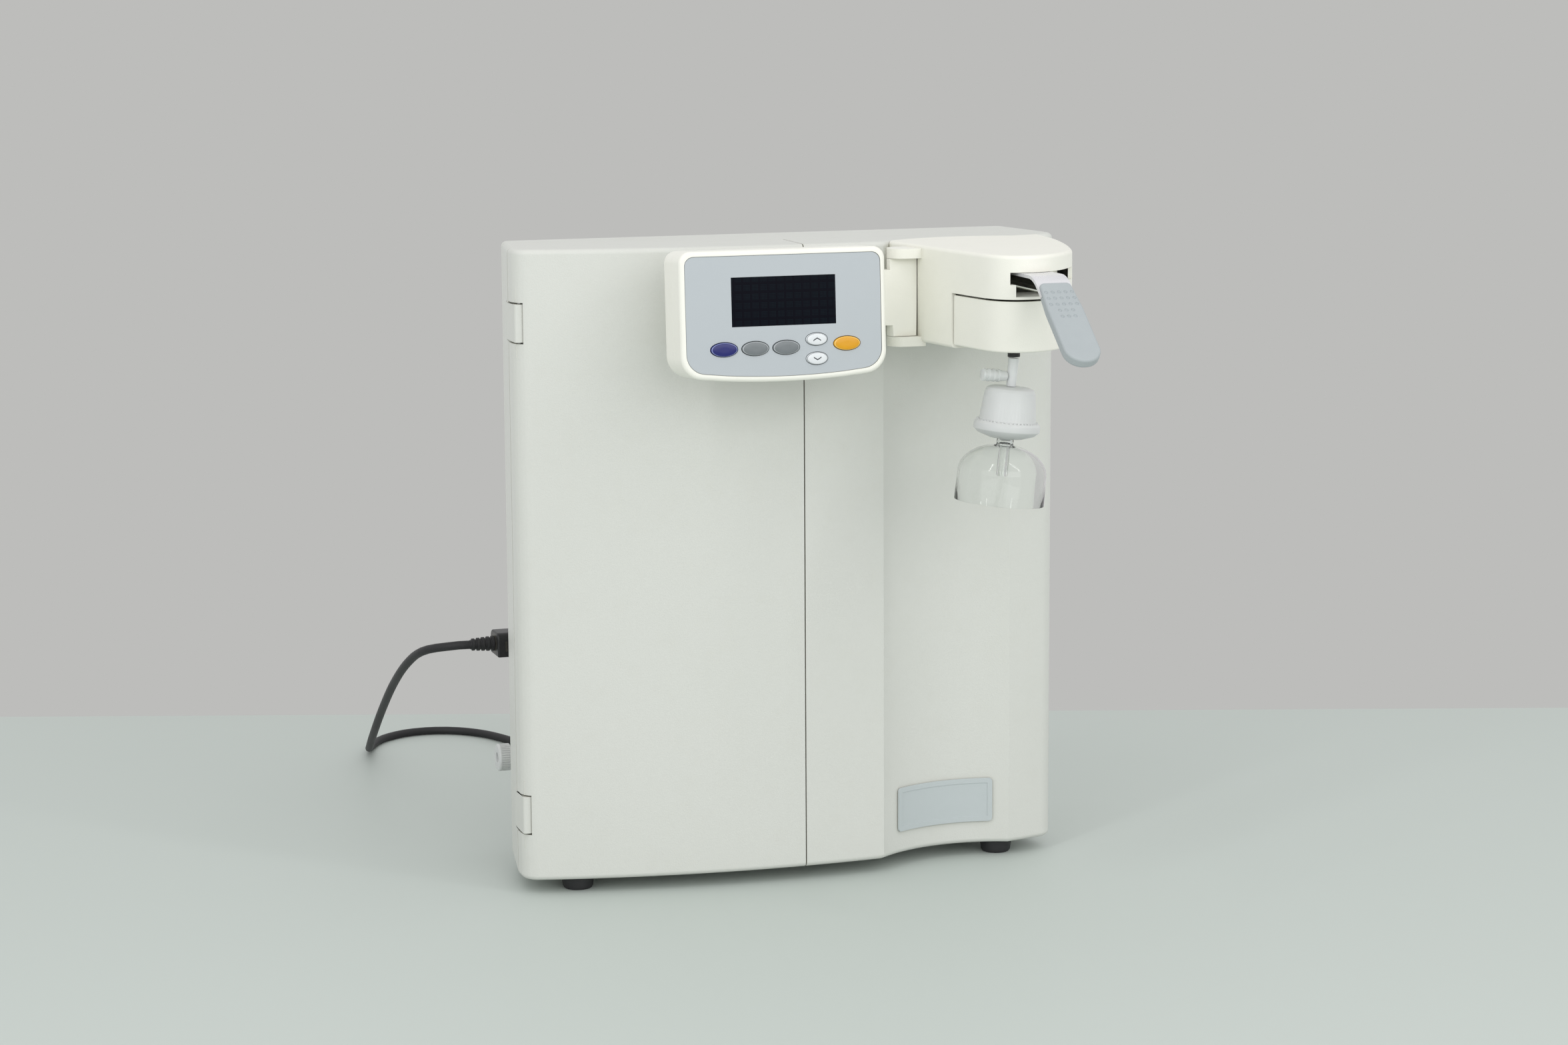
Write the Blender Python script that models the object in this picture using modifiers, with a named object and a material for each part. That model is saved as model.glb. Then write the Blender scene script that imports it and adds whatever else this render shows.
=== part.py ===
"""Ultrapure water system: a bow-fronted bench housing with a hinged door over two
polishing cartridges, a dispensing head with a press lever, a swivelling display
and a final filter with a clear filling bell. Metres, +Z up, the front faces -Y."""

import math

import bmesh
import bpy
from mathutils import Matrix, Vector

# Housing, from above: a wide arc in front, sides that narrow to the back
BODY_WIDTH = 0.440
BODY_HEIGHT = 0.490
SIDE_TAPER = 0.0115
FRONT_RADIUS = 0.828
FRONT_CORNER = 0.011
REAR_CORNER = 0.006
EDGE_FILLET = 0.004
FRONT_DEPTH = 0.052
HOUSING_DEPTH = 0.070
SERVICE_DEPTH = 0.064
SERVICE_INSET = 0.0355
SERVICE_CORNER = 0.008
SERVICE_MARGIN = 0.030
SERVICE_SLOTS = 6
SERVICE_SLOT_DROP = 0.141
SERVICE_SLOT_PITCH = 0.012
SERVICE_SLOT_HEIGHT = 0.004
SERVICE_SLOT_WIDTH = 0.120
WALL = 0.003
SEAM = 0.001
CLEAR = 0.0003
OVERRUN = 0.010
FOOT_HEIGHT = 0.011
FOOT_RADIUS = 0.013
FOOT_INSET = 0.045

# Concave bay in the right front shell, for the vessel under the outlet
BAY_MARGIN = 0.042
BAY_WIDTH = 0.1125
BAY_DEPTH = 0.016

# Door hinge: tabs of the rear housing that reach into the door's side
TAB_HEIGHT = 0.029
TAB_UPPER_DROP = 0.056
TAB_LOWER_RISE = 0.052
TAB_NOSE = 0.0085
TAB_THICKNESS = 0.011
TAB_CHAMFER = 0.0022
HEEL_RELIEF = 0.0010
HEEL_WIDTH = 0.004
HINGE_SETBACK = 0.013
HINGE_INSET = 0.006
HINGE_PIN_RADIUS = 0.002
HINGE_LUG_HEIGHT = 0.011
HINGE_NOTCH_GAP = 0.0012
FLANGE_DEPTH = 0.014
CATCH_HEIGHT = 0.030
CATCH_DEPTH = 0.012
CATCH_THICKNESS = 0.002

# Dispensing head
HEAD_REACH = 0.160
HEAD_HEIGHT = 0.074
HEAD_WIDTH = 0.132
HEAD_MARGIN = 0.016
HEAD_WALL = 0.003
HEAD_FILLET = 0.003
BLOCK_HEIGHT = 0.040
BLOCK_LEFT_Y = 0.0915
BLOCK_WIDTH = 0.086
BLOCK_ARM_WIDTH = 0.048
BLOCK_RISE = 0.0022
BLOCK_GAP = 0.0016
BLOCK_INSET = 0.0012
HEAD_STEP = 0.011
SLOT_TOP = 0.0125
SLOT_HEIGHT = 0.009
SLOT_LEFT = 0.036
SLOT_DEPTH = 0.040
NOTCH_DROP = 0.009

# The head's edge, from its left root round the nose, as shares of its width and reach
HEAD_EDGE_SHARES = (
    (0, 0),
    (0.023, 0.084),
    (0.087, 0.419),
    (0.152, 0.753),
    (0.192, 0.895),
    (0.265, 0.973),
    (0.364, 1),
    (0.492, 0.981),
    (0.606, 0.916),
    (0.697, 0.828),
    (0.765, 0.734),
    (0.848, 0.534),
    (0.924, 0.297),
    (0.970, 0.097),
    (1, -0.16),
)

# Lever
LEVER_REACH = 0.097
LEVER_ACROSS = 0.0555
STRIP_WIDTH = 0.0265
STRIP_THICKNESS = 0.0024
STRIP_BEND = 0.016
LEVER_PIVOT_BACK = 0.056
LEVER_PIN_RADIUS = 0.0025
LEVER_EYE_RADIUS = 0.005
PADDLE_WIDTH = 0.028
PADDLE_THICKNESS = 0.008
PADDLE_SLOPE_DEG = 39.0
PADDLE_LAP = 0.012
PADDLE_EDGE = 0.002
CHEEK = 0.004
CARRIER_BASE = 0.004

# Outlet, final filter and filling bell, which hang a little out of true
OUTLET_ACROSS = 0.055
OUTLET_BACK = 0.044
OUTLET_COLLAR_RADIUS = 0.0047
OUTLET_COLLAR_DROP = 0.0075
OUTLET_LIP_RADIUS = 0.0095
SPIGOT_RADIUS = 0.0025
FILTER_LEAN_DEG = 6.0
NOZZLE_RADIUS = 0.0041
NOZZLE_FOOT_RADIUS = 0.0035
NOZZLE_LENGTH = 0.022
CAPSULE_RADIUS = 0.0215
CAPSULE_HEIGHT = 0.026
CROWN_SHARES = ((2, 0), (1.1, 0.35), (0.7, 1))
FLANGE_RADIUS = 0.025
FLANGE_HEIGHT = 0.0095
CONE_HEIGHT = 0.003
STEM_RADIUS = 0.0063
STEM_HEIGHT = 0.0045
BELL_RADIUS = 0.0335
BELL_HEIGHT = 0.044
BELL_WALL = 0.0018
BELL_TUBE_RADIUS = 0.0042
BELL_TUBE_DROP = 0.024
VENT_RADIUS = 0.0048
VENT_LENGTH = 0.0195
VENT_DROP = 0.0145
VENT_RIB = 0.0007

# Display unit
DISPLAY_WIDTH = 0.160
DISPLAY_HEIGHT = 0.098
DISPLAY_RISE = 0.004
DISPLAY_ASIDE = 0.1105
DISPLAY_STANDOFF = 0.0865
DISPLAY_DEPTH = 0.045
DISPLAY_LEAN_DEG = 3.5
DISPLAY_WALL = 0.0025
DISPLAY_BOW = 0.005
BOW_SHARES = (-0.6, -0.3, 0, 0.3, 0.6)
DISPLAY_TOP_CORNER = 0.009
DISPLAY_FOOT_CORNER = 0.017
DISPLAY_FILLET = 0.003
BEZEL_DEPTH = 0.021
BEZEL_RIM = 0.0042
FOIL_THICKNESS = 0.0012
FOIL_SINK = 0.0004
WINDOW_WIDTH = 0.081
WINDOW_HEIGHT = 0.0366
WINDOW_FOOT = 0.0415
BOARD_THICKNESS = 0.0016
KEY_LENGTH = 0.0208
KEY_HEIGHT = 0.0104
ARROW_LENGTH = 0.0168
ARROW_HEIGHT = 0.0092
KEY_PROUD = 0.0016
KEY_ROUND_SHARE = 0.8
KEY_BODY = 0.005
KEY_TRAVEL = 0.0008
KEY_GAP = 0.0004
KEY_ROW = 0.0252
ARROW_PITCH = 0.0143
ARROW_ROW = 0.0233
ENTER_ROW = 0.0266
# Places of the keys across, as shares of half the display's width
STANDBY_SHARE = -0.5875
OPERATE_SHARE = -0.2875
MENU_SHARE = 0.0125
ARROW_SHARE = 0.31
ENTER_SHARE = 0.606

# Swivel of the display at the side of the head
PIVOT_ASIDE = 0.004
PIVOT_STANDOFF = 0.0325
BARREL_RADIUS = 0.0115
BARREL_HEIGHT = 0.0590
BARREL_TOP = 0.0095
EAR_HEIGHT = 0.0075
PIVOT_PIN_RADIUS = 0.003
ARM_THICKNESS = 0.014
ARM_HEIGHT = 0.042
ARM_LAP = 0.030

# Inside the housing
PLATE_THICKNESS = 0.002
PLATE_GAP = 0.006
PLATE_MARGIN = 0.028
DIVIDER_X = 0.012
DIVIDER_MARGIN = 0.012
CARTRIDGE_RADIUS = 0.034
CARTRIDGE_ROOM = 0.190
CARTRIDGE_FOOT = 0.075
CARTRIDGE_PITCH = 0.082
CARTRIDGE_MARGIN = 0.072
CARTRIDGE_RIM = 0.002
CARTRIDGE_RIM_HEIGHT = 0.016
CAP_HEIGHT = 0.020
CAP_RADIUS = 0.027
PORT_RADIUS = 0.006
PORT_LENGTH = 0.012
CLIP_THICKNESS = 0.0025
CLIP_HEIGHT = 0.018
CLIP_REACH_DEG = 118.0
CLIP_BASE = 0.008
CLIP_LOW_SHARE = 0.16
CLIP_HIGH_SHARE = 0.76
CLIP_ROOT_SHARE = 0.8
TUBE_RADIUS = 0.004
PUMP_RADIUS = 0.024
PUMP_LENGTH = 0.030
MOTOR_RADIUS = 0.021
MOTOR_LENGTH = 0.044
PUMP_X = 0.100
PUMP_Z = 0.110
SUPPLY_WIDTH = 0.105
SUPPLY_HEIGHT = 0.140
SUPPLY_DEPTH = 0.036
SUPPLY_X = -0.070
SUPPLY_Z = 0.215
MAIN_BOARD_WIDTH = 0.120
MAIN_BOARD_HEIGHT = 0.150
MAIN_BOARD_X = 0.070
MAIN_BOARD_DROP = 0.201
STUD_RADIUS = 0.003
STUD_LENGTH = 0.006
VALVE_WIDTH = 0.022
VALVE_HEIGHT = 0.024
VALVE_STEM_RADIUS = 0.003

# Data plate in the concave bay, left bare
NAMEPLATE_WIDTH = 0.088
NAMEPLATE_HEIGHT = 0.0355
NAMEPLATE_FOOT = 0.0295
NAMEPLATE_THICKNESS = 0.0016
NAMEPLATE_BORDER = 0.004
NAMEPLATE_SINK = 0.0005

# Connections on the left of the service cover
INLET_Z = 0.1735
INLET_BACK = 0.021
INLET_FLANGE_WIDTH = 0.034
INLET_FLANGE_HEIGHT = 0.028
INLET_FLANGE = 0.002
INLET_TUB = 0.019
INLET_WALL = 0.0025
PLUG_WIDTH = 0.0265
PLUG_HEIGHT = 0.0195
PLUG_NOSE = 0.016
PLUG_LENGTH = 0.0345
PLUG_CORNER = 0.0055
RELIEF_LENGTH = 0.020
RELIEF_RADIUS = 0.0062
RELIEF_TIP_RADIUS = 0.0046
RELIEF_RIB = 0.0012
RELIEF_RIBS = 5
RIB_SHARE = 0.6
FITTING_Z = 0.079
FITTING_COLLAR_RADIUS = 0.011
FITTING_COLLAR = 0.010
FITTING_NECK_RADIUS = 0.0075
FITTING_NECK = 0.022
FITTING_FLANGE_RADIUS = 0.0125
FITTING_FLANGE = 0.004
FITTING_THREAD_RADIUS = 0.0085
FITTING_THREAD = 0.012

# Mains lead
CORD_RADIUS = 0.0035
COIL_TURNS = 4
COIL_MEAN_RADIUS = 0.040
COIL_X = -0.020
COIL_Y = 0.345
COIL_POINTS = 24
CORD_ROUTE = (
    (-0.2620, 0.2240, 0.1665),
    (-0.2668, 0.2700, 0.1480),
    (-0.2650, 0.3400, 0.1165),
    (-0.2600, 0.4200, 0.0770),
    (-0.2530, 0.5000, 0.0375),
    (-0.2450, 0.5600, 0.0130),
    (-0.2370, 0.5980, 0.0042),
    (-0.2200, 0.6290, 0.0037),
    (-0.1900, 0.6480, 0.0037),
    (-0.1550, 0.6450, 0.0037),
    (-0.1260, 0.6200, 0.0037),
    (-0.1060, 0.5760, 0.0037),
    (-0.0920, 0.5200, 0.0037),
    (-0.0790, 0.4600, 0.0037),
)
WALL_PLUG_RADIUS = 0.018
WALL_PLUG_LENGTH = 0.034
WALL_PLUG_PIN_RADIUS = 0.0024
WALL_PLUG_PIN_LENGTH = 0.019
WALL_PLUG_PIN_PITCH = 0.019

# Counts of facets
ARC_STEPS = 14
BAY_STEPS = 9
CORNER_STEPS = 4
ROUND_SIDES = 24
KEY_SIDES = 16
SMALL_SIDES = 12
SMOOTH_STEPS = 12

# Widths and places across that follow from the sizes above
REAR_WIDTH = BODY_WIDTH - SIDE_TAPER * 2
SERVICE_WIDTH = REAR_WIDTH - SERVICE_INSET * 2
BAY_RIGHT = BODY_WIDTH / 2 - BAY_MARGIN
BAY_LEFT = BAY_RIGHT - BAY_WIDTH
HEAD_RIGHT_ROOT = BODY_WIDTH / 2 - HEAD_MARGIN
HEAD_LEFT_ROOT = HEAD_RIGHT_ROOT - HEAD_WIDTH
BLOCK_RIGHT_X = HEAD_LEFT_ROOT + BLOCK_WIDTH
SLOT_LEFT_X = HEAD_LEFT_ROOT + SLOT_LEFT
LEVER_X = HEAD_LEFT_ROOT + LEVER_ACROSS
OUTLET_X = HEAD_LEFT_ROOT + OUTLET_ACROSS
PIVOT_X = HEAD_LEFT_ROOT - PIVOT_ASIDE
DISPLAY_CENTRE_X = PIVOT_X - DISPLAY_ASIDE
CARTRIDGE_LEFT_X = -BODY_WIDTH / 2 + CARTRIDGE_MARGIN

# Heights and depths that follow from the sizes above
TOP_Z = FOOT_HEIGHT + BODY_HEIGHT
TAB_UPPER_Z = TOP_Z - TAB_UPPER_DROP
TAB_LOWER_Z = FOOT_HEIGHT + TAB_LOWER_RISE
DISPLAY_TOP = TOP_Z + DISPLAY_RISE
CARTRIDGE_HEIGHT = BODY_HEIGHT - CARTRIDGE_ROOM
MAIN_BOARD_Z = TOP_Z - MAIN_BOARD_DROP
OVERALL_DEPTH = SERVICE_DEPTH + HOUSING_DEPTH + FRONT_DEPTH + HEAD_REACH + LEVER_REACH
BACK_Y = OVERALL_DEPTH / 2
REAR_Y = BACK_Y - SERVICE_DEPTH
SEAM_Y = REAR_Y - HOUSING_DEPTH
FRONT_Y = SEAM_Y - FRONT_DEPTH
NOSE_Y = FRONT_Y - HEAD_REACH
HINGE_X = -BODY_WIDTH / 2 + HINGE_INSET
HINGE_Y = SEAM_Y - HINGE_SETBACK
HEAD_FOOT_Z = TOP_Z - HEAD_HEIGHT
PIVOT_Y = FRONT_Y - PIVOT_STANDOFF
DISPLAY_FRONT_Y = FRONT_Y - DISPLAY_STANDOFF
DISPLAY_BACK_Y = DISPLAY_FRONT_Y + DISPLAY_DEPTH
DISPLAY_FOOT_Z = DISPLAY_TOP - DISPLAY_HEIGHT
OUTLET_Y = NOSE_Y + OUTLET_BACK
SLOT_TOP_Z = TOP_Z - SLOT_TOP
LEVER_PIVOT_Y = NOSE_Y + LEVER_PIVOT_BACK
LEVER_PIVOT_Z = SLOT_TOP_Z - CLEAR - STRIP_THICKNESS / 2
PLATE_Y = REAR_Y - WALL - PLATE_GAP
CARTRIDGE_Y = PLATE_Y - PLATE_THICKNESS - CLIP_BASE - CARTRIDGE_RADIUS
SERVICE_X = -SERVICE_WIDTH / 2
INLET_TUBE_X = PUMP_X - PUMP_RADIUS * 2
RUN_Y = CARTRIDGE_Y
FEED_RUN_Z = FOOT_HEIGHT + WALL + TUBE_RADIUS * 3
PRODUCT_RUN_Z = CARTRIDGE_FOOT - TUBE_RADIUS * 2
OUTLET_VALVE_Z = HEAD_FOOT_Z + BLOCK_RISE + HEAD_WALL * 2 + CLEAR * 2 + VALVE_HEIGHT / 2
INLET_Y = BACK_Y - INLET_BACK


def new_collection(name):
    collection = bpy.data.collections.new(name)
    bpy.context.scene.collection.children.link(collection)
    return collection


def clear_scene():
    for thing in list(bpy.data.objects):
        bpy.data.objects.remove(thing, do_unlink=True)


clear_scene()
PARTS = new_collection("ultrapure_water_system")
CUTTERS = new_collection("cutters")

# Colours as red, green, blue, roughness, metallic, alpha
COLD_WHITE = (0.66, 0.67, 0.64, 0.5, 0, 1)
IVORY = (0.74, 0.74, 0.60, 0.45, 0, 1)
PALE_BLUE = (0.55, 0.62, 0.69, 0.4, 0, 1)
RUBBER_BLUE = (0.48, 0.55, 0.62, 0.6, 0, 1)
BLACK = (0.02, 0.02, 0.022, 0.5, 0, 1)
DARK_GLASS = (0.01, 0.012, 0.03, 0.15, 0, 1)
STEEL = (0.6, 0.6, 0.62, 0.35, 1, 1)
PALE_METAL = (0.8, 0.79, 0.8, 0.4, 0.2, 1)
MILKY = (0.85, 0.86, 0.85, 0.35, 0, 0.8)
CLEAR_PLASTIC = (0.95, 0.97, 0.97, 0.1, 0, 0.3)
KEY_BLUE = (0.02, 0.05, 0.3, 0.4, 0, 1)
KEY_GREY = (0.3, 0.31, 0.33, 0.4, 0, 1)
KEY_WHITE = (0.75, 0.75, 0.74, 0.4, 0, 1)
KEY_YELLOW = (0.85, 0.42, 0.03, 0.4, 0, 1)
BOARD_GREEN = (0.03, 0.2, 0.08, 0.5, 0, 1)
PORT_BLUE = (0.1, 0.25, 0.5, 0.4, 0, 1)


def coloured(part, colour):
    """Give a part its own Principled material and shade it smooth between sharp edges."""
    red, green, blue, roughness, metallic, alpha = colour
    material = bpy.data.materials.new(part.name)
    material.use_nodes = True
    shader = material.node_tree.nodes["Principled BSDF"]
    shader.inputs["Base Color"].default_value = (red, green, blue, 1)
    shader.inputs["Roughness"].default_value = roughness
    shader.inputs["Metallic"].default_value = metallic
    shader.inputs["Alpha"].default_value = alpha
    part.data.materials.clear()
    part.data.materials.append(material)
    if part.type == "MESH":
        part.data.shade_smooth()
        part.data.set_sharp_from_angle(angle=math.radians(30))
    return part


def as_cutter(part):
    """Move an object to the cutters' collection, where it is only drawn as wire."""
    PARTS.objects.unlink(part)
    CUTTERS.objects.link(part)
    part.hide_render = True
    part.display_type = "WIRE"
    return part


def meshed(curve_object):
    """The same shape as a mesh, with the caps of the curve welded to its sides."""
    bpy.context.view_layer.update()
    graph = bpy.context.evaluated_depsgraph_get()
    mesh = bpy.data.meshes.new_from_object(curve_object.evaluated_get(graph))
    shape = bmesh.new()
    shape.from_mesh(mesh)
    bmesh.ops.remove_doubles(shape, verts=shape.verts, dist=CLEAR / 10)
    bmesh.ops.recalc_face_normals(shape, faces=shape.faces)
    shape.to_mesh(mesh)
    shape.free()
    name = curve_object.name
    place = curve_object.matrix_world.copy()
    bpy.data.objects.remove(curve_object, do_unlink=True)
    part = bpy.data.objects.new(name, mesh)
    part.matrix_world = place
    PARTS.objects.link(part)
    return part


# How a slab's own axes lie for each axis that it can be thick along
SLAB_TURNS = {
    "X": Matrix(((0, 0, 1), (1, 0, 0), (0, 1, 0))),
    "Y": Matrix(((1, 0, 0), (0, 0, -1), (0, 1, 0))),
    "Z": Matrix.Identity(3),
}


def slab(name, outline, low, high, axis="Z"):
    """A flat outline made thick from low to high along an axis: (x, y) for Z,
    (x, z) for Y and (y, z) for X."""
    curve = bpy.data.curves.new(name, "CURVE")
    curve.dimensions = "2D"
    curve.fill_mode = "BOTH"
    curve.extrude = (high - low) / 2
    spline = curve.splines.new("POLY")
    spline.points.add(len(outline) - 1)
    for point, (across, along) in zip(spline.points, outline):
        point.co = (across, along, 0, 1)
    spline.use_cyclic_u = True
    guide = bpy.data.objects.new(name, curve)
    PARTS.objects.link(guide)
    middle = [0, 0, 0]
    middle["XYZ".index(axis)] = (low + high) / 2
    guide.matrix_world = Matrix.Translation(middle) @ SLAB_TURNS[axis].to_4x4()
    return meshed(guide)


def box(name, low, high):
    """A block between two opposite corners."""
    mesh = bpy.data.meshes.new(name)
    shape = bmesh.new()
    size = [b - a for a, b in zip(low, high)]
    bmesh.ops.create_cube(shape, size=1, matrix=Matrix.Diagonal((*size, 1)))
    shape.to_mesh(mesh)
    shape.free()
    part = bpy.data.objects.new(name, mesh)
    part.location = [(a + b) / 2 for a, b in zip(low, high)]
    PARTS.objects.link(part)
    return part


def rod(name, start, end, radius, sides=SMALL_SIDES):
    """A round bar from one point to another."""
    start, end = Vector(start), Vector(end)
    mesh = bpy.data.meshes.new(name)
    shape = bmesh.new()
    bmesh.ops.create_cone(
        shape,
        cap_ends=True,
        segments=sides,
        radius1=radius,
        radius2=radius,
        depth=(end - start).length,
    )
    shape.to_mesh(mesh)
    shape.free()
    part = bpy.data.objects.new(name, mesh)
    part.location = (start + end) / 2
    part.rotation_euler = (end - start).to_track_quat("Z", "Y").to_euler()
    PARTS.objects.link(part)
    return part


def turned(name, profile, place, sides=ROUND_SIDES, toward=(0, 0, 1), ring=False):
    """A profile of (radius, height) turned round an axis that starts at a place.
    It runs from the top down the outside. A ring's profile closes on itself."""
    mesh = bpy.data.meshes.new(name)
    shape = bmesh.new()
    points = [shape.verts.new((radius, 0, height)) for radius, height in profile]
    for first, second in zip(points, points[1:]):
        shape.edges.new((first, second))
    if ring:
        shape.edges.new((points[-1], points[0]))
    shape.to_mesh(mesh)
    shape.free()
    part = bpy.data.objects.new(name, mesh)
    part.location = place
    part.rotation_euler = Vector(toward).to_track_quat("Z", "Y").to_euler()
    screw = part.modifiers.new("turn", "SCREW")
    screw.steps = screw.render_steps = sides
    screw.use_merge_vertices = True
    screw.merge_threshold = CLEAR / 10
    screw.use_smooth_shade = True
    PARTS.objects.link(part)
    return part


def tube(name, points, radius, resolution=2):
    """A round bar that follows a run of points."""
    curve = bpy.data.curves.new(name, "CURVE")
    curve.dimensions = "3D"
    curve.bevel_depth = radius
    curve.bevel_resolution = resolution
    curve.use_fill_caps = True
    spline = curve.splines.new("POLY")
    spline.points.add(len(points) - 1)
    for point, place in zip(spline.points, points):
        point.co = (*place, 1)
    part = bpy.data.objects.new(name, curve)
    PARTS.objects.link(part)
    return part


def boolean(part, other, operation):
    """Cut a part by another shape, or join that shape to it."""
    modifier = part.modifiers.new(operation.lower(), "BOOLEAN")
    modifier.operation = operation
    modifier.object = other
    as_cutter(other)
    return part


def cut(part, other):
    return boolean(part, other, "DIFFERENCE")


def join(part, other):
    return boolean(part, other, "UNION")


def keep(part, other):
    return boolean(part, other, "INTERSECT")


def softened(part, width, segments=2, angle=50):
    """Round the edges that are sharper than an angle in degrees."""
    bevel = part.modifiers.new("soften", "BEVEL")
    bevel.width = width
    bevel.segments = segments
    bevel.limit_method = "ANGLE"
    bevel.angle_limit = math.radians(angle)
    return part


def rounded(corners, steps=CORNER_STEPS):
    """An outline from corners (across, along, radius), each turned by an arc."""
    outline = []
    count = len(corners)
    for i, (across, along, radius) in enumerate(corners):
        here = Vector((across, along))
        before = (Vector(corners[i - 1][:2]) - here).normalized()
        after = (Vector(corners[(i + 1) % count][:2]) - here).normalized()
        half = before.angle(after) / 2
        if radius <= 0 or half > math.radians(89):
            outline.append(tuple(here))
            continue
        centre = here + (before + after).normalized() * (radius / math.sin(half))
        run = radius / math.tan(half)
        first = here + before * run - centre
        turn = first.angle_signed(here + after * run - centre)
        for step in range(steps + 1):
            spoke = first.copy()
            spoke.rotate(Matrix.Rotation(-turn * step / steps, 2))
            outline.append(tuple(centre + spoke))
    return outline


def arc(centre, radius, first_deg, last_deg, steps):
    """Points on an arc, from one angle to another."""
    angles = [first_deg + (last_deg - first_deg) * i / steps for i in range(steps + 1)]
    return [
        (
            centre[0] + radius * math.cos(math.radians(angle)),
            centre[1] + radius * math.sin(math.radians(angle)),
        )
        for angle in angles
    ]


def inset(outline, distance):
    """The outline, which runs anticlockwise, moved inwards by a distance."""
    moved = []
    count = len(outline)
    for i in range(count):
        here = Vector(outline[i])
        before = (here - Vector(outline[i - 1])).normalized()
        after = (Vector(outline[(i + 1) % count]) - here).normalized()
        normal = Vector((-before.y - after.y, before.x + after.x)).normalized()
        spread = normal.dot(Vector((-before.y, before.x)))
        moved.append(tuple(here + normal * (distance / max(spread, 0.3))))
    return moved


def front_y(x):
    """Where the bow front lies at a distance from the middle."""
    return FRONT_Y + FRONT_RADIUS - math.sqrt(FRONT_RADIUS**2 - x**2)


def bay_arc():
    """Centre and radius of the concave bay, from its two edges and its depth."""
    left = Vector((BAY_LEFT, front_y(BAY_LEFT)))
    right = Vector((BAY_RIGHT, front_y(BAY_RIGHT)))
    half = (right - left).length / 2
    radius = (half**2 + BAY_DEPTH**2) / (2 * BAY_DEPTH)
    along = (right - left).normalized()
    outward = Vector((along.y, -along.x))
    return (left + right) / 2 + outward * (radius - BAY_DEPTH), radius


def bay_y(x):
    """Where the concave bay's surface lies."""
    centre, radius = bay_arc()
    return centre.y + math.sqrt(radius**2 - (x - centre.x) ** 2)


def body_outline():
    """The housing from above, anticlockwise, from the left rear corner."""
    half = BODY_WIDTH / 2
    start = -half + FRONT_CORNER * 2
    left = [
        (-REAR_WIDTH / 2, REAR_Y, REAR_CORNER),
        (-half, SEAM_Y, 0),
        (-half, front_y(half), FRONT_CORNER),
    ]
    right = [(-x, y, radius) for x, y, radius in reversed(left)]
    bow = [start + (BAY_LEFT - start) * i / ARC_STEPS for i in range(ARC_STEPS)]
    bay = [BAY_LEFT + (BAY_RIGHT - BAY_LEFT) * i / BAY_STEPS for i in range(1, BAY_STEPS)]
    front = [(x, front_y(x), 0) for x in bow] + [(BAY_LEFT, front_y(BAY_LEFT), 0)]
    front += [(x, bay_y(x), 0) for x in bay] + [(BAY_RIGHT, front_y(BAY_RIGHT), 0)]
    return rounded(left + front + [(-start, front_y(start), 0)] + right)


def body_blank(name, shrink):
    """The whole housing as one block, drawn in by a distance on every side."""
    outline = inset(body_outline(), shrink)
    blank = slab(name, outline, FOOT_HEIGHT + shrink, TOP_Z - shrink)
    return softened(blank, EDGE_FILLET - min(shrink, EDGE_FILLET / 2))


def shell_piece(name, low, high):
    """The part of the hollow housing that lies between two corners."""
    piece = keep(body_blank(name, 0), box(name + "_region", low, high))
    return cut(piece, body_blank(name + "_hollow", WALL))


def make_rear_housing():
    side = BODY_WIDTH
    low = (-side, SEAM_Y + SEAM / 2, 0)
    housing = shell_piece("rear_housing", low, (side, BACK_Y, TOP_Z + OVERRUN))
    margin = PLATE_MARGIN + OVERRUN
    opening = box(
        "service_opening",
        (SERVICE_X + margin, REAR_Y - WALL - OVERRUN, FOOT_HEIGHT + SERVICE_MARGIN + margin),
        (-SERVICE_X - margin, REAR_Y + OVERRUN, TOP_Z - SERVICE_MARGIN - margin),
    )
    cut(housing, opening)
    for label, middle in (("upper", TAB_UPPER_Z), ("lower", TAB_LOWER_Z)):
        join(housing, hinge_tab(label, middle))
        bore = rod(
            "tab_bore_" + label,
            (HINGE_X, HINGE_Y, middle - TAB_HEIGHT),
            (HINGE_X, HINGE_Y, middle + TAB_HEIGHT),
            HINGE_PIN_RADIUS + CLEAR,
        )
        cut(housing, bore)
    coloured(housing, COLD_WHITE)


def hinge_tab(label, middle):
    """A tongue that carries the hinge pin forward into the door's side."""
    outer = -BODY_WIDTH / 2
    nose = HINGE_Y - TAB_NOSE
    root = SEAM_Y + HINGE_SETBACK
    slant = WALL / 3
    corners = [
        (outer + slant, root, 0),
        (outer, SEAM_Y, 0),
        (outer, nose, TAB_CHAMFER),
        (outer + TAB_THICKNESS, nose, TAB_CHAMFER),
        (outer + TAB_THICKNESS, root, 0),
    ]
    low = middle - TAB_HEIGHT / 2
    return slab("hinge_tab_" + label, rounded(corners), low, low + TAB_HEIGHT)


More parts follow.
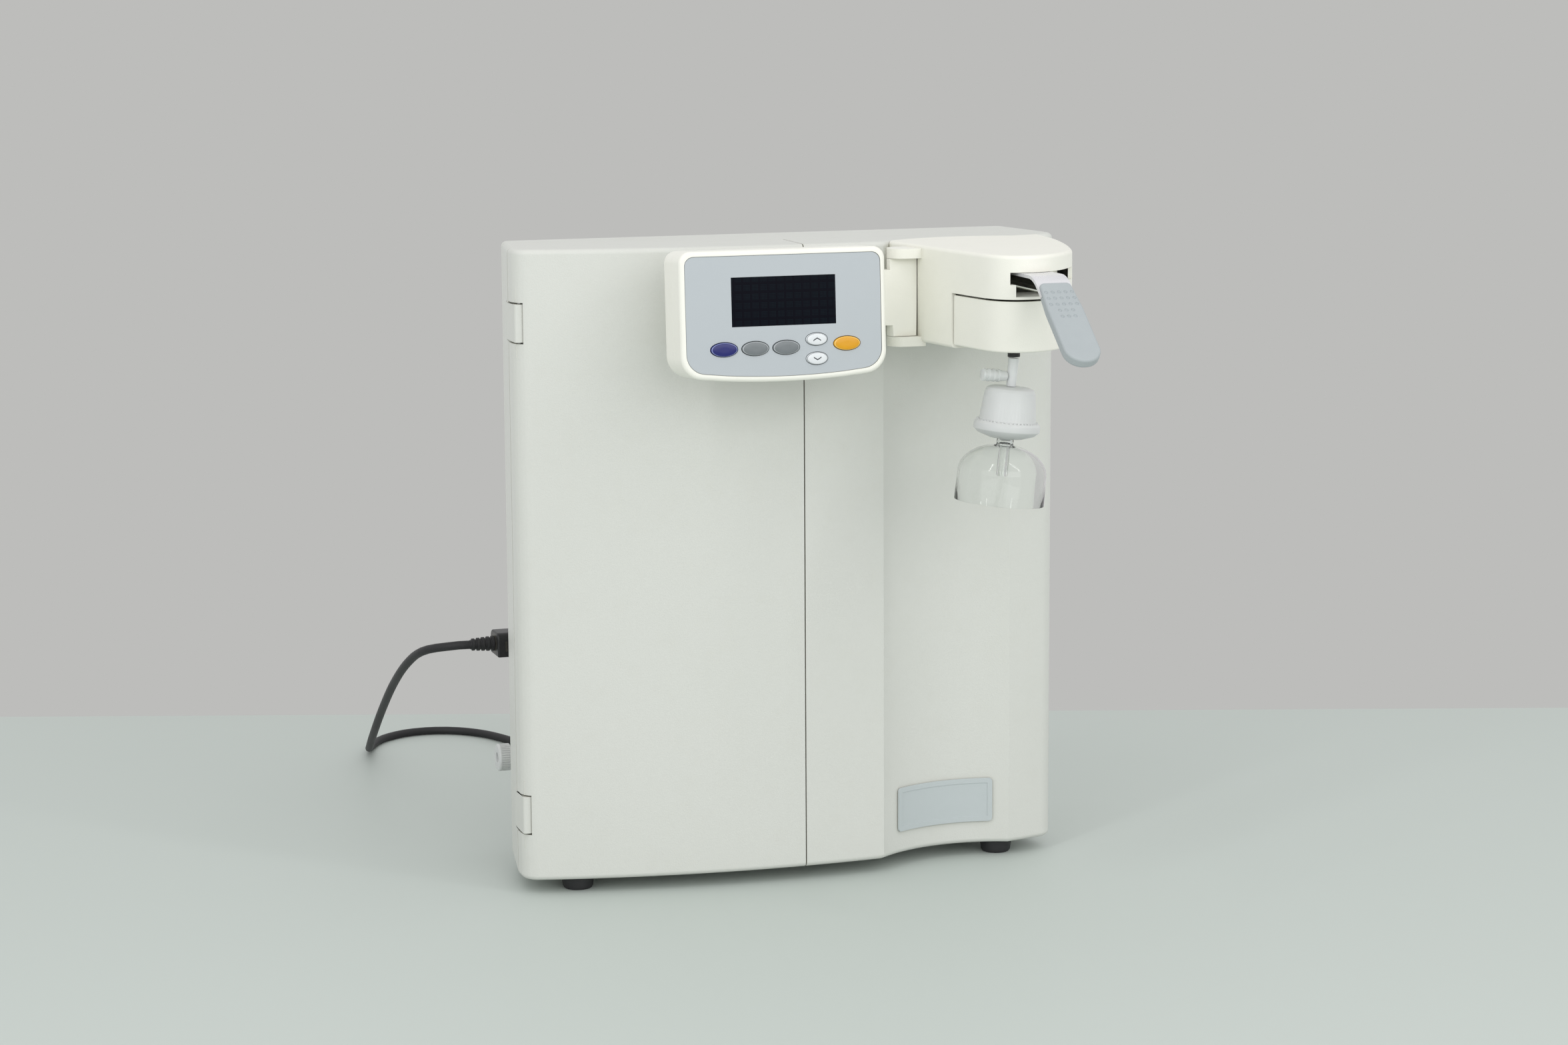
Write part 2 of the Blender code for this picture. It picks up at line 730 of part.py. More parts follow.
def make_door():
    side = BODY_WIDTH
    high = (-SEAM / 2, SEAM_Y - SEAM / 2, TOP_Z + OVERRUN)
    door = shell_piece("door", (-side, FRONT_Y - OVERRUN, 0), high)
    edge = front_y(SEAM) + WALL / 2
    flange = box(
        "door_flange",
        (-SEAM / 2 - WALL, edge, FOOT_HEIGHT + WALL / 2),
        (-SEAM / 2, edge + FLANGE_DEPTH, TOP_Z - WALL / 2),
    )
    join(door, flange)
    for label, middle in (("upper", TAB_UPPER_Z), ("lower", TAB_LOWER_Z)):
        half = TAB_HEIGHT / 2 + HINGE_NOTCH_GAP
        front = HINGE_Y - TAB_NOSE - HINGE_NOTCH_GAP
        for end, start in (("above", middle + half), ("below", middle - half - HINGE_LUG_HEIGHT)):
            join(door, hinge_lug(label + "_" + end, start))
        notch = box(
            "door_notch_" + label,
            (-side, front, middle - half),
            (-BODY_WIDTH / 2 + TAB_THICKNESS + HINGE_NOTCH_GAP, SEAM_Y + OVERRUN, middle + half),
        )
        cut(door, notch)
        bore = rod(
            "door_bore_" + label,
            (HINGE_X, HINGE_Y, middle - half - HINGE_LUG_HEIGHT - OVERRUN),
            (HINGE_X, HINGE_Y, middle + half + HINGE_LUG_HEIGHT + OVERRUN),
            HINGE_PIN_RADIUS + CLEAR,
        )
        cut(door, bore)
    heel = box(
        "door_heel_relief",
        (-side, SEAM_Y - SEAM / 2 - HEEL_RELIEF, 0),
        (-BODY_WIDTH / 2 + HEEL_WIDTH, SEAM_Y + OVERRUN, TOP_Z + OVERRUN),
    )
    cut(door, heel)
    coloured(door, COLD_WHITE)
    hang_on(door, (HINGE_X, HINGE_Y, 0))


def hinge_lug(label, start):
    """An eye inside the door's side wall, round the end of a hinge pin."""
    inner = HINGE_X + HINGE_PIN_RADIUS + WALL
    outer = -BODY_WIDTH / 2 + WALL / 2
    reach = HINGE_PIN_RADIUS + WALL
    low = (outer, HINGE_Y - reach, start)
    return box("door_lug_" + label, low, (inner, HINGE_Y + reach, start + HINGE_LUG_HEIGHT))


def hang_on(part, axis_point):
    """Move a part's origin to a point on its joint's axis, with its shape left in place."""
    bpy.context.view_layer.update()
    shift = Vector(axis_point) - part.matrix_world.translation
    part.data.transform(Matrix.Translation(-(part.matrix_world.to_3x3().inverted() @ shift)))
    part.matrix_world.translation = axis_point


def make_hinge_pins():
    reach = TAB_HEIGHT / 2 + HINGE_NOTCH_GAP + HINGE_LUG_HEIGHT - CLEAR
    for label, middle in (("upper", TAB_UPPER_Z), ("lower", TAB_LOWER_Z)):
        pin = rod(
            "hinge_pin_" + label,
            (HINGE_X, HINGE_Y, middle - reach),
            (HINGE_X, HINGE_Y, middle + reach),
            HINGE_PIN_RADIUS,
        )
        coloured(pin, STEEL)


def make_right_shell():
    low = (SEAM / 2, FRONT_Y - OVERRUN, 0)
    high = (BODY_WIDTH, SEAM_Y - SEAM / 2, TOP_Z + OVERRUN)
    shell = shell_piece("right_front_shell", low, high)
    edge = front_y(SEAM) + WALL / 2
    rib = box(
        "right_shell_rib",
        (SEAM / 2, edge, FOOT_HEIGHT + WALL / 2),
        (SEAM / 2 + WALL, SEAM_Y - SEAM / 2 - CATCH_DEPTH, TOP_Z - WALL / 2),
    )
    join(shell, rib)
    middle = FOOT_HEIGHT + BODY_HEIGHT / 2
    strike_low = (-OVERRUN, edge + FLANGE_DEPTH + CLEAR, middle - CATCH_HEIGHT / 2 - CLEAR)
    strike_high = (OVERRUN, SEAM_Y, middle + CATCH_HEIGHT / 2 + CLEAR)
    cut(shell, box("strike_window", strike_low, strike_high))
    wall_y = bay_y(OUTLET_X)
    hole = rod(
        "product_hole",
        (OUTLET_X, wall_y - OVERRUN, OUTLET_VALVE_Z),
        (OUTLET_X, wall_y + OVERRUN, OUTLET_VALVE_Z),
        TUBE_RADIUS + WALL / 2,
    )
    cut(shell, hole)
    coloured(shell, COLD_WHITE)


def make_door_catch():
    """A sprung blade behind the door's flange that rests beside the rib's window."""
    middle = FOOT_HEIGHT + BODY_HEIGHT / 2
    start = front_y(SEAM) + WALL / 2 + WALL
    inner = -SEAM / 2 - WALL - CLEAR
    corners = [
        (inner, start),
        (inner, start + FLANGE_DEPTH),
        (inner - CATCH_THICKNESS, start + FLANGE_DEPTH),
        (inner - CATCH_THICKNESS * 2, start + FLANGE_DEPTH - CATCH_THICKNESS),
        (inner - CATCH_THICKNESS, start + FLANGE_DEPTH / 2),
        (inner - CATCH_THICKNESS, start),
    ]
    low = middle - CATCH_HEIGHT / 2
    coloured(slab("door_catch", corners, low, low + CATCH_HEIGHT), STEEL)


def make_service_cover():
    half = SERVICE_WIDTH / 2
    front = REAR_Y + CLEAR
    corners = [
        (-half, front - OVERRUN, 0),
        (half, front - OVERRUN, 0),
        (half, BACK_Y, SERVICE_CORNER),
        (-half, BACK_Y, SERVICE_CORNER),
    ]
    low, high = FOOT_HEIGHT + SERVICE_MARGIN, TOP_Z - SERVICE_MARGIN
    outline = rounded(corners)
    cover = softened(slab("service_cover", outline, low, high), EDGE_FILLET / 2)
    inner = [
        (-half + WALL, front - OVERRUN * 2, 0),
        (half - WALL, front - OVERRUN * 2, 0),
        (half - WALL, BACK_Y - WALL, SERVICE_CORNER - WALL),
        (-half + WALL, BACK_Y - WALL, SERVICE_CORNER - WALL),
    ]
    face = box(
        "service_face",
        (-half - OVERRUN, front - OVERRUN * 2, low - OVERRUN),
        (half + OVERRUN, front, high + OVERRUN),
    )
    cut(cover, face)
    cut(cover, slab("service_hollow", rounded(inner), low + WALL, high - WALL))
    tub_half_y = INLET_FLANGE_WIDTH / 2 - INLET_WALL + CLEAR
    tub_half_z = INLET_FLANGE_HEIGHT / 2 - INLET_WALL + CLEAR
    window = box(
        "inlet_window",
        (SERVICE_X - OVERRUN, INLET_Y - tub_half_y, INLET_Z - tub_half_z),
        (SERVICE_X + OVERRUN, INLET_Y + tub_half_y, INLET_Z + tub_half_z),
    )
    cut(cover, window)
    hole = rod(
        "fitting_hole",
        (SERVICE_X - OVERRUN, INLET_Y, FITTING_Z),
        (SERVICE_X + OVERRUN, INLET_Y, FITTING_Z),
        FITTING_THREAD_RADIUS + CLEAR * 2,
        ROUND_SIDES,
    )
    cut(cover, hole)
    for row in range(SERVICE_SLOTS):
        start = TOP_Z - SERVICE_MARGIN - SERVICE_SLOT_DROP + row * SERVICE_SLOT_PITCH
        vent = box(
            f"service_slot_{row}",
            (-SERVICE_SLOT_WIDTH / 2, BACK_Y - WALL - OVERRUN, start),
            (SERVICE_SLOT_WIDTH / 2, BACK_Y + OVERRUN, start + SERVICE_SLOT_HEIGHT),
        )
        cut(cover, vent)
    coloured(cover, COLD_WHITE)



def make_inlet_socket():
    """A three-pin appliance inlet: flange outside the cover, tub inside."""
    face = SERVICE_X - CLEAR
    half_y, half_z = INLET_FLANGE_WIDTH / 2, INLET_FLANGE_HEIGHT / 2
    flange = rounded(
        [
            (INLET_Y - half_y, INLET_Z - half_z, INLET_FLANGE),
            (INLET_Y + half_y, INLET_Z - half_z, INLET_FLANGE),
            (INLET_Y + half_y, INLET_Z + half_z, INLET_FLANGE),
            (INLET_Y - half_y, INLET_Z + half_z, INLET_FLANGE),
        ],
        2,
    )
    socket = slab("inlet_socket", flange, face - INLET_FLANGE, face, "X")
    body = box(
        "inlet_body",
        (face - INLET_FLANGE / 2, INLET_Y - half_y + INLET_WALL, INLET_Z - half_z + INLET_WALL),
        (face + INLET_TUB, INLET_Y + half_y - INLET_WALL, INLET_Z + half_z - INLET_WALL),
    )
    join(socket, body)
    nose_y, nose_z = PLUG_WIDTH / 2 + CLEAR, PLUG_HEIGHT / 2 + CLEAR
    well = box(
        "inlet_well",
        (face - OVERRUN, INLET_Y - nose_y, INLET_Z - nose_z),
        (SERVICE_X - INLET_FLANGE + PLUG_NOSE + CLEAR, INLET_Y + nose_y, INLET_Z + nose_z),
    )
    cut(socket, well)
    coloured(socket, BLACK)


def make_feed_fitting():
    """A push-in bulkhead fitting for the feed water, with its axis along X."""
    face = SERVICE_X - CLEAR
    outer = FITTING_FLANGE + FITTING_NECK + FITTING_COLLAR
    step = FITTING_FLANGE / 4
    profile = [
        (0, outer - FITTING_COLLAR),
        (TUBE_RADIUS, outer - FITTING_COLLAR),
        (TUBE_RADIUS, outer),
        (FITTING_COLLAR_RADIUS - step, outer),
        (FITTING_COLLAR_RADIUS, outer - step),
        (FITTING_COLLAR_RADIUS, outer - FITTING_COLLAR),
        (FITTING_NECK_RADIUS, outer - FITTING_COLLAR - step),
        (FITTING_NECK_RADIUS, FITTING_FLANGE),
        (FITTING_FLANGE_RADIUS, FITTING_FLANGE),
        (FITTING_FLANGE_RADIUS, 0),
        (FITTING_THREAD_RADIUS, 0),
        (FITTING_THREAD_RADIUS, -FITTING_THREAD),
        (0, -FITTING_THREAD),
    ]
    fitting = turned("feed_fitting", profile, (face, INLET_Y, FITTING_Z), 16, (-1, 0, 0))
    coloured(fitting, MILKY)


def make_feet():
    places = {
        "foot_front_left": (-BODY_WIDTH / 2 + FOOT_INSET, SEAM_Y - FOOT_INSET / 4),
        "foot_front_right": (BODY_WIDTH / 2 - FOOT_INSET, SEAM_Y - FOOT_INSET / 4),
        "foot_rear_left": (-REAR_WIDTH / 2 + FOOT_INSET, REAR_Y - FOOT_RADIUS - REAR_CORNER),
        "foot_rear_right": (REAR_WIDTH / 2 - FOOT_INSET, REAR_Y - FOOT_RADIUS - REAR_CORNER),
    }
    waist = FOOT_HEIGHT / 5
    top = FOOT_HEIGHT - CLEAR
    profile = [
        (0, top),
        (FOOT_RADIUS, top),
        (FOOT_RADIUS - waist / 2, waist),
        (FOOT_RADIUS - waist, 0),
        (0, 0),
    ]
    for name, (x, y) in places.items():
        coloured(turned(name, profile, (x, y, 0), 16), BLACK)


def make_data_plate():
    """A bare plate that follows the concave bay, with a raised border."""
    middle_x = (BAY_LEFT + BAY_RIGHT) / 2
    low, high = NAMEPLATE_FOOT, NAMEPLATE_FOOT + NAMEPLATE_HEIGHT
    gap = CLEAR * 2
    band = bay_band(middle_x, NAMEPLATE_WIDTH, gap, NAMEPLATE_THICKNESS)
    plate = slab("data_plate", band, low, high)
    border = NAMEPLATE_BORDER
    raised = gap + NAMEPLATE_THICKNESS - NAMEPLATE_SINK
    field = bay_band(middle_x, NAMEPLATE_WIDTH - border * 2, raised, WALL)
    cut(plate, slab("data_plate_field", field, low + border, high - border))
    coloured(plate, PALE_BLUE)


def bay_band(middle_x, width, gap, thickness):
    """A strip from above that follows the bay's curve in front of its surface."""
    centre, radius = bay_arc()
    middle = math.degrees(math.asin((middle_x - centre.x) / radius))
    spread = math.degrees(width / 2 / radius)
    first, last = 90 - middle + spread, 90 - middle - spread
    outer = arc(centre, radius - gap, first, last, BAY_STEPS)
    inner = arc(centre, radius - gap - thickness, last, first, BAY_STEPS)
    return outer + inner


def head_outline(shrink=0):
    """The head from above, anticlockwise from its left root, drawn in by a distance."""
    width = HEAD_RIGHT_ROOT - HEAD_LEFT_ROOT
    route = [
        (HEAD_LEFT_ROOT + width * across, FRONT_Y - HEAD_REACH * forward)
        for across, forward in HEAD_EDGE_SHARES
    ]
    edge, _ = smooth_run(route, HEAD_STEP)
    outline = [(HEAD_LEFT_ROOT, SEAM_Y)]
    outline += [tuple(point) for point in edge] + [(HEAD_RIGHT_ROOT, SEAM_Y)]
    return inset(outline, shrink) if shrink else outline


def body_envelope(name, gap):
    """The housing grown by a gap, to cut what seats on its front."""
    outline = inset(body_outline(), -gap)
    return slab(name, outline, 0, TOP_Z + OVERRUN)


def block_region(name, gap, low, high):
    """The room of the removable block: the head's low front and its right side."""
    left_y = FRONT_Y - BLOCK_LEFT_Y + gap
    arm_x = BLOCK_RIGHT_X - BLOCK_ARM_WIDTH - gap
    corners = [
        (0, left_y),
        (0, NOSE_Y - OVERRUN),
        (BLOCK_RIGHT_X + gap, NOSE_Y - OVERRUN),
        (BLOCK_RIGHT_X + gap, SEAM_Y + gap),
        (arm_x, SEAM_Y + gap),
        (arm_x, left_y),
    ]
    return slab(name, corners, low, high)


def make_head_shell():
    head = softened(slab("head_shell", head_outline(), HEAD_FOOT_Z, TOP_Z), HEAD_FILLET)
    step_z = HEAD_FOOT_Z + BLOCK_HEIGHT + BLOCK_GAP
    inner, drawn_in = head_outline(HEAD_WALL), head_outline(HEAD_WALL + CLEAR)
    upper = slab("head_hollow_upper", inner, step_z + HEAD_WALL, TOP_Z - HEAD_WALL)
    lower = slab("head_hollow_lower", drawn_in, HEAD_FOOT_Z + HEAD_WALL, step_z + HEAD_WALL * 2)
    side = box("head_hollow_side", (0, NOSE_Y, 0), (BLOCK_RIGHT_X - HEAD_WALL, BACK_Y, TOP_Z))
    keep(lower, side)
    cut(cut(head, upper), lower)
    for label, low in (
        ("upper", TOP_Z - BARREL_TOP - CLEAR),
        ("lower", TOP_Z - BARREL_TOP - CLEAR * 3 - BARREL_HEIGHT - EAR_HEIGHT),
    ):
        join(head, swivel_ear(label, low))
    cut(head, body_envelope("head_seat", CLEAR))
    room_low = HEAD_FOOT_Z - OVERRUN
    cut(head, block_region("head_block_room", BLOCK_GAP, room_low, step_z))
    right_low = (BLOCK_RIGHT_X, NOSE_Y - OVERRUN, room_low)
    cut(head, box("head_right_step", right_low, (BODY_WIDTH, BACK_Y, step_z)))
    slot_low = SLOT_TOP_Z - SLOT_HEIGHT
    slot = box(
        "lever_slot",
        (SLOT_LEFT_X, NOSE_Y - OVERRUN, slot_low),
        (BODY_WIDTH, NOSE_Y + SLOT_DEPTH, SLOT_TOP_Z),
    )
    cut(head, slot)
    half = STRIP_WIDTH / 2 + STRIP_THICKNESS
    notch = box(
        "lever_notch",
        (LEVER_X - half, NOSE_Y - OVERRUN, slot_low - NOTCH_DROP),
        (LEVER_X + half, NOSE_Y + SLOT_DEPTH / 2, SLOT_TOP_Z - SLOT_HEIGHT / 2),
    )
    cut(head, notch)
    barrel_room = rod(
        "barrel_room",
        (PIVOT_X, PIVOT_Y, TOP_Z - BARREL_TOP - CLEAR * 3 - BARREL_HEIGHT),
        (PIVOT_X, PIVOT_Y, TOP_Z - BARREL_TOP - CLEAR),
        BARREL_RADIUS + CLEAR * 2,
        ROUND_SIDES,
    )
    cut(head, barrel_room)
    cut(head, pivot_bore("head_pivot_bore"))
    coloured(head, IVORY)


def swivel_ear(label, low):
    """A lug on the head's left side that holds one end of the display's pivot pin."""
    right = HEAD_LEFT_ROOT + BARREL_RADIUS
    corners = [
        (PIVOT_X, PIVOT_Y + BARREL_RADIUS),
        *arc((PIVOT_X, PIVOT_Y), BARREL_RADIUS, 90, 270, SMALL_SIDES),
        (right, PIVOT_Y - BARREL_RADIUS),
        (right, PIVOT_Y + BARREL_RADIUS),
    ][1:]
    return slab("swivel_ear_" + label, corners, low, low + EAR_HEIGHT)


def pivot_bore(name):
    low = HEAD_FOOT_Z - OVERRUN
    radius = PIVOT_PIN_RADIUS + CLEAR
    high = TOP_Z - BARREL_TOP + EAR_HEIGHT / 2
    return rod(name, (PIVOT_X, PIVOT_Y, low), (PIVOT_X, PIVOT_Y, high), radius)


def make_dispense_block():
    low = HEAD_FOOT_Z + BLOCK_RISE
    high = HEAD_FOOT_Z + BLOCK_HEIGHT
    block = slab("dispense_block", head_outline(BLOCK_INSET), low - OVERRUN, high + OVERRUN)
    keep(block, block_region("block_form", 0, low, high))
    cut(block, body_envelope("block_seat", CLEAR))
    hollow = slab("block_hollow", head_outline(BLOCK_INSET + HEAD_WALL), low, high + OVERRUN)
    inner = block_region("block_inner", -HEAD_WALL, low + HEAD_WALL, high + OVERRUN)
    keep(hollow, inner)
    cut(block, hollow)
    arm_x = BLOCK_RIGHT_X - BLOCK_ARM_WIDTH + HEAD_WALL
    passage = box(
        "block_passage",
        (arm_x, FRONT_Y, low + HEAD_WALL),
        (BLOCK_RIGHT_X - HEAD_WALL, SEAM_Y, high + OVERRUN),
    )
    cut(block, passage)
    hole = rod(
        "outlet_hole",
        (OUTLET_X, OUTLET_Y, low - OVERRUN),
        (OUTLET_X, OUTLET_Y, low + OVERRUN),
        OUTLET_COLLAR_RADIUS + CLEAR,
        ROUND_SIDES,
    )
    cut(block, hole)
    coloured(block, IVORY)


def make_outlet_collar():
    """The outlet's black collar, seated in the block's floor, with a spigot below."""
    floor = HEAD_FOOT_Z + BLOCK_RISE
    lip = floor + HEAD_WALL + CLEAR
    foot = floor - OUTLET_COLLAR_DROP
    profile = [
        (0, lip + HEAD_WALL),
        (OUTLET_LIP_RADIUS, lip + HEAD_WALL),
        (OUTLET_LIP_RADIUS, lip),
        (OUTLET_COLLAR_RADIUS, lip),
        (OUTLET_COLLAR_RADIUS, foot),
        (0, foot),
    ]
    coloured(turned("outlet_collar", profile, (OUTLET_X, OUTLET_Y, 0), 16), BLACK)


def lever_profile(offset):
    """The run of the lever in (y, z) from its pivot to the paddle's tip, offset upwards."""
    slope = math.radians(PADDLE_SLOPE_DEG)
    start_y = NOSE_Y - STRIP_BEND
    bend_run = STRIP_BEND
    radius = bend_run / math.sin(slope)
    centre = (start_y, LEVER_PIVOT_Z - radius)
    run = [(LEVER_PIVOT_Y, LEVER_PIVOT_Z + offset)]
    run += arc(centre, radius + offset, 90, 90 + PADDLE_SLOPE_DEG, CORNER_STEPS)
    end_y = start_y - bend_run
    end_z = LEVER_PIVOT_Z - radius * (1 - math.cos(slope))
    return run, (end_y, end_z), slope


def make_lever():
    half = STRIP_THICKNESS / 2
    upper, end, slope = lever_profile(half)
    lower = lever_profile(-half)[0]
    along = Vector((-math.cos(slope), -math.sin(slope)))
    upward = Vector((-math.sin(slope), math.cos(slope)))
    lap_end = Vector(end) + along * PADDLE_LAP
    outline = upper + [tuple(lap_end + upward * half), tuple(lap_end - upward * half)]
    outline += lower[::-1]
    left, right = LEVER_X - STRIP_WIDTH / 2, LEVER_X + STRIP_WIDTH / 2
    strip = slab("lever_strip", outline, left, right, "X")
    axis = (LEVER_X, LEVER_PIVOT_Y, LEVER_PIVOT_Z)
    eye = rod(
        "lever_eye",
        (left, LEVER_PIVOT_Y, LEVER_PIVOT_Z),
        (right, LEVER_PIVOT_Y, LEVER_PIVOT_Z),
        LEVER_EYE_RADIUS,
        16,
    )
    join(strip, eye)
    cut(strip, lever_bore("strip_bore", left, right))
    coloured(strip, PALE_METAL)
    hang_on(strip, axis)
    make_paddle(Vector(end), along, upward)


def lever_bore(name, left, right):
    return rod(
        name,
        (left - OVERRUN, LEVER_PIVOT_Y, LEVER_PIVOT_Z),
        (right + OVERRUN, LEVER_PIVOT_Y, LEVER_PIVOT_Z),
        LEVER_PIN_RADIUS + CLEAR,
    )


def make_paddle(end, along, upward):
    """A soft tongue moulded over the strip's end, with a round tip."""
    tip_y = NOSE_Y - LEVER_REACH
    sink = PADDLE_THICKNESS / 2 * math.sin(math.radians(PADDLE_SLOPE_DEG))
    length = (end.x - tip_y - sink) / math.cos(math.radians(PADDLE_SLOPE_DEG))
    half = PADDLE_WIDTH / 2
    neck = half - PADDLE_EDGE
    corners = [
        (-neck, 0, PADDLE_EDGE * 2),
        (-half, -length / 3, half),
        (-half, -length, half - PADDLE_EDGE / 4),
        (half, -length, half - PADDLE_EDGE / 4),
        (half, -length / 3, half),
        (neck, 0, PADDLE_EDGE * 2),
    ]
    thick = PADDLE_THICKNESS / 2
    paddle = slab("lever_paddle", rounded(corners, 5), -thick, thick)
    softened(paddle, PADDLE_EDGE)
    socket = box(
        "paddle_socket",
        (-STRIP_WIDTH / 2 - CLEAR, -PADDLE_LAP - CLEAR, -STRIP_THICKNESS / 2 - CLEAR),
        (STRIP_WIDTH / 2 + CLEAR, OVERRUN, STRIP_THICKNESS / 2 + CLEAR),
    )
    place = Matrix.Translation((LEVER_X, end.x, end.y)) @ Matrix.Rotation(
        math.radians(PADDLE_SLOPE_DEG), 4, "X"
    )
    bpy.context.view_layer.update()
    for piece in (paddle, socket):
        piece.matrix_world = place @ piece.matrix_world
    cut(paddle, socket)
    coloured(paddle, RUBBER_BLUE)
    hang_on(paddle, (LEVER_X, LEVER_PIVOT_Y, LEVER_PIVOT_Z))


def make_lever_carrier():
    """Two cheeks under the head's top that hold the lever's pin."""
    gap = STRIP_WIDTH / 2 + CLEAR * 2
    outer = gap + CHEEK
    top = TOP_Z - HEAD_WALL - CLEAR
    reach = LEVER_EYE_RADIUS + CHEEK / 2
    low = LEVER_PIVOT_Z - reach
    carrier = box(
        "lever_carrier",
        (LEVER_X - outer, LEVER_PIVOT_Y - reach, low),
        (LEVER_X + outer, LEVER_PIVOT_Y + reach, top),
    )
    room = box(
        "carrier_room",
        (LEVER_X - gap, LEVER_PIVOT_Y - reach - OVERRUN, low - OVERRUN),
        (LEVER_X + gap, LEVER_PIVOT_Y + reach + OVERRUN, top - CARRIER_BASE),
    )
    cut(carrier, room)
    cut(carrier, lever_bore("carrier_bore", LEVER_X - outer, LEVER_X + outer))
    coloured(carrier, BLACK)
    pin = rod(
        "lever_pin",
        (LEVER_X - outer, LEVER_PIVOT_Y, LEVER_PIVOT_Z),
        (LEVER_X + outer, LEVER_PIVOT_Y, LEVER_PIVOT_Z),
        LEVER_PIN_RADIUS,
    )
    coloured(pin, STEEL)


def make_dispense_valve():
    """The small valve over the outlet that the lever's root opens."""
    floor = HEAD_FOOT_Z + BLOCK_RISE + HEAD_WALL * 2 + CLEAR * 2
    half = VALVE_WIDTH / 2
    corners = [
        (OUTLET_X - half, OUTLET_Y - half, PADDLE_EDGE),
        (OUTLET_X + half, OUTLET_Y - half, PADDLE_EDGE),
        (OUTLET_X + half, OUTLET_Y + half, PADDLE_EDGE),
        (OUTLET_X - half, OUTLET_Y + half, PADDLE_EDGE),
    ]
    valve = slab("dispense_valve", rounded(corners, 2), floor, floor + VALVE_HEIGHT)
    elbow = rod(
        "valve_port",
        (OUTLET_X, OUTLET_Y, floor + VALVE_HEIGHT / 2),
        (OUTLET_X, OUTLET_Y + VALVE_WIDTH, floor + VALVE_HEIGHT / 2),
        TUBE_RADIUS,
    )
    join(valve, elbow)
    coloured(valve, MILKY)


def lean(pieces, place, angle_deg, axis_index):
    """Hang pieces, cutters among them, on an empty and turn it a little."""
    holder = bpy.data.objects.new(pieces[0].name + "_lean", None)
    holder.location = place
    PARTS.objects.link(holder)
    bpy.context.view_layer.update()
    for piece in pieces:
        piece.parent = holder
        piece.matrix_parent_inverse = Matrix.Translation(-Vector(place))
    holder.rotation_euler[axis_index] = math.radians(angle_deg)
    return holder


def everything():
    return set(PARTS.objects) | set(CUTTERS.objects)


def make_filter():
    """Nozzle, vented capsule and bell, pushed on the outlet and leaning together."""
    before = everything()
    top = HEAD_FOOT_Z + BLOCK_RISE - OUTLET_COLLAR_DROP - CLEAR
    place = (OUTLET_X, OUTLET_Y, top)
    nozzle = turned(
        "outlet_nozzle",
        [
            (NOZZLE_RADIUS, -CLEAR * 2),
            (NOZZLE_FOOT_RADIUS, -NOZZLE_LENGTH),
            (SPIGOT_RADIUS, -NOZZLE_LENGTH),
            (SPIGOT_RADIUS, -CLEAR * 2),
        ],
        place,
        16,
        ring=True,
    )
    coloured(nozzle, MILKY)
    make_vent(place)
    make_capsule(place)
    make_bell(place)
    bpy.context.view_layer.update()
    pieces = sorted(everything() - before, key=lambda piece: piece.name)
    lean(pieces, place, FILTER_LEAN_DEG, 1)


def make_vent(place):
    """A ribbed vent cap that points to the left of the nozzle."""
    x, y, z = place
    inner = NOZZLE_RADIUS + CLEAR
    pitch = VENT_LENGTH / 5
    profile = [(0, VENT_LENGTH)]
    for ring in (4, 3, 2, 1):
        start = ring * pitch
        profile += [
            (VENT_RADIUS, start + pitch),
            (VENT_RADIUS, start + pitch / 2),
            (VENT_RADIUS - VENT_RIB, start + pitch / 2),
            (VENT_RADIUS - VENT_RIB, start),
        ]
    profile += [(NOZZLE_FOOT_RADIUS, 0), (0, 0)]
    vent = turned("filter_vent", profile, (x - inner, y, z - VENT_DROP), SMALL_SIDES, (-1, 0, 0))
    coloured(vent, MILKY)


def make_capsule(place):
    x, y, z = place
    top = -NOZZLE_LENGTH - CLEAR
    crown = CAPSULE_RADIUS / 6
    foot = top - CAPSULE_HEIGHT
    rim = foot - FLANGE_HEIGHT
    end = rim - CONE_HEIGHT
    profile = [
        (0, top),
        *[(CAPSULE_RADIUS - crown * inward, top - crown * down) for inward, down in CROWN_SHARES],
        (CAPSULE_RADIUS, foot),
        (FLANGE_RADIUS - FLANGE_HEIGHT / 6, foot),
        (FLANGE_RADIUS, foot - FLANGE_HEIGHT / 5),
        (FLANGE_RADIUS, rim + FLANGE_HEIGHT / 3),
        (CAPSULE_RADIUS, rim),
        (STEM_RADIUS * 2, end),
        (STEM_RADIUS - CLEAR - BELL_WALL, end),
        (STEM_RADIUS - CLEAR - BELL_WALL, end - STEM_HEIGHT / 2),
        (0, end - STEM_HEIGHT / 2),
    ]
    coloured(turned("filter_capsule", profile, (x, y, z)), MILKY)


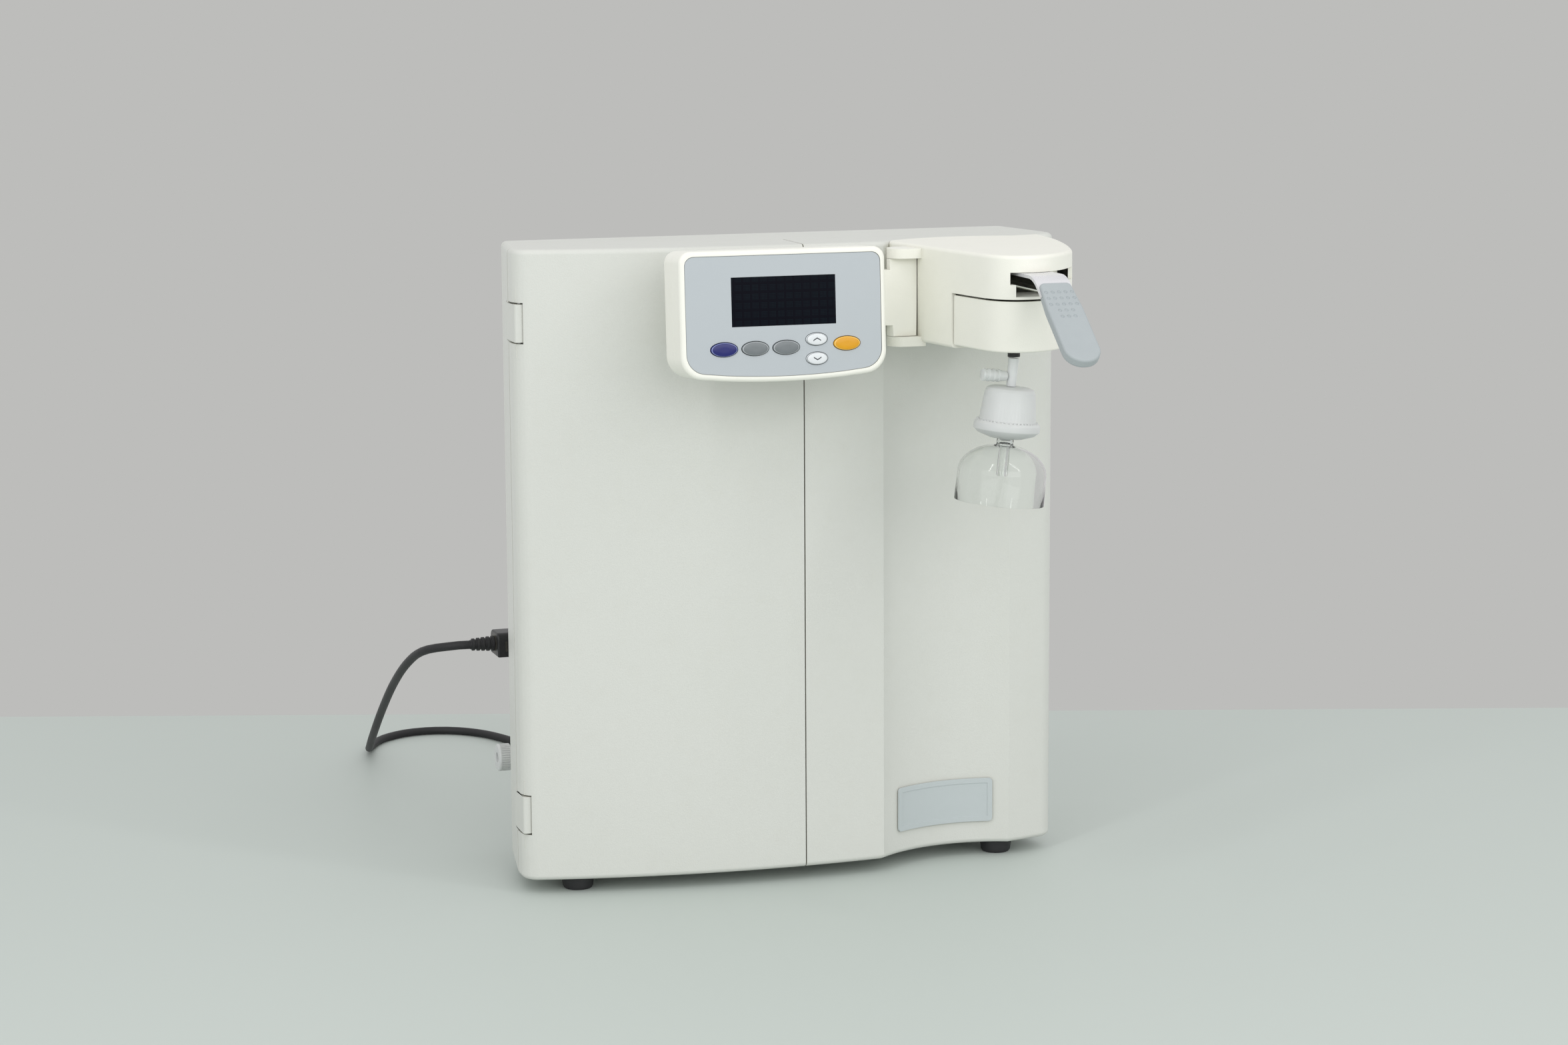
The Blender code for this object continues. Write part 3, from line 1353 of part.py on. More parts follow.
def make_bell(place):
    """A clear moulded bell, open below, with its stem and the tube inside."""
    x, y, z = place
    top = -NOZZLE_LENGTH - CAPSULE_HEIGHT - FLANGE_HEIGHT - CONE_HEIGHT - CLEAR * 2
    crown = top - STEM_HEIGHT
    rim = crown - BELL_HEIGHT
    shoulder = rim + BELL_HEIGHT / 2
    bore = STEM_RADIUS - BELL_WALL
    outside = dome(BELL_RADIUS, shoulder, crown - shoulder, STEM_RADIUS)
    inner_top = crown - BELL_WALL - shoulder
    inside = dome(BELL_RADIUS - BELL_WALL, shoulder, inner_top, BELL_TUBE_RADIUS)
    tube_foot = crown - BELL_TUBE_DROP
    profile = [(bore, top), (STEM_RADIUS, top)] + outside
    profile += [(BELL_RADIUS + BELL_WALL / 4, rim), (BELL_RADIUS - BELL_WALL, rim)]
    profile += inside[::-1]
    profile += [(BELL_TUBE_RADIUS, tube_foot), (SPIGOT_RADIUS, tube_foot)]
    profile += [(SPIGOT_RADIUS, crown - BELL_WALL), (bore, crown)]
    coloured(turned("filling_bell", profile, (x, y, z), ring=True), CLEAR_PLASTIC)


def dome(radius, base, height, hole):
    """Profile points of a round dome from its hole down to its base."""
    start = math.asin(min(hole / radius, 1))
    points = []
    for step in range(6):
        angle = start + (math.pi / 2 - start) * step / 5
        points.append((radius * math.sin(angle), base + height * math.cos(angle)))
    return points


def display_outline(shrink=0, bow=DISPLAY_BOW):
    """The display's front view: small top corners, wide lower ones and a bowed foot."""
    half = DISPLAY_WIDTH / 2 - shrink
    top = DISPLAY_TOP - shrink
    foot = DISPLAY_FOOT_Z + shrink
    middle = DISPLAY_CENTRE_X
    side_foot = foot + bow
    radius = (half**2 + bow**2) / (2 * bow)
    corners = [
        (middle + half, top, DISPLAY_TOP_CORNER - shrink / 2),
        (middle - half, top, DISPLAY_TOP_CORNER - shrink / 2),
        (middle - half, side_foot, DISPLAY_FOOT_CORNER - shrink / 2),
        *[
            (middle + half * share, foot + radius - math.sqrt(radius**2 - (half * share) ** 2), 0)
            for share in BOW_SHARES
        ],
        (middle + half, side_foot, DISPLAY_FOOT_CORNER - shrink / 2),
    ]
    return rounded(corners)


def make_display():
    before = everything()
    parting = DISPLAY_FRONT_Y + BEZEL_DEPTH
    outer = display_outline()
    bezel = slab("display_bezel", outer, DISPLAY_FRONT_Y, parting + DISPLAY_DEPTH, "Y")
    softened(bezel, DISPLAY_FILLET)
    keep(bezel, display_zone("bezel_zone", DISPLAY_FRONT_Y - OVERRUN, parting - CLEAR / 2))
    foil_back = DISPLAY_FRONT_Y + FOIL_SINK + FOIL_THICKNESS + CLEAR
    pocket = display_outline(BEZEL_RIM - CLEAR)
    cut(bezel, slab("foil_pocket", pocket, DISPLAY_FRONT_Y - OVERRUN, foil_back, "Y"))
    hollow = display_outline(BEZEL_RIM + DISPLAY_WALL)
    cut(bezel, slab("bezel_hollow", hollow, foil_back + DISPLAY_WALL, parting + OVERRUN, "Y"))
    for column in (-1, 1):
        for row in (0, 1):
            join(bezel, board_post(column, row, foil_back))
    cut(bezel, window_box("bezel_window", 0, DISPLAY_FRONT_Y - OVERRUN, parting))
    make_display_back(parting, outer)
    make_foil()
    make_keys(bezel)
    make_window()
    make_display_board(parting)
    coloured(bezel, IVORY)
    as_cutter(display_zone("arm_seat", DISPLAY_FRONT_Y, DISPLAY_BACK_Y + CLEAR))
    bpy.context.view_layer.update()
    pieces = sorted(everything() - before, key=lambda piece: piece.name)
    lean(pieces, (PIVOT_X, DISPLAY_FRONT_Y, DISPLAY_FOOT_Z), -DISPLAY_LEAN_DEG, 0)


def display_zone(name, low, high):
    half = DISPLAY_WIDTH
    middle = DISPLAY_CENTRE_X
    foot, top = DISPLAY_FOOT_Z - OVERRUN, DISPLAY_TOP + OVERRUN
    return box(name, (middle - half, low, foot), (middle + half, high, top))


def board_front():
    return DISPLAY_FRONT_Y + FOIL_SINK + KEY_BODY + KEY_TRAVEL + DISPLAY_WALL


def board_post(column, row, foil_back):
    """A post behind the bezel's face that carries one corner of the board."""
    x = DISPLAY_CENTRE_X + column * (DISPLAY_WIDTH / 2 - DISPLAY_FOOT_CORNER)
    z = DISPLAY_FOOT_Z + DISPLAY_FOOT_CORNER + row * (DISPLAY_HEIGHT - DISPLAY_FOOT_CORNER * 2)
    start = (x, foil_back + DISPLAY_WALL / 2, z)
    return rod(f"board_post_{column}_{row}", start, (x, board_front() - CLEAR, z), WALL, 8)


def make_display_back(parting, outer):
    back = slab("display_back", outer, DISPLAY_FRONT_Y, DISPLAY_BACK_Y, "Y")
    softened(back, DISPLAY_FILLET * 2, 3)
    keep(back, display_zone("back_zone", parting + CLEAR / 2, DISPLAY_BACK_Y + OVERRUN))
    hollow = display_outline(BEZEL_RIM + DISPLAY_WALL)
    inner = DISPLAY_BACK_Y - DISPLAY_WALL
    cut(back, slab("back_hollow", hollow, parting - OVERRUN, inner, "Y"))
    coloured(back, IVORY)


def window_box(name, shrink, low, high):
    half = WINDOW_WIDTH / 2 - shrink
    foot = DISPLAY_FOOT_Z + WINDOW_FOOT + shrink
    top = foot + WINDOW_HEIGHT - shrink * 2
    middle = DISPLAY_CENTRE_X
    return box(name, (middle - half, low, foot), (middle + half, high, top))


def make_foil():
    front = DISPLAY_FRONT_Y + FOIL_SINK
    outline = display_outline(BEZEL_RIM)
    foil = slab("keypad_foil", outline, front, front + FOIL_THICKNESS, "Y")
    cut(foil, window_box("foil_window", 0, front - OVERRUN, front + OVERRUN))
    low, high = front - OVERRUN, front + OVERRUN
    for name, share, row, length, height, _ in key_table():
        hole = key_solid("hole_" + name, share, row, length, height, KEY_GAP, low, high)
        cut(foil, hole)
    coloured(foil, PALE_BLUE)


def key_table():
    """Name, place across and up, size and colour of each key."""
    return (
        ("key_standby", STANDBY_SHARE, KEY_ROW, KEY_LENGTH, KEY_HEIGHT, KEY_BLUE),
        ("key_operate", OPERATE_SHARE, KEY_ROW, KEY_LENGTH, KEY_HEIGHT, KEY_GREY),
        ("key_menu", MENU_SHARE, KEY_ROW, KEY_LENGTH, KEY_HEIGHT, KEY_GREY),
        ("key_up", ARROW_SHARE, ARROW_ROW + ARROW_PITCH / 2, ARROW_LENGTH, ARROW_HEIGHT, KEY_WHITE),
        ("key_down", ARROW_SHARE, ARROW_ROW - ARROW_PITCH / 2, ARROW_LENGTH, ARROW_HEIGHT, KEY_WHITE),
        ("key_enter", ENTER_SHARE, ENTER_ROW, KEY_LENGTH, KEY_HEIGHT, KEY_YELLOW),
    )


def key_solid(name, share, row, length, height, gap, low, high):
    """An oval slab for a key or for its hole."""
    centre_x = DISPLAY_CENTRE_X + share * DISPLAY_WIDTH / 2
    centre_z = DISPLAY_FOOT_Z + row
    outline = []
    for step in range(KEY_SIDES):
        angle = 2 * math.pi * step / KEY_SIDES
        across = centre_x + (length / 2 + gap) * math.cos(angle)
        outline.append((across, centre_z + (height / 2 + gap) * math.sin(angle)))
    return slab(name, outline, low, high, "Y")


def make_keys(bezel):
    front = DISPLAY_FRONT_Y + FOIL_SINK - KEY_PROUD
    for name, share, row, length, height, colour in key_table():
        key = key_solid(name, share, row, length, height, 0, front, front + KEY_BODY)
        softened(key, KEY_PROUD * KEY_ROUND_SHARE, 2)
        coloured(key, colour)
        well_end = front + KEY_BODY + KEY_TRAVEL + CLEAR
        well = key_solid("well_" + name, share, row, length, height, KEY_GAP, front, well_end)
        cut(bezel, well)


def make_window():
    front = DISPLAY_FRONT_Y + FOIL_SINK
    window = window_box("display_window", CLEAR, front, front + FOIL_THICKNESS * 2)
    coloured(window, DARK_GLASS)


def make_display_board(parting):
    """The display's circuit board, on the bezel's four posts."""
    front = board_front()
    outline = display_outline(BEZEL_RIM + DISPLAY_WALL + WALL)
    board = slab("display_board", outline, front, front + BOARD_THICKNESS, "Y")
    coloured(board, BOARD_GREEN)


def make_display_arm():
    """A barrel between the head's ears and an arm to the back of the display."""
    top = TOP_Z - BARREL_TOP - CLEAR * 2
    low = top - BARREL_HEIGHT
    foot, head = (PIVOT_X, PIVOT_Y, low), (PIVOT_X, PIVOT_Y, top)
    barrel = rod("display_arm", foot, head, BARREL_RADIUS, ROUND_SIDES)
    seat_y = DISPLAY_BACK_Y - ARM_THICKNESS / 2
    right = DISPLAY_CENTRE_X + DISPLAY_WIDTH / 2
    far = DISPLAY_BACK_Y + ARM_THICKNESS
    corners = [
        (right - ARM_LAP, seat_y, 0),
        (PIVOT_X, seat_y, 0),
        (PIVOT_X, far, 0),
        (right - ARM_LAP, far, ARM_THICKNESS / 2),
    ]
    middle = (low + top) / 2
    arm = slab("arm_plate", rounded(corners), middle - ARM_HEIGHT / 2, middle + ARM_HEIGHT / 2)
    join(barrel, arm)
    seat = barrel.modifiers.new("seat", "BOOLEAN")
    seat.object = CUTTERS.objects["arm_seat"]
    cut(barrel, pivot_bore("arm_pivot_bore"))
    coloured(barrel, IVORY)
    hang_on(barrel, (PIVOT_X, PIVOT_Y, low))
    ear = EAR_HEIGHT / 2
    pin_low = low - CLEAR - EAR_HEIGHT
    pin_high = TOP_Z - BARREL_TOP + ear - CLEAR
    pin = rod("pivot_pin", (PIVOT_X, PIVOT_Y, pin_low), (PIVOT_X, PIVOT_Y, pin_high), PIVOT_PIN_RADIUS)
    coloured(pin, STEEL)


def make_chassis():
    low, high = FOOT_HEIGHT + PLATE_MARGIN, TOP_Z - PLATE_MARGIN
    half = REAR_WIDTH / 2 - PLATE_MARGIN / 2
    plate = box(
        "chassis_plate", (-half, PLATE_Y - PLATE_THICKNESS, low), (half, PLATE_Y, high)
    )
    for name, z in (("plate_foot", low), ("plate_head", high - PLATE_THICKNESS)):
        lip = (half, REAR_Y - WALL - CLEAR, z + PLATE_THICKNESS)
        join(plate, box(name, (-half, PLATE_Y - PLATE_THICKNESS, z), lip))
    window = box(
        "plate_window",
        (PUMP_X - PUMP_RADIUS - CLEAR, PLATE_Y - OVERRUN, PUMP_Z - PUMP_RADIUS - CLEAR),
        (PUMP_X + PUMP_RADIUS + CLEAR, PLATE_Y + OVERRUN, PUMP_Z + PUMP_RADIUS + CLEAR),
    )
    cut(plate, window)
    tube_hole = rod(
        "plate_tube_hole",
        (INLET_TUBE_X, PLATE_Y - OVERRUN, PUMP_Z),
        (INLET_TUBE_X, PLATE_Y + OVERRUN, PUMP_Z),
        TUBE_RADIUS + WALL,
    )
    cut(plate, tube_hole)
    coloured(plate, STEEL)
    divider = box(
        "bay_divider",
        (DIVIDER_X, SEAM_Y, low + DIVIDER_MARGIN),
        (DIVIDER_X + PLATE_THICKNESS, PLATE_Y - PLATE_THICKNESS - CLEAR, high - DIVIDER_MARGIN),
    )
    for label, middle in (("feed", FEED_RUN_Z), ("product", PRODUCT_RUN_Z)):
        hole = rod(
            "divider_hole_" + label,
            (DIVIDER_X - OVERRUN, RUN_Y, middle),
            (DIVIDER_X + OVERRUN, RUN_Y, middle),
            TUBE_RADIUS + WALL,
        )
        cut(divider, hole)
    coloured(divider, STEEL)


def cartridge_places():
    return (
        ("left", CARTRIDGE_LEFT_X),
        ("right", CARTRIDGE_LEFT_X + CARTRIDGE_PITCH),
    )


def make_cartridges():
    top = CARTRIDGE_HEIGHT
    rim = CARTRIDGE_RADIUS + CARTRIDGE_RIM
    lip = CARTRIDGE_RIM_HEIGHT
    profile = [
        (0, top),
        (rim - CARTRIDGE_RIM, top),
        (rim, top - CARTRIDGE_RIM),
        (rim, top - lip),
        (CARTRIDGE_RADIUS, top - lip),
        (CARTRIDGE_RADIUS, lip),
        (rim, lip),
        (rim, CARTRIDGE_RIM),
        (rim - CARTRIDGE_RIM, 0),
        (PORT_RADIUS, 0),
        (PORT_RADIUS, -PORT_LENGTH),
        (0, -PORT_LENGTH),
    ]
    cap = [
        (0, CAP_HEIGHT + PORT_LENGTH),
        (PORT_RADIUS, CAP_HEIGHT + PORT_LENGTH),
        (PORT_RADIUS, CAP_HEIGHT),
        (CAP_RADIUS - CARTRIDGE_RIM, CAP_HEIGHT),
        (CAP_RADIUS, CAP_HEIGHT - CARTRIDGE_RIM),
        (CAP_RADIUS, 0),
        (0, 0),
    ]
    for side, x in cartridge_places():
        place = (x, CARTRIDGE_Y, CARTRIDGE_FOOT)
        coloured(turned("cartridge_" + side, profile, place), KEY_WHITE)
        cap_place = (x, CARTRIDGE_Y, CARTRIDGE_FOOT + top + CLEAR)
        coloured(turned("cartridge_cap_" + side, cap, cap_place, 16), PORT_BLUE)


def make_clips():
    """Two spring clips, one above the other, each holding both cartridges."""
    for label, share in (("lower", CLIP_LOW_SHARE), ("upper", CLIP_HIGH_SHARE)):
        low = CARTRIDGE_FOOT + CARTRIDGE_HEIGHT * share
        back = PLATE_Y - PLATE_THICKNESS - CLEAR
        inner = CARTRIDGE_RADIUS + CLEAR
        outer = inner + CLIP_THICKNESS
        left = CARTRIDGE_LEFT_X - outer / 2
        right = CARTRIDGE_LEFT_X + CARTRIDGE_PITCH + outer / 2
        root = CARTRIDGE_Y + inner * CLIP_ROOT_SHARE
        clip = box("cartridge_clip_" + label, (left, root, low), (right, back, low + CLIP_HEIGHT))
        for side, x in cartridge_places():
            centre = (x, CARTRIDGE_Y)
            first, last = 90 - CLIP_REACH_DEG, 90 + CLIP_REACH_DEG
            ring = arc(centre, outer, first, last, 16) + arc(centre, inner, last, first, 16)
            join(clip, slab(f"clip_{label}_{side}", ring, low, low + CLIP_HEIGHT))
        for side, x in cartridge_places():
            bore = rod(
                f"clip_bore_{label}_{side}",
                (x, CARTRIDGE_Y, low - OVERRUN),
                (x, CARTRIDGE_Y, low + CLIP_HEIGHT + OVERRUN),
                inner,
                ROUND_SIDES,
            )
            cut(clip, bore)
        coloured(clip, BLACK)


def smooth_run(route, spacing):
    """Points a spacing apart on a smooth curve through a route's own points."""
    points = [Vector(point) for point in route]
    ends = [points[0] * 2 - points[1]] + points + [points[-1] * 2 - points[-2]]
    fine = []
    for i in range(len(points) - 1):
        a, b, c, d = ends[i : i + 4]
        for step in range(SMOOTH_STEPS):
            t = step / SMOOTH_STEPS
            bent = (a * -1 + b * 3 - c * 3 + d) * t**3 + (a * 2 - b * 5 + c * 4 - d) * t**2
            fine.append((bent + (c - a) * t + b * 2) / 2)
    fine.append(points[-1])
    total = sum((q - p).length for p, q in zip(fine, fine[1:]))
    count = max(2, round(total / spacing))
    chosen, travelled, wanted = [fine[0]], 0, total / count
    for p, q in zip(fine, fine[1:]):
        travelled += (q - p).length
        if travelled >= wanted * len(chosen) and len(chosen) < count:
            chosen.append(q)
    chosen.append(fine[-1])
    first = (points[1] - points[0]).normalized() * (spacing / 4)
    last = (points[-2] - points[-1]).normalized() * (spacing / 4)
    chosen[1:1] = [chosen[0] + first]
    chosen[-1:-1] = [chosen[-1] + last]
    return chosen, total


def make_tubes():
    """Water tubes: pump to the left cartridge, over to the right one, and on to the head."""
    cap_top = CARTRIDGE_FOOT + CARTRIDGE_HEIGHT + CAP_HEIGHT + PORT_LENGTH + CLEAR * 2
    left_x = CARTRIDGE_LEFT_X
    right_x = left_x + CARTRIDGE_PITCH
    rise = PORT_LENGTH * 2
    y = CARTRIDGE_Y
    link = [
        (left_x, y, cap_top),
        (left_x, y, cap_top + rise / 2),
        (left_x + rise, y, cap_top + rise + PORT_LENGTH),
        (right_x - rise, y, cap_top + rise + PORT_LENGTH),
        (right_x, y, cap_top + rise / 2),
        (right_x, y, cap_top),
    ]
    foot = CARTRIDGE_FOOT - PORT_LENGTH - CLEAR
    pump_front = PLATE_Y - PLATE_THICKNESS - PUMP_LENGTH / 2
    low = FEED_RUN_Z
    feed = [
        (left_x, y, foot),
        (left_x, y, foot - PORT_LENGTH),
        (left_x + rise, y, low),
        (right_x, y, low),
        (DIVIDER_X, y, low),
        (DIVIDER_X + rise, y, low),
        (PUMP_X - rise, pump_front, low),
        (PUMP_X, pump_front, low + TUBE_RADIUS * 4),
        (PUMP_X, pump_front, PUMP_Z - PUMP_RADIUS - CLEAR),
    ]
    valve_z = OUTLET_VALVE_Z
    valve_end = OUTLET_Y + VALVE_WIDTH + CLEAR
    wall_y = bay_y(OUTLET_X)
    across = PRODUCT_RUN_Z
    product = [
        (right_x, y, foot),
        (right_x, y, foot - PORT_LENGTH / 2),
        (right_x + rise, y - TUBE_RADIUS, across - TUBE_RADIUS * 4),
        (DIVIDER_X - rise, y, across),
        (DIVIDER_X, y, across),
        (DIVIDER_X + rise, y, across + TUBE_RADIUS),
        (DIVIDER_X + rise * 2, y, across + rise * 2),
        (DIVIDER_X + rise * 2, y, valve_z - rise * 3),
        (OUTLET_X - rise, y, valve_z - TUBE_RADIUS),
        (OUTLET_X, wall_y + rise, valve_z),
        (OUTLET_X, wall_y, valve_z),
        (OUTLET_X, valve_end, valve_z),
    ]
    fitting_end = SERVICE_X - CLEAR + FITTING_THREAD + CLEAR
    pump_back = PLATE_Y + CLEAR
    inlet = [
        (fitting_end, INLET_Y, FITTING_Z),
        (fitting_end + rise, INLET_Y, FITTING_Z),
        (SUPPLY_X, INLET_Y, FITTING_Z + TUBE_RADIUS * 2),
        (INLET_TUBE_X - rise * 2, INLET_Y, PUMP_Z - PUMP_RADIUS),
        (INLET_TUBE_X, INLET_Y - rise / 2, PUMP_Z),
        (INLET_TUBE_X, pump_back + rise, PUMP_Z),
        (INLET_TUBE_X, PLATE_Y - PLATE_THICKNESS - TUBE_RADIUS, PUMP_Z),
        (INLET_TUBE_X + rise / 2, pump_front, PUMP_Z),
        (PUMP_X - PUMP_RADIUS - CLEAR, pump_front, PUMP_Z),
    ]
    routes = (
        ("link_tube", link),
        ("feed_tube", feed),
        ("product_tube", product),
        ("inlet_tube", inlet),
    )
    for name, route in routes:
        points, _ = smooth_run(route, TUBE_RADIUS * 4)
        coloured(tube(name, points, TUBE_RADIUS), MILKY)


def make_pump():
    front = PLATE_Y - PLATE_THICKNESS - PUMP_LENGTH
    head = rod(
        "pump_head",
        (PUMP_X, front, PUMP_Z),
        (PUMP_X, front + PUMP_LENGTH + PLATE_THICKNESS, PUMP_Z),
        PUMP_RADIUS,
        ROUND_SIDES,
    )
    softened(head, WALL / 2, 1)
    coloured(head, BLACK)
    start = front + PUMP_LENGTH + PLATE_THICKNESS + CLEAR
    motor = rod(
        "pump_motor",
        (PUMP_X, start, PUMP_Z),
        (PUMP_X, start + MOTOR_LENGTH, PUMP_Z),
        MOTOR_RADIUS,
        ROUND_SIDES,
    )
    softened(motor, WALL, 1)
    coloured(motor, STEEL)


def make_electrics():
    start = PLATE_Y + CLEAR
    supply = box(
        "power_supply",
        (SUPPLY_X - SUPPLY_WIDTH / 2, start, SUPPLY_Z - SUPPLY_HEIGHT / 2),
        (SUPPLY_X + SUPPLY_WIDTH / 2, start + SUPPLY_DEPTH, SUPPLY_Z + SUPPLY_HEIGHT / 2),
    )
    coloured(softened(supply, WALL / 2, 1), STEEL)
    half_x, half_z = MAIN_BOARD_WIDTH / 2, MAIN_BOARD_HEIGHT / 2
    front = start + STUD_LENGTH
    board = box(
        "main_board",
        (MAIN_BOARD_X - half_x, front, MAIN_BOARD_Z - half_z),
        (MAIN_BOARD_X + half_x, front + BOARD_THICKNESS, MAIN_BOARD_Z + half_z),
    )
    for column in (-1, 1):
        for row in (-1, 1):
            x = MAIN_BOARD_X + column * (half_x - STUD_RADIUS * 2)
            z = MAIN_BOARD_Z + row * (half_z - STUD_RADIUS * 2)
            stud = rod(
                f"board_stud_{column}_{row}",
                (x, start, z),
                (x, front + BOARD_THICKNESS / 2, z),
                STUD_RADIUS,
                8,
            )
            join(board, stud)
    coloured(board, BOARD_GREEN)


def make_mains_plug():
    """The connector in the inlet, and its ribbed strain relief."""
    nose = SERVICE_X - INLET_FLANGE + PLUG_NOSE - CLEAR
    tail = nose - PLUG_NOSE - PLUG_LENGTH
    half_y, half_z = PLUG_WIDTH / 2, PLUG_HEIGHT / 2
    corners = [
        (INLET_Y - half_y, INLET_Z - half_z, PLUG_CORNER / 4),
        (INLET_Y + half_y, INLET_Z - half_z, PLUG_CORNER / 4),
        (INLET_Y + half_y, INLET_Z + half_z, PLUG_CORNER),
        (INLET_Y - half_y, INLET_Z + half_z, PLUG_CORNER),
    ]
    plug = slab("mains_connector", rounded(corners), tail, nose, "X")
    coloured(plug, BLACK)
    pitch = RELIEF_LENGTH / RELIEF_RIBS
    profile = [(0, RELIEF_LENGTH)]
    for rib in reversed(range(RELIEF_RIBS)):
        taper = RELIEF_RADIUS + (RELIEF_TIP_RADIUS - RELIEF_RADIUS) * rib / RELIEF_RIBS
        profile += [
            (taper - RELIEF_RIB, (rib + 1) * pitch),
            (taper - RELIEF_RIB, (rib + RIB_SHARE) * pitch),
            (taper, (rib + RIB_SHARE) * pitch),
            (taper, rib * pitch),
        ]
    profile.append((0, 0))
    start = (tail - CLEAR, INLET_Y, INLET_Z)
    relief = turned("strain_relief", profile, start, SMALL_SIDES, (-1, 0, 0))
    coloured(relief, BLACK)
    return tail - CLEAR * 2 - RELIEF_LENGTH


def coil_points(entry_angle):
    """One unbroken run of turns: out on the floor, then back in on top of them."""
    pitch = CORD_RADIUS * 2 + CLEAR * 2
    lower = COIL_TURNS // 2
    count = COIL_TURNS * COIL_POINTS
    half_turn = COIL_POINTS // 2
    points = []
    for step in range(count + 1):
        turn = step / COIL_POINTS
        spread = turn if turn <= lower else 2 * lower - turn
        radius = COIL_MEAN_RADIUS + pitch * (lower / 2 - spread)
        climb = min(max((step - lower * COIL_POINTS + half_turn / 2) / half_turn, 0), 1)
        ease = climb * climb * (3 - 2 * climb)
        last = min(max((step - count) / half_turn + 1, 0), 1)
        lift = last * last * (3 - 2 * last) * (WALL_PLUG_RADIUS - CORD_RADIUS - pitch)
        radius += last * last * (3 - 2 * last) * (WALL_PLUG_RADIUS + pitch)
        angle = entry_angle + 2 * math.pi * turn
        points.append(
            Vector(
                (
                    COIL_X + radius * math.cos(angle),
                    COIL_Y + radius * math.sin(angle),
                    CORD_RADIUS + CLEAR / 2 + pitch * ease + lift,
                )
            )
        )
    return points


def least_gap(points, radius):
    """The least clear distance between turns that aren't neighbours along the run."""
    apart = COIL_POINTS // 2
    least = math.inf
    for i, p in enumerate(points):
        for q in points[i + apart :]:
            least = min(least, (p - q).length)
    return least - 2 * radius


def make_mains_cord(relief_end):
    coil = coil_points(math.pi)
    start_tangent = (coil[1] - coil[0]).normalized()
    lead_in = coil[0] - start_tangent * CORD_RADIUS * 8
    exit_point = Vector((relief_end, INLET_Y, INLET_Z))
    straight = exit_point - Vector((CORD_RADIUS * 3, 0, 0))
    route = [exit_point, straight, *CORD_ROUTE, lead_in, coil[0] - start_tangent * CLEAR]
    points, length = smooth_run(route, CORD_RADIUS * 5)
    coloured(tube("mains_cord", points, CORD_RADIUS), BLACK)
    coloured(tube("mains_cord_coil", coil, CORD_RADIUS, 1), BLACK)
    turns = sum((q - p).length for p, q in zip(coil, coil[1:]))
    print(f"cord {length + turns:.3f} m, of which coiled {turns:.3f} m")
    print(f"least gap between turns {least_gap(coil, CORD_RADIUS) * 1000:.2f} mm")
    make_wall_plug(coil)


def make_wall_plug(coil):
    """The round mains plug at the cord's end, with two pins, lying on the floor."""
    away = (coil[-1] - coil[-2]).normalized()
    start = coil[-1] + away * CLEAR
    half = WALL_PLUG_LENGTH / 2
    profile = [
        (0, WALL_PLUG_LENGTH),
        (WALL_PLUG_RADIUS, WALL_PLUG_LENGTH),
        (WALL_PLUG_RADIUS, half),
        (RELIEF_RADIUS, 0),
        (0, 0),
    ]
    away.z = 0
    away.normalize()
    plug = turned("mains_plug", profile, start, 16, away)
    across = Vector((-away.y, away.x, 0)) * (WALL_PLUG_PIN_PITCH / 2)
    for label, side in (("near", across), ("far", -across)):
        root = start + side + away * (WALL_PLUG_LENGTH - WALL)
        end = root + away * (WALL_PLUG_PIN_LENGTH + WALL)
        join(plug, rod("plug_pin_" + label, root, end, WALL_PLUG_PIN_RADIUS, 8))
    coloured(plug, BLACK)


def main():
    make_rear_housing()
    make_hinge_pins()
    make_right_shell()
    make_service_cover()
    make_inlet_socket()
    make_feed_fitting()
    make_feet()
    make_data_plate()
    make_door()
    make_door_catch()
    make_chassis()
    make_cartridges()
    make_clips()
    make_tubes()
    make_pump()
    make_electrics()
    make_head_shell()
    make_dispense_block()
    make_outlet_collar()
    make_dispense_valve()
    make_lever_carrier()
    make_lever()
    make_filter()
    make_display()
    make_display_arm()
    make_mains_cord(make_mains_plug())


main()
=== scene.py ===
# %% [markdown]
# # Dressing an ultrapure water system
# The imported model already holds every part at its real size, with its joints. This lesson
# gives it its looks: finely rounded mouldings in place of the faceted ones, a real mains lead,
# a clear filling bell, and a finish for every surface. Everything is in metres, +Z is up, and
# the front of the unit faces -Y. The first cell loads the imported model.

import math
from collections import namedtuple

import bmesh
import bpy
from mathutils import Matrix, Vector


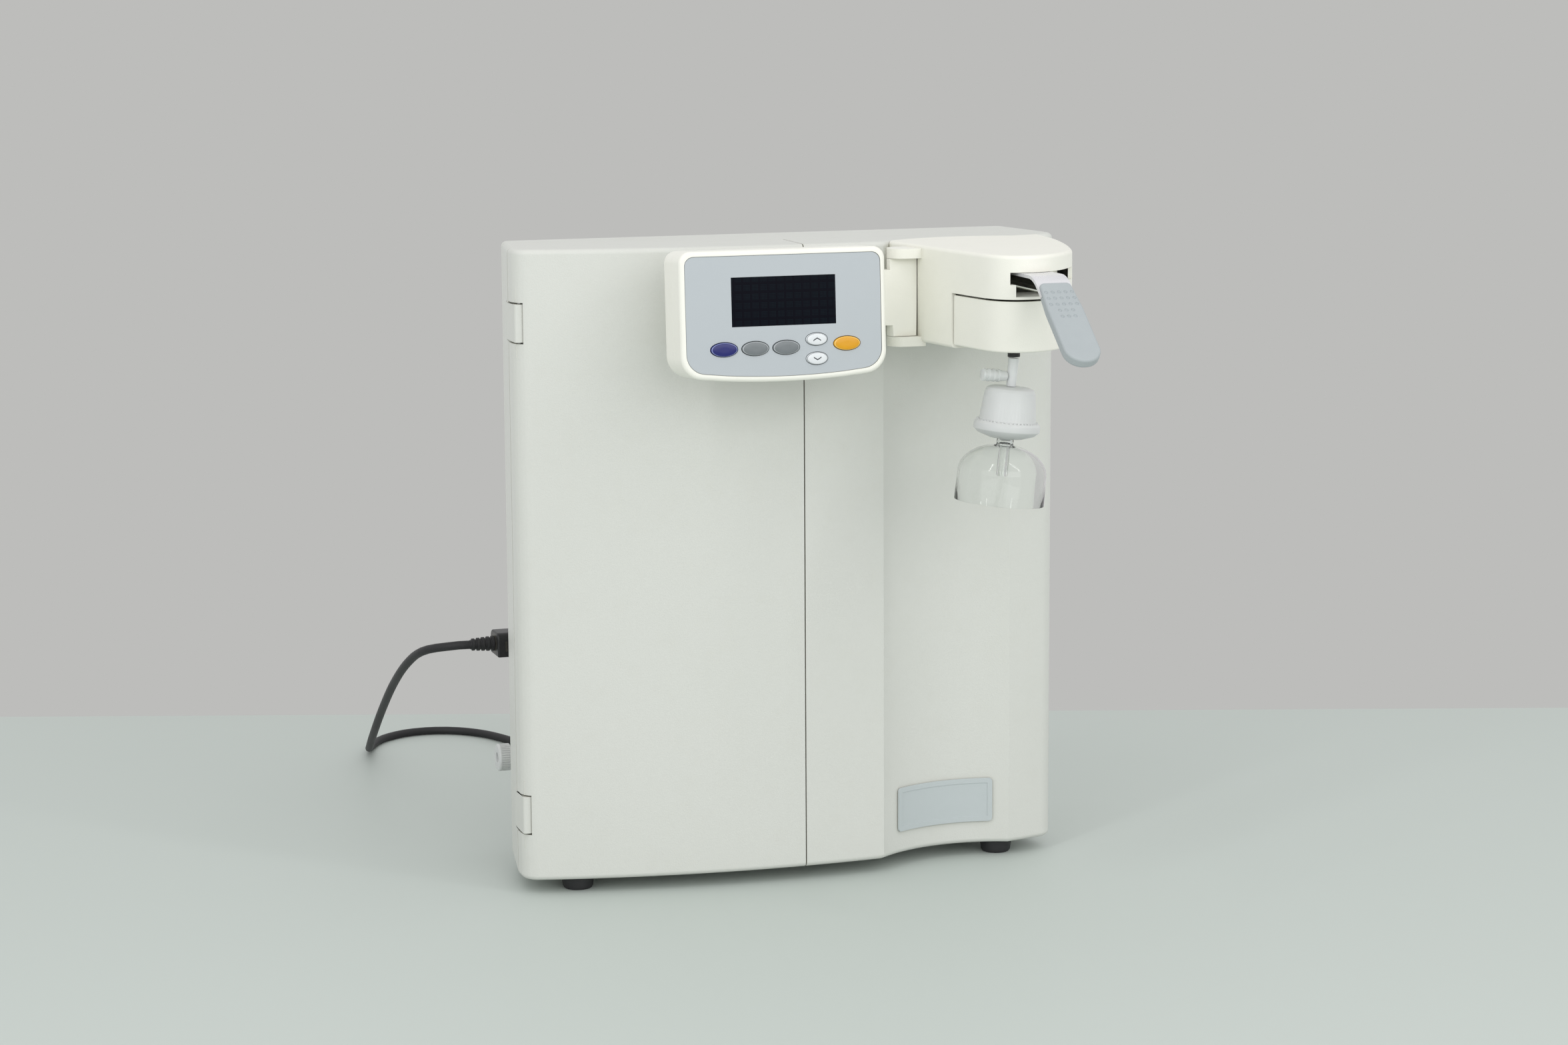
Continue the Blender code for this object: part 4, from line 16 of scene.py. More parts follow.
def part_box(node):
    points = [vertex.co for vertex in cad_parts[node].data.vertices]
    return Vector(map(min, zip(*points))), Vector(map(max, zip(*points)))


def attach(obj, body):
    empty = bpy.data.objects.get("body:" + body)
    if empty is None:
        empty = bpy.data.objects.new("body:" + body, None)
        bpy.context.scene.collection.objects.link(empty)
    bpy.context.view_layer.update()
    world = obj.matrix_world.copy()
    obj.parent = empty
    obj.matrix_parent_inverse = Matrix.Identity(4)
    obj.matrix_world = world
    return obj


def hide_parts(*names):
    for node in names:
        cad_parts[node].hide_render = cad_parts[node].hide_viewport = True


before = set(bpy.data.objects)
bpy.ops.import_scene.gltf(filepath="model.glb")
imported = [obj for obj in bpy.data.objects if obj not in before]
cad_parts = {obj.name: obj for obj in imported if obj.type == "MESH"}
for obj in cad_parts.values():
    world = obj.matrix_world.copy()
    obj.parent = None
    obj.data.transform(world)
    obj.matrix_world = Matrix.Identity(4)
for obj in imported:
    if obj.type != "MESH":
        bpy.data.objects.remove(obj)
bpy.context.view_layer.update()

# %% [markdown]
# ## The camera
# The photograph was taken a little from the left and from above, with a long lens. A camera
# could be placed by eye, but here it was worked out from the housing's long straight edges,
# so it is given as a place, three turns and a lens. A turn about Z gives the heading, a turn
# about X the tilt, and a small roll levels the picture as the photographer held it.

# %% The camera
CAMERA_PLACE = Vector((-0.82355, -2.48250, 0.71341))
CAMERA_HEADING_DEG = -17.762
CAMERA_TILT_DEG = 9.173
CAMERA_ROLL_DEG = -0.335
CAMERA_LENS_MM = 79.6

view = bpy.data.objects.new("camera", bpy.data.cameras.new("camera"))
bpy.context.scene.collection.objects.link(view)
view.data.lens = CAMERA_LENS_MM
view.data.clip_start = 0.05
view.matrix_world = (
    Matrix.Translation(CAMERA_PLACE)
    @ Matrix.Rotation(math.radians(CAMERA_HEADING_DEG), 4, "Z")
    @ Matrix.Rotation(math.radians(90 - CAMERA_TILT_DEG), 4, "X")
    @ Matrix.Rotation(math.radians(CAMERA_ROLL_DEG), 4, "Z")
)
bpy.context.scene.camera = view
print("camera at", [round(value, 3) for value in view.location])

# %% [markdown]
# ## Shader maths as plain Python
# A material is a graph of nodes, and its sums are Math nodes. Placing them one by one hides
# what they compute, so `Wire` wraps a socket and lets Python's operators add the nodes:
# `0.4 + grain * 0.1` becomes two of them. `Look` is one material with its Principled shader,
# and its `add` makes any other node from a type, its settings and its sockets' values.

# %% Wires and looks
class Wire:
    """A socket whose sums add Math nodes."""

    def __init__(self, look, socket):
        self.look = look
        self.socket = socket

    def math(self, operation, first, second=0.0):
        return self.look.add("Math", {"operation": operation}, {0: first, 1: second})

    def __add__(self, other):
        return self.math("ADD", self, other)

    def __radd__(self, other):
        return self.math("ADD", other, self)

    def __sub__(self, other):
        return self.math("SUBTRACT", self, other)

    def __rsub__(self, other):
        return self.math("SUBTRACT", other, self)

    def __mul__(self, other):
        return self.math("MULTIPLY", self, other)

    def __rmul__(self, other):
        return self.math("MULTIPLY", other, self)

    def __truediv__(self, other):
        return self.math("DIVIDE", self, other)

    def above(self, level):
        return self.math("GREATER_THAN", self, level)

    def below(self, level):
        return self.math("LESS_THAN", self, level)


class Look:
    """One material: a Principled shader and the nodes that feed it."""

    def __init__(self, name, **sockets):
        self.material = bpy.data.materials.new(name)
        self.material.use_nodes = True
        self.tree = self.material.node_tree
        self.shader = self.tree.nodes["Principled BSDF"]
        for label, value in sockets.items():
            self.shader.inputs[label.replace("_", " ")].default_value = value

    def add(self, kind, settings=(), sockets=(), output=0):
        node = self.tree.nodes.new("ShaderNode" + kind)
        for label, value in dict(settings).items():
            setattr(node, label, value)
        for label, value in dict(sockets).items():
            self.feed(node.inputs[label], value)
        return Wire(self, node.outputs[output])

    def feed(self, socket, value):
        if isinstance(value, Wire):
            self.tree.links.new(value.socket, socket)
        else:
            socket.default_value = value

    def math_of(self, operation, value):
        return self.add("Math", {"operation": operation}, {0: value})

    def set(self, label, value):
        self.feed(self.shader.inputs[label], value)

    def place(self):
        return self.add("TexCoord", output="Object")

    def noise(self, scale, detail=2.0, roughness=0.5, stretch=(1, 1, 1)):
        spot = self.add("Mapping", {}, {"Vector": self.place(), "Scale": stretch})
        settings = {"noise_dimensions": "3D"}
        sockets = {"Vector": spot, "Scale": scale, "Detail": detail, "Roughness": roughness}
        return self.add("TexNoise", settings, sockets)

    def cells(self, scale):
        settings = {"feature": "SMOOTH_F1"}
        sockets = {"Vector": self.place(), "Scale": scale, "Smoothness": 0.6}
        return self.add("TexVoronoi", settings, sockets)

    def blend(self, share, first, second):
        settings = {"data_type": "RGBA", "clamp_factor": True}
        return self.add("Mix", settings, {0: share, 6: first, 7: second}, 2)

    def parts(self):
        """The place on the object as three wires: X, Y and Z."""
        outputs = self.add("SeparateXYZ", {}, {"Vector": self.place()}).socket.node.outputs
        return [Wire(self, output) for output in outputs]

    def tones(self, share, base, tint):
        """Colour the surface between a base and a tint, both as a picture's values."""
        self.set("Base Color", self.blend(share, colour(*base), colour(*tint)))

    def bump(self, height, depth):
        sockets = {"Height": height, "Distance": depth, "Strength": 1.0}
        self.set("Normal", self.add("Bump", {}, sockets))


def colour(red, green, blue):
    """A colour given as the 0 to 255 values that one reads off a picture."""
    levels = [value / 255 for value in (red, green, blue)]
    return (*[v / 12.92 if v <= 0.04045 else ((v + 0.055) / 1.055) ** 2.4 for v in levels], 1)


print("the shader kit is ready")

# %% [markdown]
# ## The finishes of the mouldings
# The housing is pressed from a cool off-white plastic with a fine leather-like grain, and the
# head and the display from a warmer one that has yellowed a little. A flat colour would look
# like paint in a drawing program, so each finish has three layers: a slow drift of the
# colour, the grain as a bump of smooth cells, and a faint greyish film. The film is partly
# random dust and handling marks and partly painted shade: an Ambient Occlusion node darkens
# the colour in corners and seams, where shade falls.

# %% Moulded plastic
# One greyish tone serves both the random dust and the painted shade in corners. The reach and the
# share set the painted shade.
DUST_AND_SHADE_TONE, CORNER_SHADE_REACH, CORNER_SHADE_SHARE = colour(172, 166, 142), 0.006, 0.35


def moulded(name, base, tint, roughness, grain, depth):
    """A grained plastic whose colour drifts between a base and a tint."""
    look = Look(name, IOR=1.46)
    cloud = look.noise(5.0, 4, 0.55)
    # Painted shade: the Ambient Occlusion value darkens the colour in corners and seams. The noise
    # below adds random dust.
    corner = look.add("AmbientOcclusion", {"samples": 8}, {"Distance": CORNER_SHADE_REACH}, "AO")
    dust_and_shade = (1.0 - corner) * CORNER_SHADE_SHARE + (look.noise(60, 3) - 0.5) * 0.12
    body = look.blend(cloud, colour(*base), colour(*tint))
    look.set("Base Color", look.blend(dust_and_shade, body, DUST_AND_SHADE_TONE))
    cell = look.cells(grain)
    fine = look.noise(grain * 1.7, 2)
    look.set("Roughness", roughness + (cloud - 0.5) * 0.10 + (fine - 0.5) * 0.12)
    look.bump(cell * 0.7 + fine * 0.5, depth)
    return look.material


HOUSING_LOOK = moulded("housing_plastic", (214, 215, 210), (209, 211, 205), 0.48, 950, 0.00010)
COVER_LOOK = moulded("cover_plastic", (208, 209, 202), (213, 213, 205), 0.5, 950, 0.00010)
IVORY_LOOK = moulded("ivory_plastic", (241, 240, 231), (236, 236, 226), 0.40, 1100, 0.00006)
DISPLAY_LOOK = moulded("display_plastic", (243, 242, 234), (239, 239, 230), 0.38, 1200, 0.00005)
BLACK_LOOK = moulded("black_plastic", (34, 34, 36), (27, 27, 29), 0.42, 1200, 0.00005)
CAP_LOOK = moulded("cap_plastic", (70, 118, 176), (62, 108, 168), 0.35, 1200, 0.00004)
CARTRIDGE_TONES = (226, 228, 228), (219, 222, 224)
CARTRIDGE_LOOK = moulded("cartridge_plastic", *CARTRIDGE_TONES, 0.34, 1400, 0.00003)
print("moulded finishes:", [m.name for m in bpy.data.materials if m.name.endswith("plastic")])

# %% [markdown]
# ## Foil, rubber, glass, metal and the rest
# The keypad is a printed polyester foil: a satin pale blue, nearly smooth. The paddle is a
# soft grey-blue rubber that scatters light evenly. The filter is milky plastic that lets
# some light through, and its bell is clear. The strip and the inner steel are metals whose
# grain runs one way, as rolling and brushing leave it. Each kind is one function with two
# near colours, because no real surface has the same colour all over.

# %% The other finishes
def printed_foil(name, base, tint, roughness):
    look = Look(name, IOR=1.5)
    look.tones(look.noise(9, 3), base, tint)
    look.set("Roughness", roughness + (look.noise(45, 4) - 0.5) * 0.14)
    look.bump(look.noise(1600, 1), 0.00002)
    return look.material


def soft_rubber(name, base, tint):
    look = Look(name, IOR=1.48)
    cloud = look.noise(14, 4)
    wear = (look.noise(130, 4) - 0.45) * 0.6
    look.tones(cloud + wear, base, tint)
    look.set("Roughness", 0.56 + (cloud - 0.5) * 0.16)
    look.bump(look.noise(1300, 3), 0.00006)
    return look.material


def milky_plastic(name, base, tint, through, roughness):
    look = Look(name, IOR=1.49, Transmission_Weight=through)
    cloud = look.noise(45, 3)
    look.tones(cloud, base, tint)
    look.set("Roughness", roughness + (cloud - 0.5) * 0.12)
    look.bump(look.noise(260, 2), 0.00004)
    return look.material


def clear_plastic(name):
    look = Look(name, IOR=1.30, Transmission_Weight=1.0, Base_Color=(0.985, 0.992, 0.99, 1))
    look.set("Roughness", 0.02 + look.noise(60, 4).above(0.64) * 0.03)
    look.bump(look.noise(90, 2), 0.00002)
    return look.material


def brushed_metal(name, base, tint, roughness, metallic=1.0):
    look = Look(name, Metallic=metallic)
    grain = look.noise(240, 3, 0.6, (1, 1, 14))
    look.tones(grain, base, tint)
    look.set("Roughness", roughness + (grain - 0.5) * 0.22)
    look.bump(grain, 0.00003)
    return look.material


FOIL_LOOK = printed_foil("keypad_foil_print", (182, 188, 192), (177, 184, 189), 0.34)
PLATE_LOOK = printed_foil("data_plate_finish", (192, 199, 200), (186, 194, 196), 0.38)
BOARD_LOOK = printed_foil("circuit_board", (38, 92, 58), (30, 76, 48), 0.42)
PADDLE_LOOK = soft_rubber("paddle_rubber", (174, 181, 183), (166, 173, 176))
FOOT_LOOK = soft_rubber("foot_rubber", (44, 44, 46), (34, 34, 36))
CORD_LOOK = soft_rubber("cord_sheath", (38, 38, 40), (30, 30, 32))
MILKY_LOOK = milky_plastic("filter_plastic", (232, 234, 233), (226, 228, 228), 0.25, 0.34)
TUBE_LOOK = milky_plastic("water_tube", (248, 250, 250), (242, 245, 246), 0.20, 0.30)
VENT_LOOK = milky_plastic("vent_plastic", (248, 250, 250), (242, 245, 245), 0.40, 0.20)
BELL_LOOK = clear_plastic("bell_clear")
STRIP_LOOK = brushed_metal("lever_strip_lacquer", (226, 226, 228), (217, 216, 220), 0.30, 0.25)
SHEET_LOOK = brushed_metal("sheet_steel", (190, 192, 196), (172, 175, 181), 0.38)
PIN_LOOK = brushed_metal("pin_steel", (205, 206, 208), (186, 188, 192), 0.26)
print("finishes in all:", len(bpy.data.materials))

# %% [markdown]
# ## The screen behind its window
# The window looks almost black, with a hint of navy, and through it one sees the faint green
# cells of a dot-matrix screen that is off or dim. The characters themselves are left out. The
# cells are a repeating grid on Object coordinates: a sine along X and one along Z, cut at a
# level, so that they stay crisp at any distance.

# %% The window's finish
SCREEN_PITCH = 0.0011
CHARACTER_PITCH = 0.0066
DOT_LEVEL, ROW_LEVEL, CHARACTER_LEVEL = -0.35, -0.55, -0.75
GLASS_TONE, CELL_TONE = colour(10, 11, 20), colour(20, 34, 40)


def dark_window(name):
    look = Look(name, IOR=1.5, Specular_IOR_Level=0.04)
    across, _, up = look.parts()

    def stripes(along, pitch, level):
        turn = along * (2 * math.pi / pitch)
        return look.add("Math", {"operation": "SINE"}, {0: turn}).above(level)

    dots = stripes(across, SCREEN_PITCH, DOT_LEVEL) * stripes(up, SCREEN_PITCH, DOT_LEVEL)
    rows = stripes(up, CHARACTER_PITCH, ROW_LEVEL)
    rows = rows * stripes(across, CHARACTER_PITCH, CHARACTER_LEVEL)
    lit = dots * rows * (0.25 + look.noise(40, 2) * 0.5)
    look.set("Base Color", look.blend(lit, GLASS_TONE, CELL_TONE))
    look.set("Roughness", 0.16 + (look.noise(30, 3) - 0.5) * 0.08)
    return look.material


WINDOW_LOOK = dark_window("screen_window")
print("screen cells are", SCREEN_PITCH * 1000, "mm apart")

# %% [markdown]
# ## A plain studio
# The unit stands on a pale grey-green table in front of a plain grey wall, in the even light
# of a room with ceiling strips. The light is kept at the level where a colour renders about
# as it is written: a soft world, two large lamps in front at little more than the unit's
# height, so that its top doesn't turn white, and two narrow ceiling strips that draw long
# highlights on the clear bell. The wall is the world as the camera sees it. The table faces
# the camera and ends behind the unit, as the real one does.

# %% Table, wall and lamps
TABLE_TONE = colour(194, 202, 197)
WALL_TONE = colour(189, 189, 187)
TABLE_BACK = 0.660
TABLE_HALF = 2.6
TABLE_THICKNESS = 0.030
WORLD_STRENGTH = 0.77
LAMPS = (
    ("soft_front", (0.4, -2.6, 1.2), (0, 0, 0.3), 2.4, 1.4, 18),
    ("soft_left", (-2.2, -1.7, 1.2), (0, 0, 0.3), 2.4, 1.4, 11),
    ("ceiling_strip_left", (-1.1, -0.9, 1.9), (0.1, 0, 0.4), 0.10, 1.6, 5),
    ("ceiling_strip_right", (0.9, -1.2, 1.9), (0.1, 0, 0.4), 0.10, 1.6, 5),
)


def plain_world():
    world = bpy.data.worlds.new("room")
    world.use_nodes = True
    bpy.context.scene.world = world
    nodes, links = world.node_tree.nodes, world.node_tree.links
    room = nodes["Background"]
    room.inputs["Color"].default_value = (1, 1, 1, 1)
    room.inputs["Strength"].default_value = WORLD_STRENGTH
    wall = nodes.new("ShaderNodeBackground")
    wall.inputs["Color"].default_value = WALL_TONE
    path = nodes.new("ShaderNodeLightPath")
    seen = nodes.new("ShaderNodeMath")
    seen.operation = "MAXIMUM"
    links.new(path.outputs["Is Camera Ray"], seen.inputs[0])
    links.new(path.outputs["Is Transmission Ray"], seen.inputs[1])
    mix = nodes.new("ShaderNodeMixShader")
    links.new(seen.outputs[0], mix.inputs[0])
    links.new(room.outputs[0], mix.inputs[1])
    links.new(wall.outputs[0], mix.inputs[2])
    links.new(mix.outputs[0], nodes["World Output"].inputs["Surface"])


def lamp(name, place, aim, width, length, power):
    light = bpy.data.lights.new(name, "AREA")
    light.shape = "RECTANGLE"
    light.size, light.size_y = width, length
    light.energy = power
    holder = bpy.data.objects.new(name, light)
    holder.location = place
    holder.rotation_euler = (Vector(place) - Vector(aim)).to_track_quat("Z", "Y").to_euler()
    bpy.context.scene.collection.objects.link(holder)


def table():
    bpy.ops.object.select_all(action="DESELECT")
    heading = math.radians(CAMERA_HEADING_DEG)
    middle = Vector((0, TABLE_BACK - TABLE_HALF, -TABLE_THICKNESS / 2))
    middle.rotate(Matrix.Rotation(heading, 3, "Z"))
    size = (TABLE_HALF * 2, TABLE_HALF * 2, TABLE_THICKNESS)
    bpy.ops.mesh.primitive_cube_add(size=1, location=middle, scale=size)
    top = bpy.context.object
    top.name = "table"
    top.rotation_euler.z = heading
    bpy.ops.object.transform_apply()
    bpy.ops.object.mode_set(mode="EDIT")
    bpy.ops.mesh.bevel(offset=TABLE_THICKNESS / 6, segments=3)
    bpy.ops.object.mode_set(mode="OBJECT")
    look = Look("table_top", Base_Color=TABLE_TONE)
    look.set("Roughness", 0.55 + (look.noise(3, 3) - 0.5) * 0.1)
    top.data.materials.append(look.material)


plain_world()
for row in LAMPS:
    lamp(*row)
table()
bpy.context.scene.view_settings.view_transform = "Standard"
print("lamps:", [row[0] for row in LAMPS])

# %% [markdown]
# ## Drawing with edit mode's tools
# Most mouldings here are a flat outline made thick. By hand one merges a small plane to one
# vertex, extrudes that vertex from corner to corner, spins it round a centre for each arc,
# fills the line with a face and extrudes the face. `prism` does just that from a route of
# points and arcs. It could also be a curve, but a mesh can be bevelled edge by edge.

# %% Prisms from a route
Arc = namedtuple("Arc", "centre end steps")
PLANES = {"Z": (0, 1, 2), "Y": (0, 2, 1), "X": (1, 2, 0)}
TINY = 0.00001


def spot(across, along, level, axis="Z"):
    """A drawing's point in space. The drawing lies square to the axis."""
    place = [0.0, 0.0, 0.0]
    for index, value in zip(PLANES[axis], (across, along, level)):
        place[index] = value
    return Vector(place)


def activate(piece):
    if bpy.context.mode != "OBJECT":
        bpy.ops.object.mode_set(mode="OBJECT")
    bpy.ops.object.select_all(action="DESELECT")
    piece.select_set(True)
    bpy.context.view_layer.objects.active = piece


def begin(name, place):
    """A new object in edit mode that is one vertex."""
    bpy.ops.object.select_all(action="DESELECT")
    bpy.ops.mesh.primitive_plane_add(size=1, location=place)
    piece = bpy.context.object
    piece.name = piece.data.name = name
    bpy.ops.object.transform_apply()
    bpy.ops.object.mode_set(mode="EDIT")
    bpy.ops.mesh.select_mode(type="VERT")
    bpy.ops.mesh.merge(type="CENTER")
    return piece


def draw(name, route, level, axis="Z"):
    """Extrude one vertex along a route of points and arcs, and stay in edit mode."""
    here = spot(*route[0], level, axis)
    upward = spot(1, 0, 0, axis).cross(spot(0, 1, 0, axis))
    piece = begin(name, here)
    for step in route[1:]:
        if isinstance(step, Arc):
            centre, there = spot(*step.centre, level, axis), spot(*step.end, level, axis)
            first, last = here - centre, there - centre
            angle = math.atan2(first.cross(last).dot(upward), first.dot(last))
            bpy.ops.mesh.spin(steps=step.steps, angle=-angle, center=centre, axis=upward)
        else:
            there = spot(*step, level, axis)
            bpy.ops.mesh.extrude_region_move(TRANSFORM_OT_translate={"value": there - here})
        here = there
    return piece


def prism(name, route, low, high, axis="Z"):
    """A closed block from an outline, between two levels along an axis."""
    piece = draw(name, route, low, axis)
    bpy.ops.mesh.select_all(action="SELECT")
    bpy.ops.mesh.remove_doubles(threshold=TINY)
    bpy.ops.mesh.edge_face_add()
    rise = spot(0, 0, high - low, axis)
    bpy.ops.mesh.extrude_region_move(TRANSFORM_OT_translate={"value": rise})
    bpy.ops.mesh.select_all(action="SELECT")
    bpy.ops.mesh.normals_make_consistent(inside=False)
    bpy.ops.object.mode_set(mode="OBJECT")
    return piece


def block(name, low, high):
    """A plain block between two corners, for cutting and joining."""
    bpy.ops.object.select_all(action="DESELECT")
    size = Vector(high) - Vector(low)
    bpy.ops.mesh.primitive_cube_add(size=1, location=(Vector(low) + Vector(high)) / 2, scale=size)
    piece = bpy.context.object
    piece.name = piece.data.name = name
    bpy.ops.object.transform_apply()
    return piece


print("drawing tools are ready")

# %% [markdown]
# ## Picking edges, rounding, cutting and finishing
# In edit mode one clicks the edges to round. A script picks them by their place instead. A
# Boolean modifier cuts windows and joins ribs, and it is applied at once, because the next
# step needs its edges. The last bevel runs round the sharp edges that are left, because no
# moulded edge is a knife and that thin highlight makes a part look real. It is clamped for
# the whole piece, so a single short edge can stop it: on the door, the head, the connector
# and the lever's strip it comes out with almost no width. A Weighted Normal modifier keeps
# the big faces flat between their rounded edges. What repeats round a nut or a cap is
# modelled once and copied round it, each copy with its own mesh.

# %% Tools that finish a moulding
EDGE_SOFTNESS = 0.00035
NEARNESS = 0.0005
SOFTEN_DEG, SMOOTH_DEG = 38, 32
TURNED_SOFTEN_DEG, TURNED_SMOOTH_DEG = 30, 40


def pick(piece, kind, test):
    """Select what passes a test, in edit mode. Returns how many."""
    bpy.ops.mesh.select_mode(type=kind)
    bpy.ops.mesh.select_all(action="DESELECT")
    shape = bmesh.from_edit_mesh(piece.data)
    items = {"VERT": shape.verts, "EDGE": shape.edges, "FACE": shape.faces}[kind]
    found = [item for item in items if test(item)]
    for item in found:
        item.select_set(True)
    shape.select_flush_mode()
    bmesh.update_edit_mesh(piece.data)
    return len(found)


def round_edges(piece, test, radius, segments=4):
    activate(piece)
    bpy.ops.object.mode_set(mode="EDIT")
    count = pick(piece, "EDGE", test)
    if count:
        bpy.ops.mesh.bevel(offset=radius, segments=segments, profile=0.5, clamp_overlap=True)
    bpy.ops.object.mode_set(mode="OBJECT")
    return count


def along(axis):
    """A test for edges that run along one axis only."""
    others = [i for i in range(3) if i != "XYZ".index(axis)]
    return lambda edge: all(abs(edge.verts[0].co[i] - edge.verts[1].co[i]) < TINY for i in others)


def at_level(axis, level):
    """A test for edges that lie in a plane square to an axis."""
    index = "XYZ".index(axis)
    return lambda edge: all(abs(v.co[index] - level) < TINY for v in edge.verts)


def near(x=None, y=None):
    """A test for edges whose middle is close to the given coordinates."""
    wanted = [(i, value) for i, value in enumerate((x, y)) if value is not None]

    def test(edge):
        middle = (edge.verts[0].co + edge.verts[1].co) / 2
        return all(abs(middle[i] - value) < NEARNESS for i, value in wanted)

    return test


def both(*tests):
    return lambda item: all(test(item) for test in tests)


def either(*tests):
    return lambda item: any(test(item) for test in tests)


def modify(piece, kind, **settings):
    """Add a modifier with its settings and apply it."""
    activate(piece)
    modifier = piece.modifiers.new(kind.lower(), kind)
    for label, value in settings.items():
        setattr(modifier, label, value)
    bpy.ops.object.modifier_apply(modifier=modifier.name)
    return piece


def combine(piece, tool, operation):
    modify(piece, "BOOLEAN", operation=operation, object=tool, solver="EXACT")
    bpy.data.objects.remove(tool, do_unlink=True)
    return piece


def cut(piece, tool):
    return combine(piece, tool, "DIFFERENCE")


def join(piece, tool):
    return combine(piece, tool, "UNION")


def keep(piece, tool):
    return combine(piece, tool, "INTERSECT")


def copied(piece, name):
    twin = piece.copy()
    twin.data = piece.data.copy()
    twin.name = twin.data.name = name
    bpy.context.scene.collection.objects.link(twin)
    return twin


def joined(items):
    """Several objects made one, under the first one's name."""
    bpy.ops.object.select_all(action="DESELECT")
    for item in items:
        item.select_set(True)
    bpy.context.view_layer.objects.active = items[0]
    bpy.ops.object.join()
    return items[0]


def ring_of(first, count):
    """A piece and its copies, turned about Z in even steps, as one object."""
    twins = [first]
    for index in range(1, count):
        twin = copied(first, first.name)
        twin.rotation_euler.z = 2 * math.pi * index / count
        twins.append(twin)
    return joined(twins)


def soften(piece, width=EDGE_SOFTNESS, segments=2, angle=SOFTEN_DEG):
    settings = {"width": width, "segments": segments, "limit_method": "ANGLE"}
    modify(piece, "BEVEL", angle_limit=math.radians(angle), use_clamp_overlap=True, **settings)
    return piece


def smooth(piece, angle=SMOOTH_DEG, weighted=True):
    activate(piece)
    bpy.ops.object.shade_smooth_by_angle(angle=math.radians(angle))
    if weighted:
        modify(piece, "WEIGHTED_NORMAL", keep_sharp=True, weight=60)
    return piece


def dress(piece, body, look, slot, *nodes):
    """Give a finished piece its material and its body, and hide the nodes it stands for."""
    piece.data.materials.clear()
    piece.data.materials.append(look)
    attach(piece, body)
    if nodes:
        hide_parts(*nodes)
    print(f"{piece.name}: {len(piece.data.polygons) if piece.type == 'MESH' else 'curve'} faces")
    return piece


def finish(piece, body, look, slot, node, softness=1, segments=2):
    """Soften the edges that are left, smooth the shading and dress the piece."""
    smooth(soften(piece, EDGE_SOFTNESS * softness, segments))
    return dress(piece, body, look, slot, node)


print("finishing tools are ready")

# %% [markdown]
# ## The housing as one blank
# From above the housing is a wide bow with a hollow in it for the vessel, and its sides draw
# in towards the back. The real one is three mouldings that share this outline, so the outline
# is drawn once, as one closed block, and each moulding is a piece of it. The bow and the
# hollow are true arcs, which the spin tool makes.

# %% The housing's blank
FRONT_RADIUS = 0.828
FRONT_CORNER = 0.011
REAR_CORNER = 0.006
EDGE_FILLET = 0.004
WALL = 0.003
SEAM = 0.001
CLEAR = 0.0003
OVERRUN = 0.010
BAY_LEFT = 0.0655
BAY_RIGHT = 0.178
BAY_DEPTH = 0.016
BOW_STEPS = 44
BAY_STEPS = 30

right_low, right_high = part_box("right_front_shell")
cover_low, cover_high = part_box("service_cover")
BACK_Y = cover_high.y
HALF_WIDTH = right_high.x
FRONT_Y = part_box("door")[0].y
SEAM_Y = right_high.y + SEAM / 2
REAR_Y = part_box("rear_housing")[1].y
REAR_HALF = 0.2085
FOOT_Z = right_low.z
TOP_Z = right_high.z
BOW_CENTRE = (0, FRONT_Y + FRONT_RADIUS)


def front_y(x, grow=0.0):
    """Where the bow front lies at a distance from the middle."""
    return BOW_CENTRE[1] - math.sqrt((FRONT_RADIUS + grow) ** 2 - x**2)


def bay_circle():
    """Centre and radius of the hollow, from its two edges and its depth."""
    left = Vector((BAY_LEFT, front_y(BAY_LEFT)))
    right = Vector((BAY_RIGHT, front_y(BAY_RIGHT)))
    half = (right - left).length / 2
    radius = (half**2 + BAY_DEPTH**2) / (2 * BAY_DEPTH)
    ahead = (right - left).normalized()
    outward = Vector((ahead.y, -ahead.x))
    return (left + right) / 2 + outward * (radius - BAY_DEPTH), radius


def body_route(grow=0.0):
    """The housing from above, anticlockwise from its left rear corner."""
    half = HALF_WIDTH + grow
    start = HALF_WIDTH - FRONT_CORNER * 2
    bay = tuple(bay_circle()[0])
    left, right = BAY_LEFT + grow, BAY_RIGHT - grow
    return [
        (-REAR_HALF - grow, REAR_Y + grow),
        (-half, SEAM_Y),
        (-half, front_y(HALF_WIDTH, grow)),
        (-start, front_y(start, grow)),
        Arc(BOW_CENTRE, (left, front_y(left, grow)), BOW_STEPS),
        Arc(bay, (right, front_y(right, grow)), BAY_STEPS),
        Arc(BOW_CENTRE, (start, front_y(start, grow)), 4),
        (half, front_y(HALF_WIDTH, grow)),
        (half, SEAM_Y),
        (REAR_HALF + grow, REAR_Y + grow),
    ]


def housing_blank():
    blank = prism("housing_blank", body_route(), FOOT_Z, TOP_Z)
    upright = along("Z")
    for side in (-1, 1):
        front = both(upright, near(x=side * HALF_WIDTH, y=front_y(HALF_WIDTH)))
        round_edges(blank, front, FRONT_CORNER, 8)
        back = both(upright, near(x=side * REAR_HALF, y=REAR_Y))
        round_edges(blank, back, REAR_CORNER, 5)
    rim = either(at_level("Z", TOP_Z), at_level("Z", FOOT_Z))
    print("rim edges rounded:", round_edges(blank, rim, EDGE_FILLET, 5))
    return blank


blank = housing_blank()
print("blank:", [round(value, 4) for value in blank.dimensions])

# %% [markdown]
# ## Three mouldings from the blank
# Each shell is the blank cut by flat planes with the bisect tool, which leaves an open
# surface, and Solidify then grows the wall inwards from it. Growing it before the cut would
# leave the seam's edge without its true thickness. The door's heel is set back a little more
# than the seam, because that edge swings past the rear housing as the door opens.

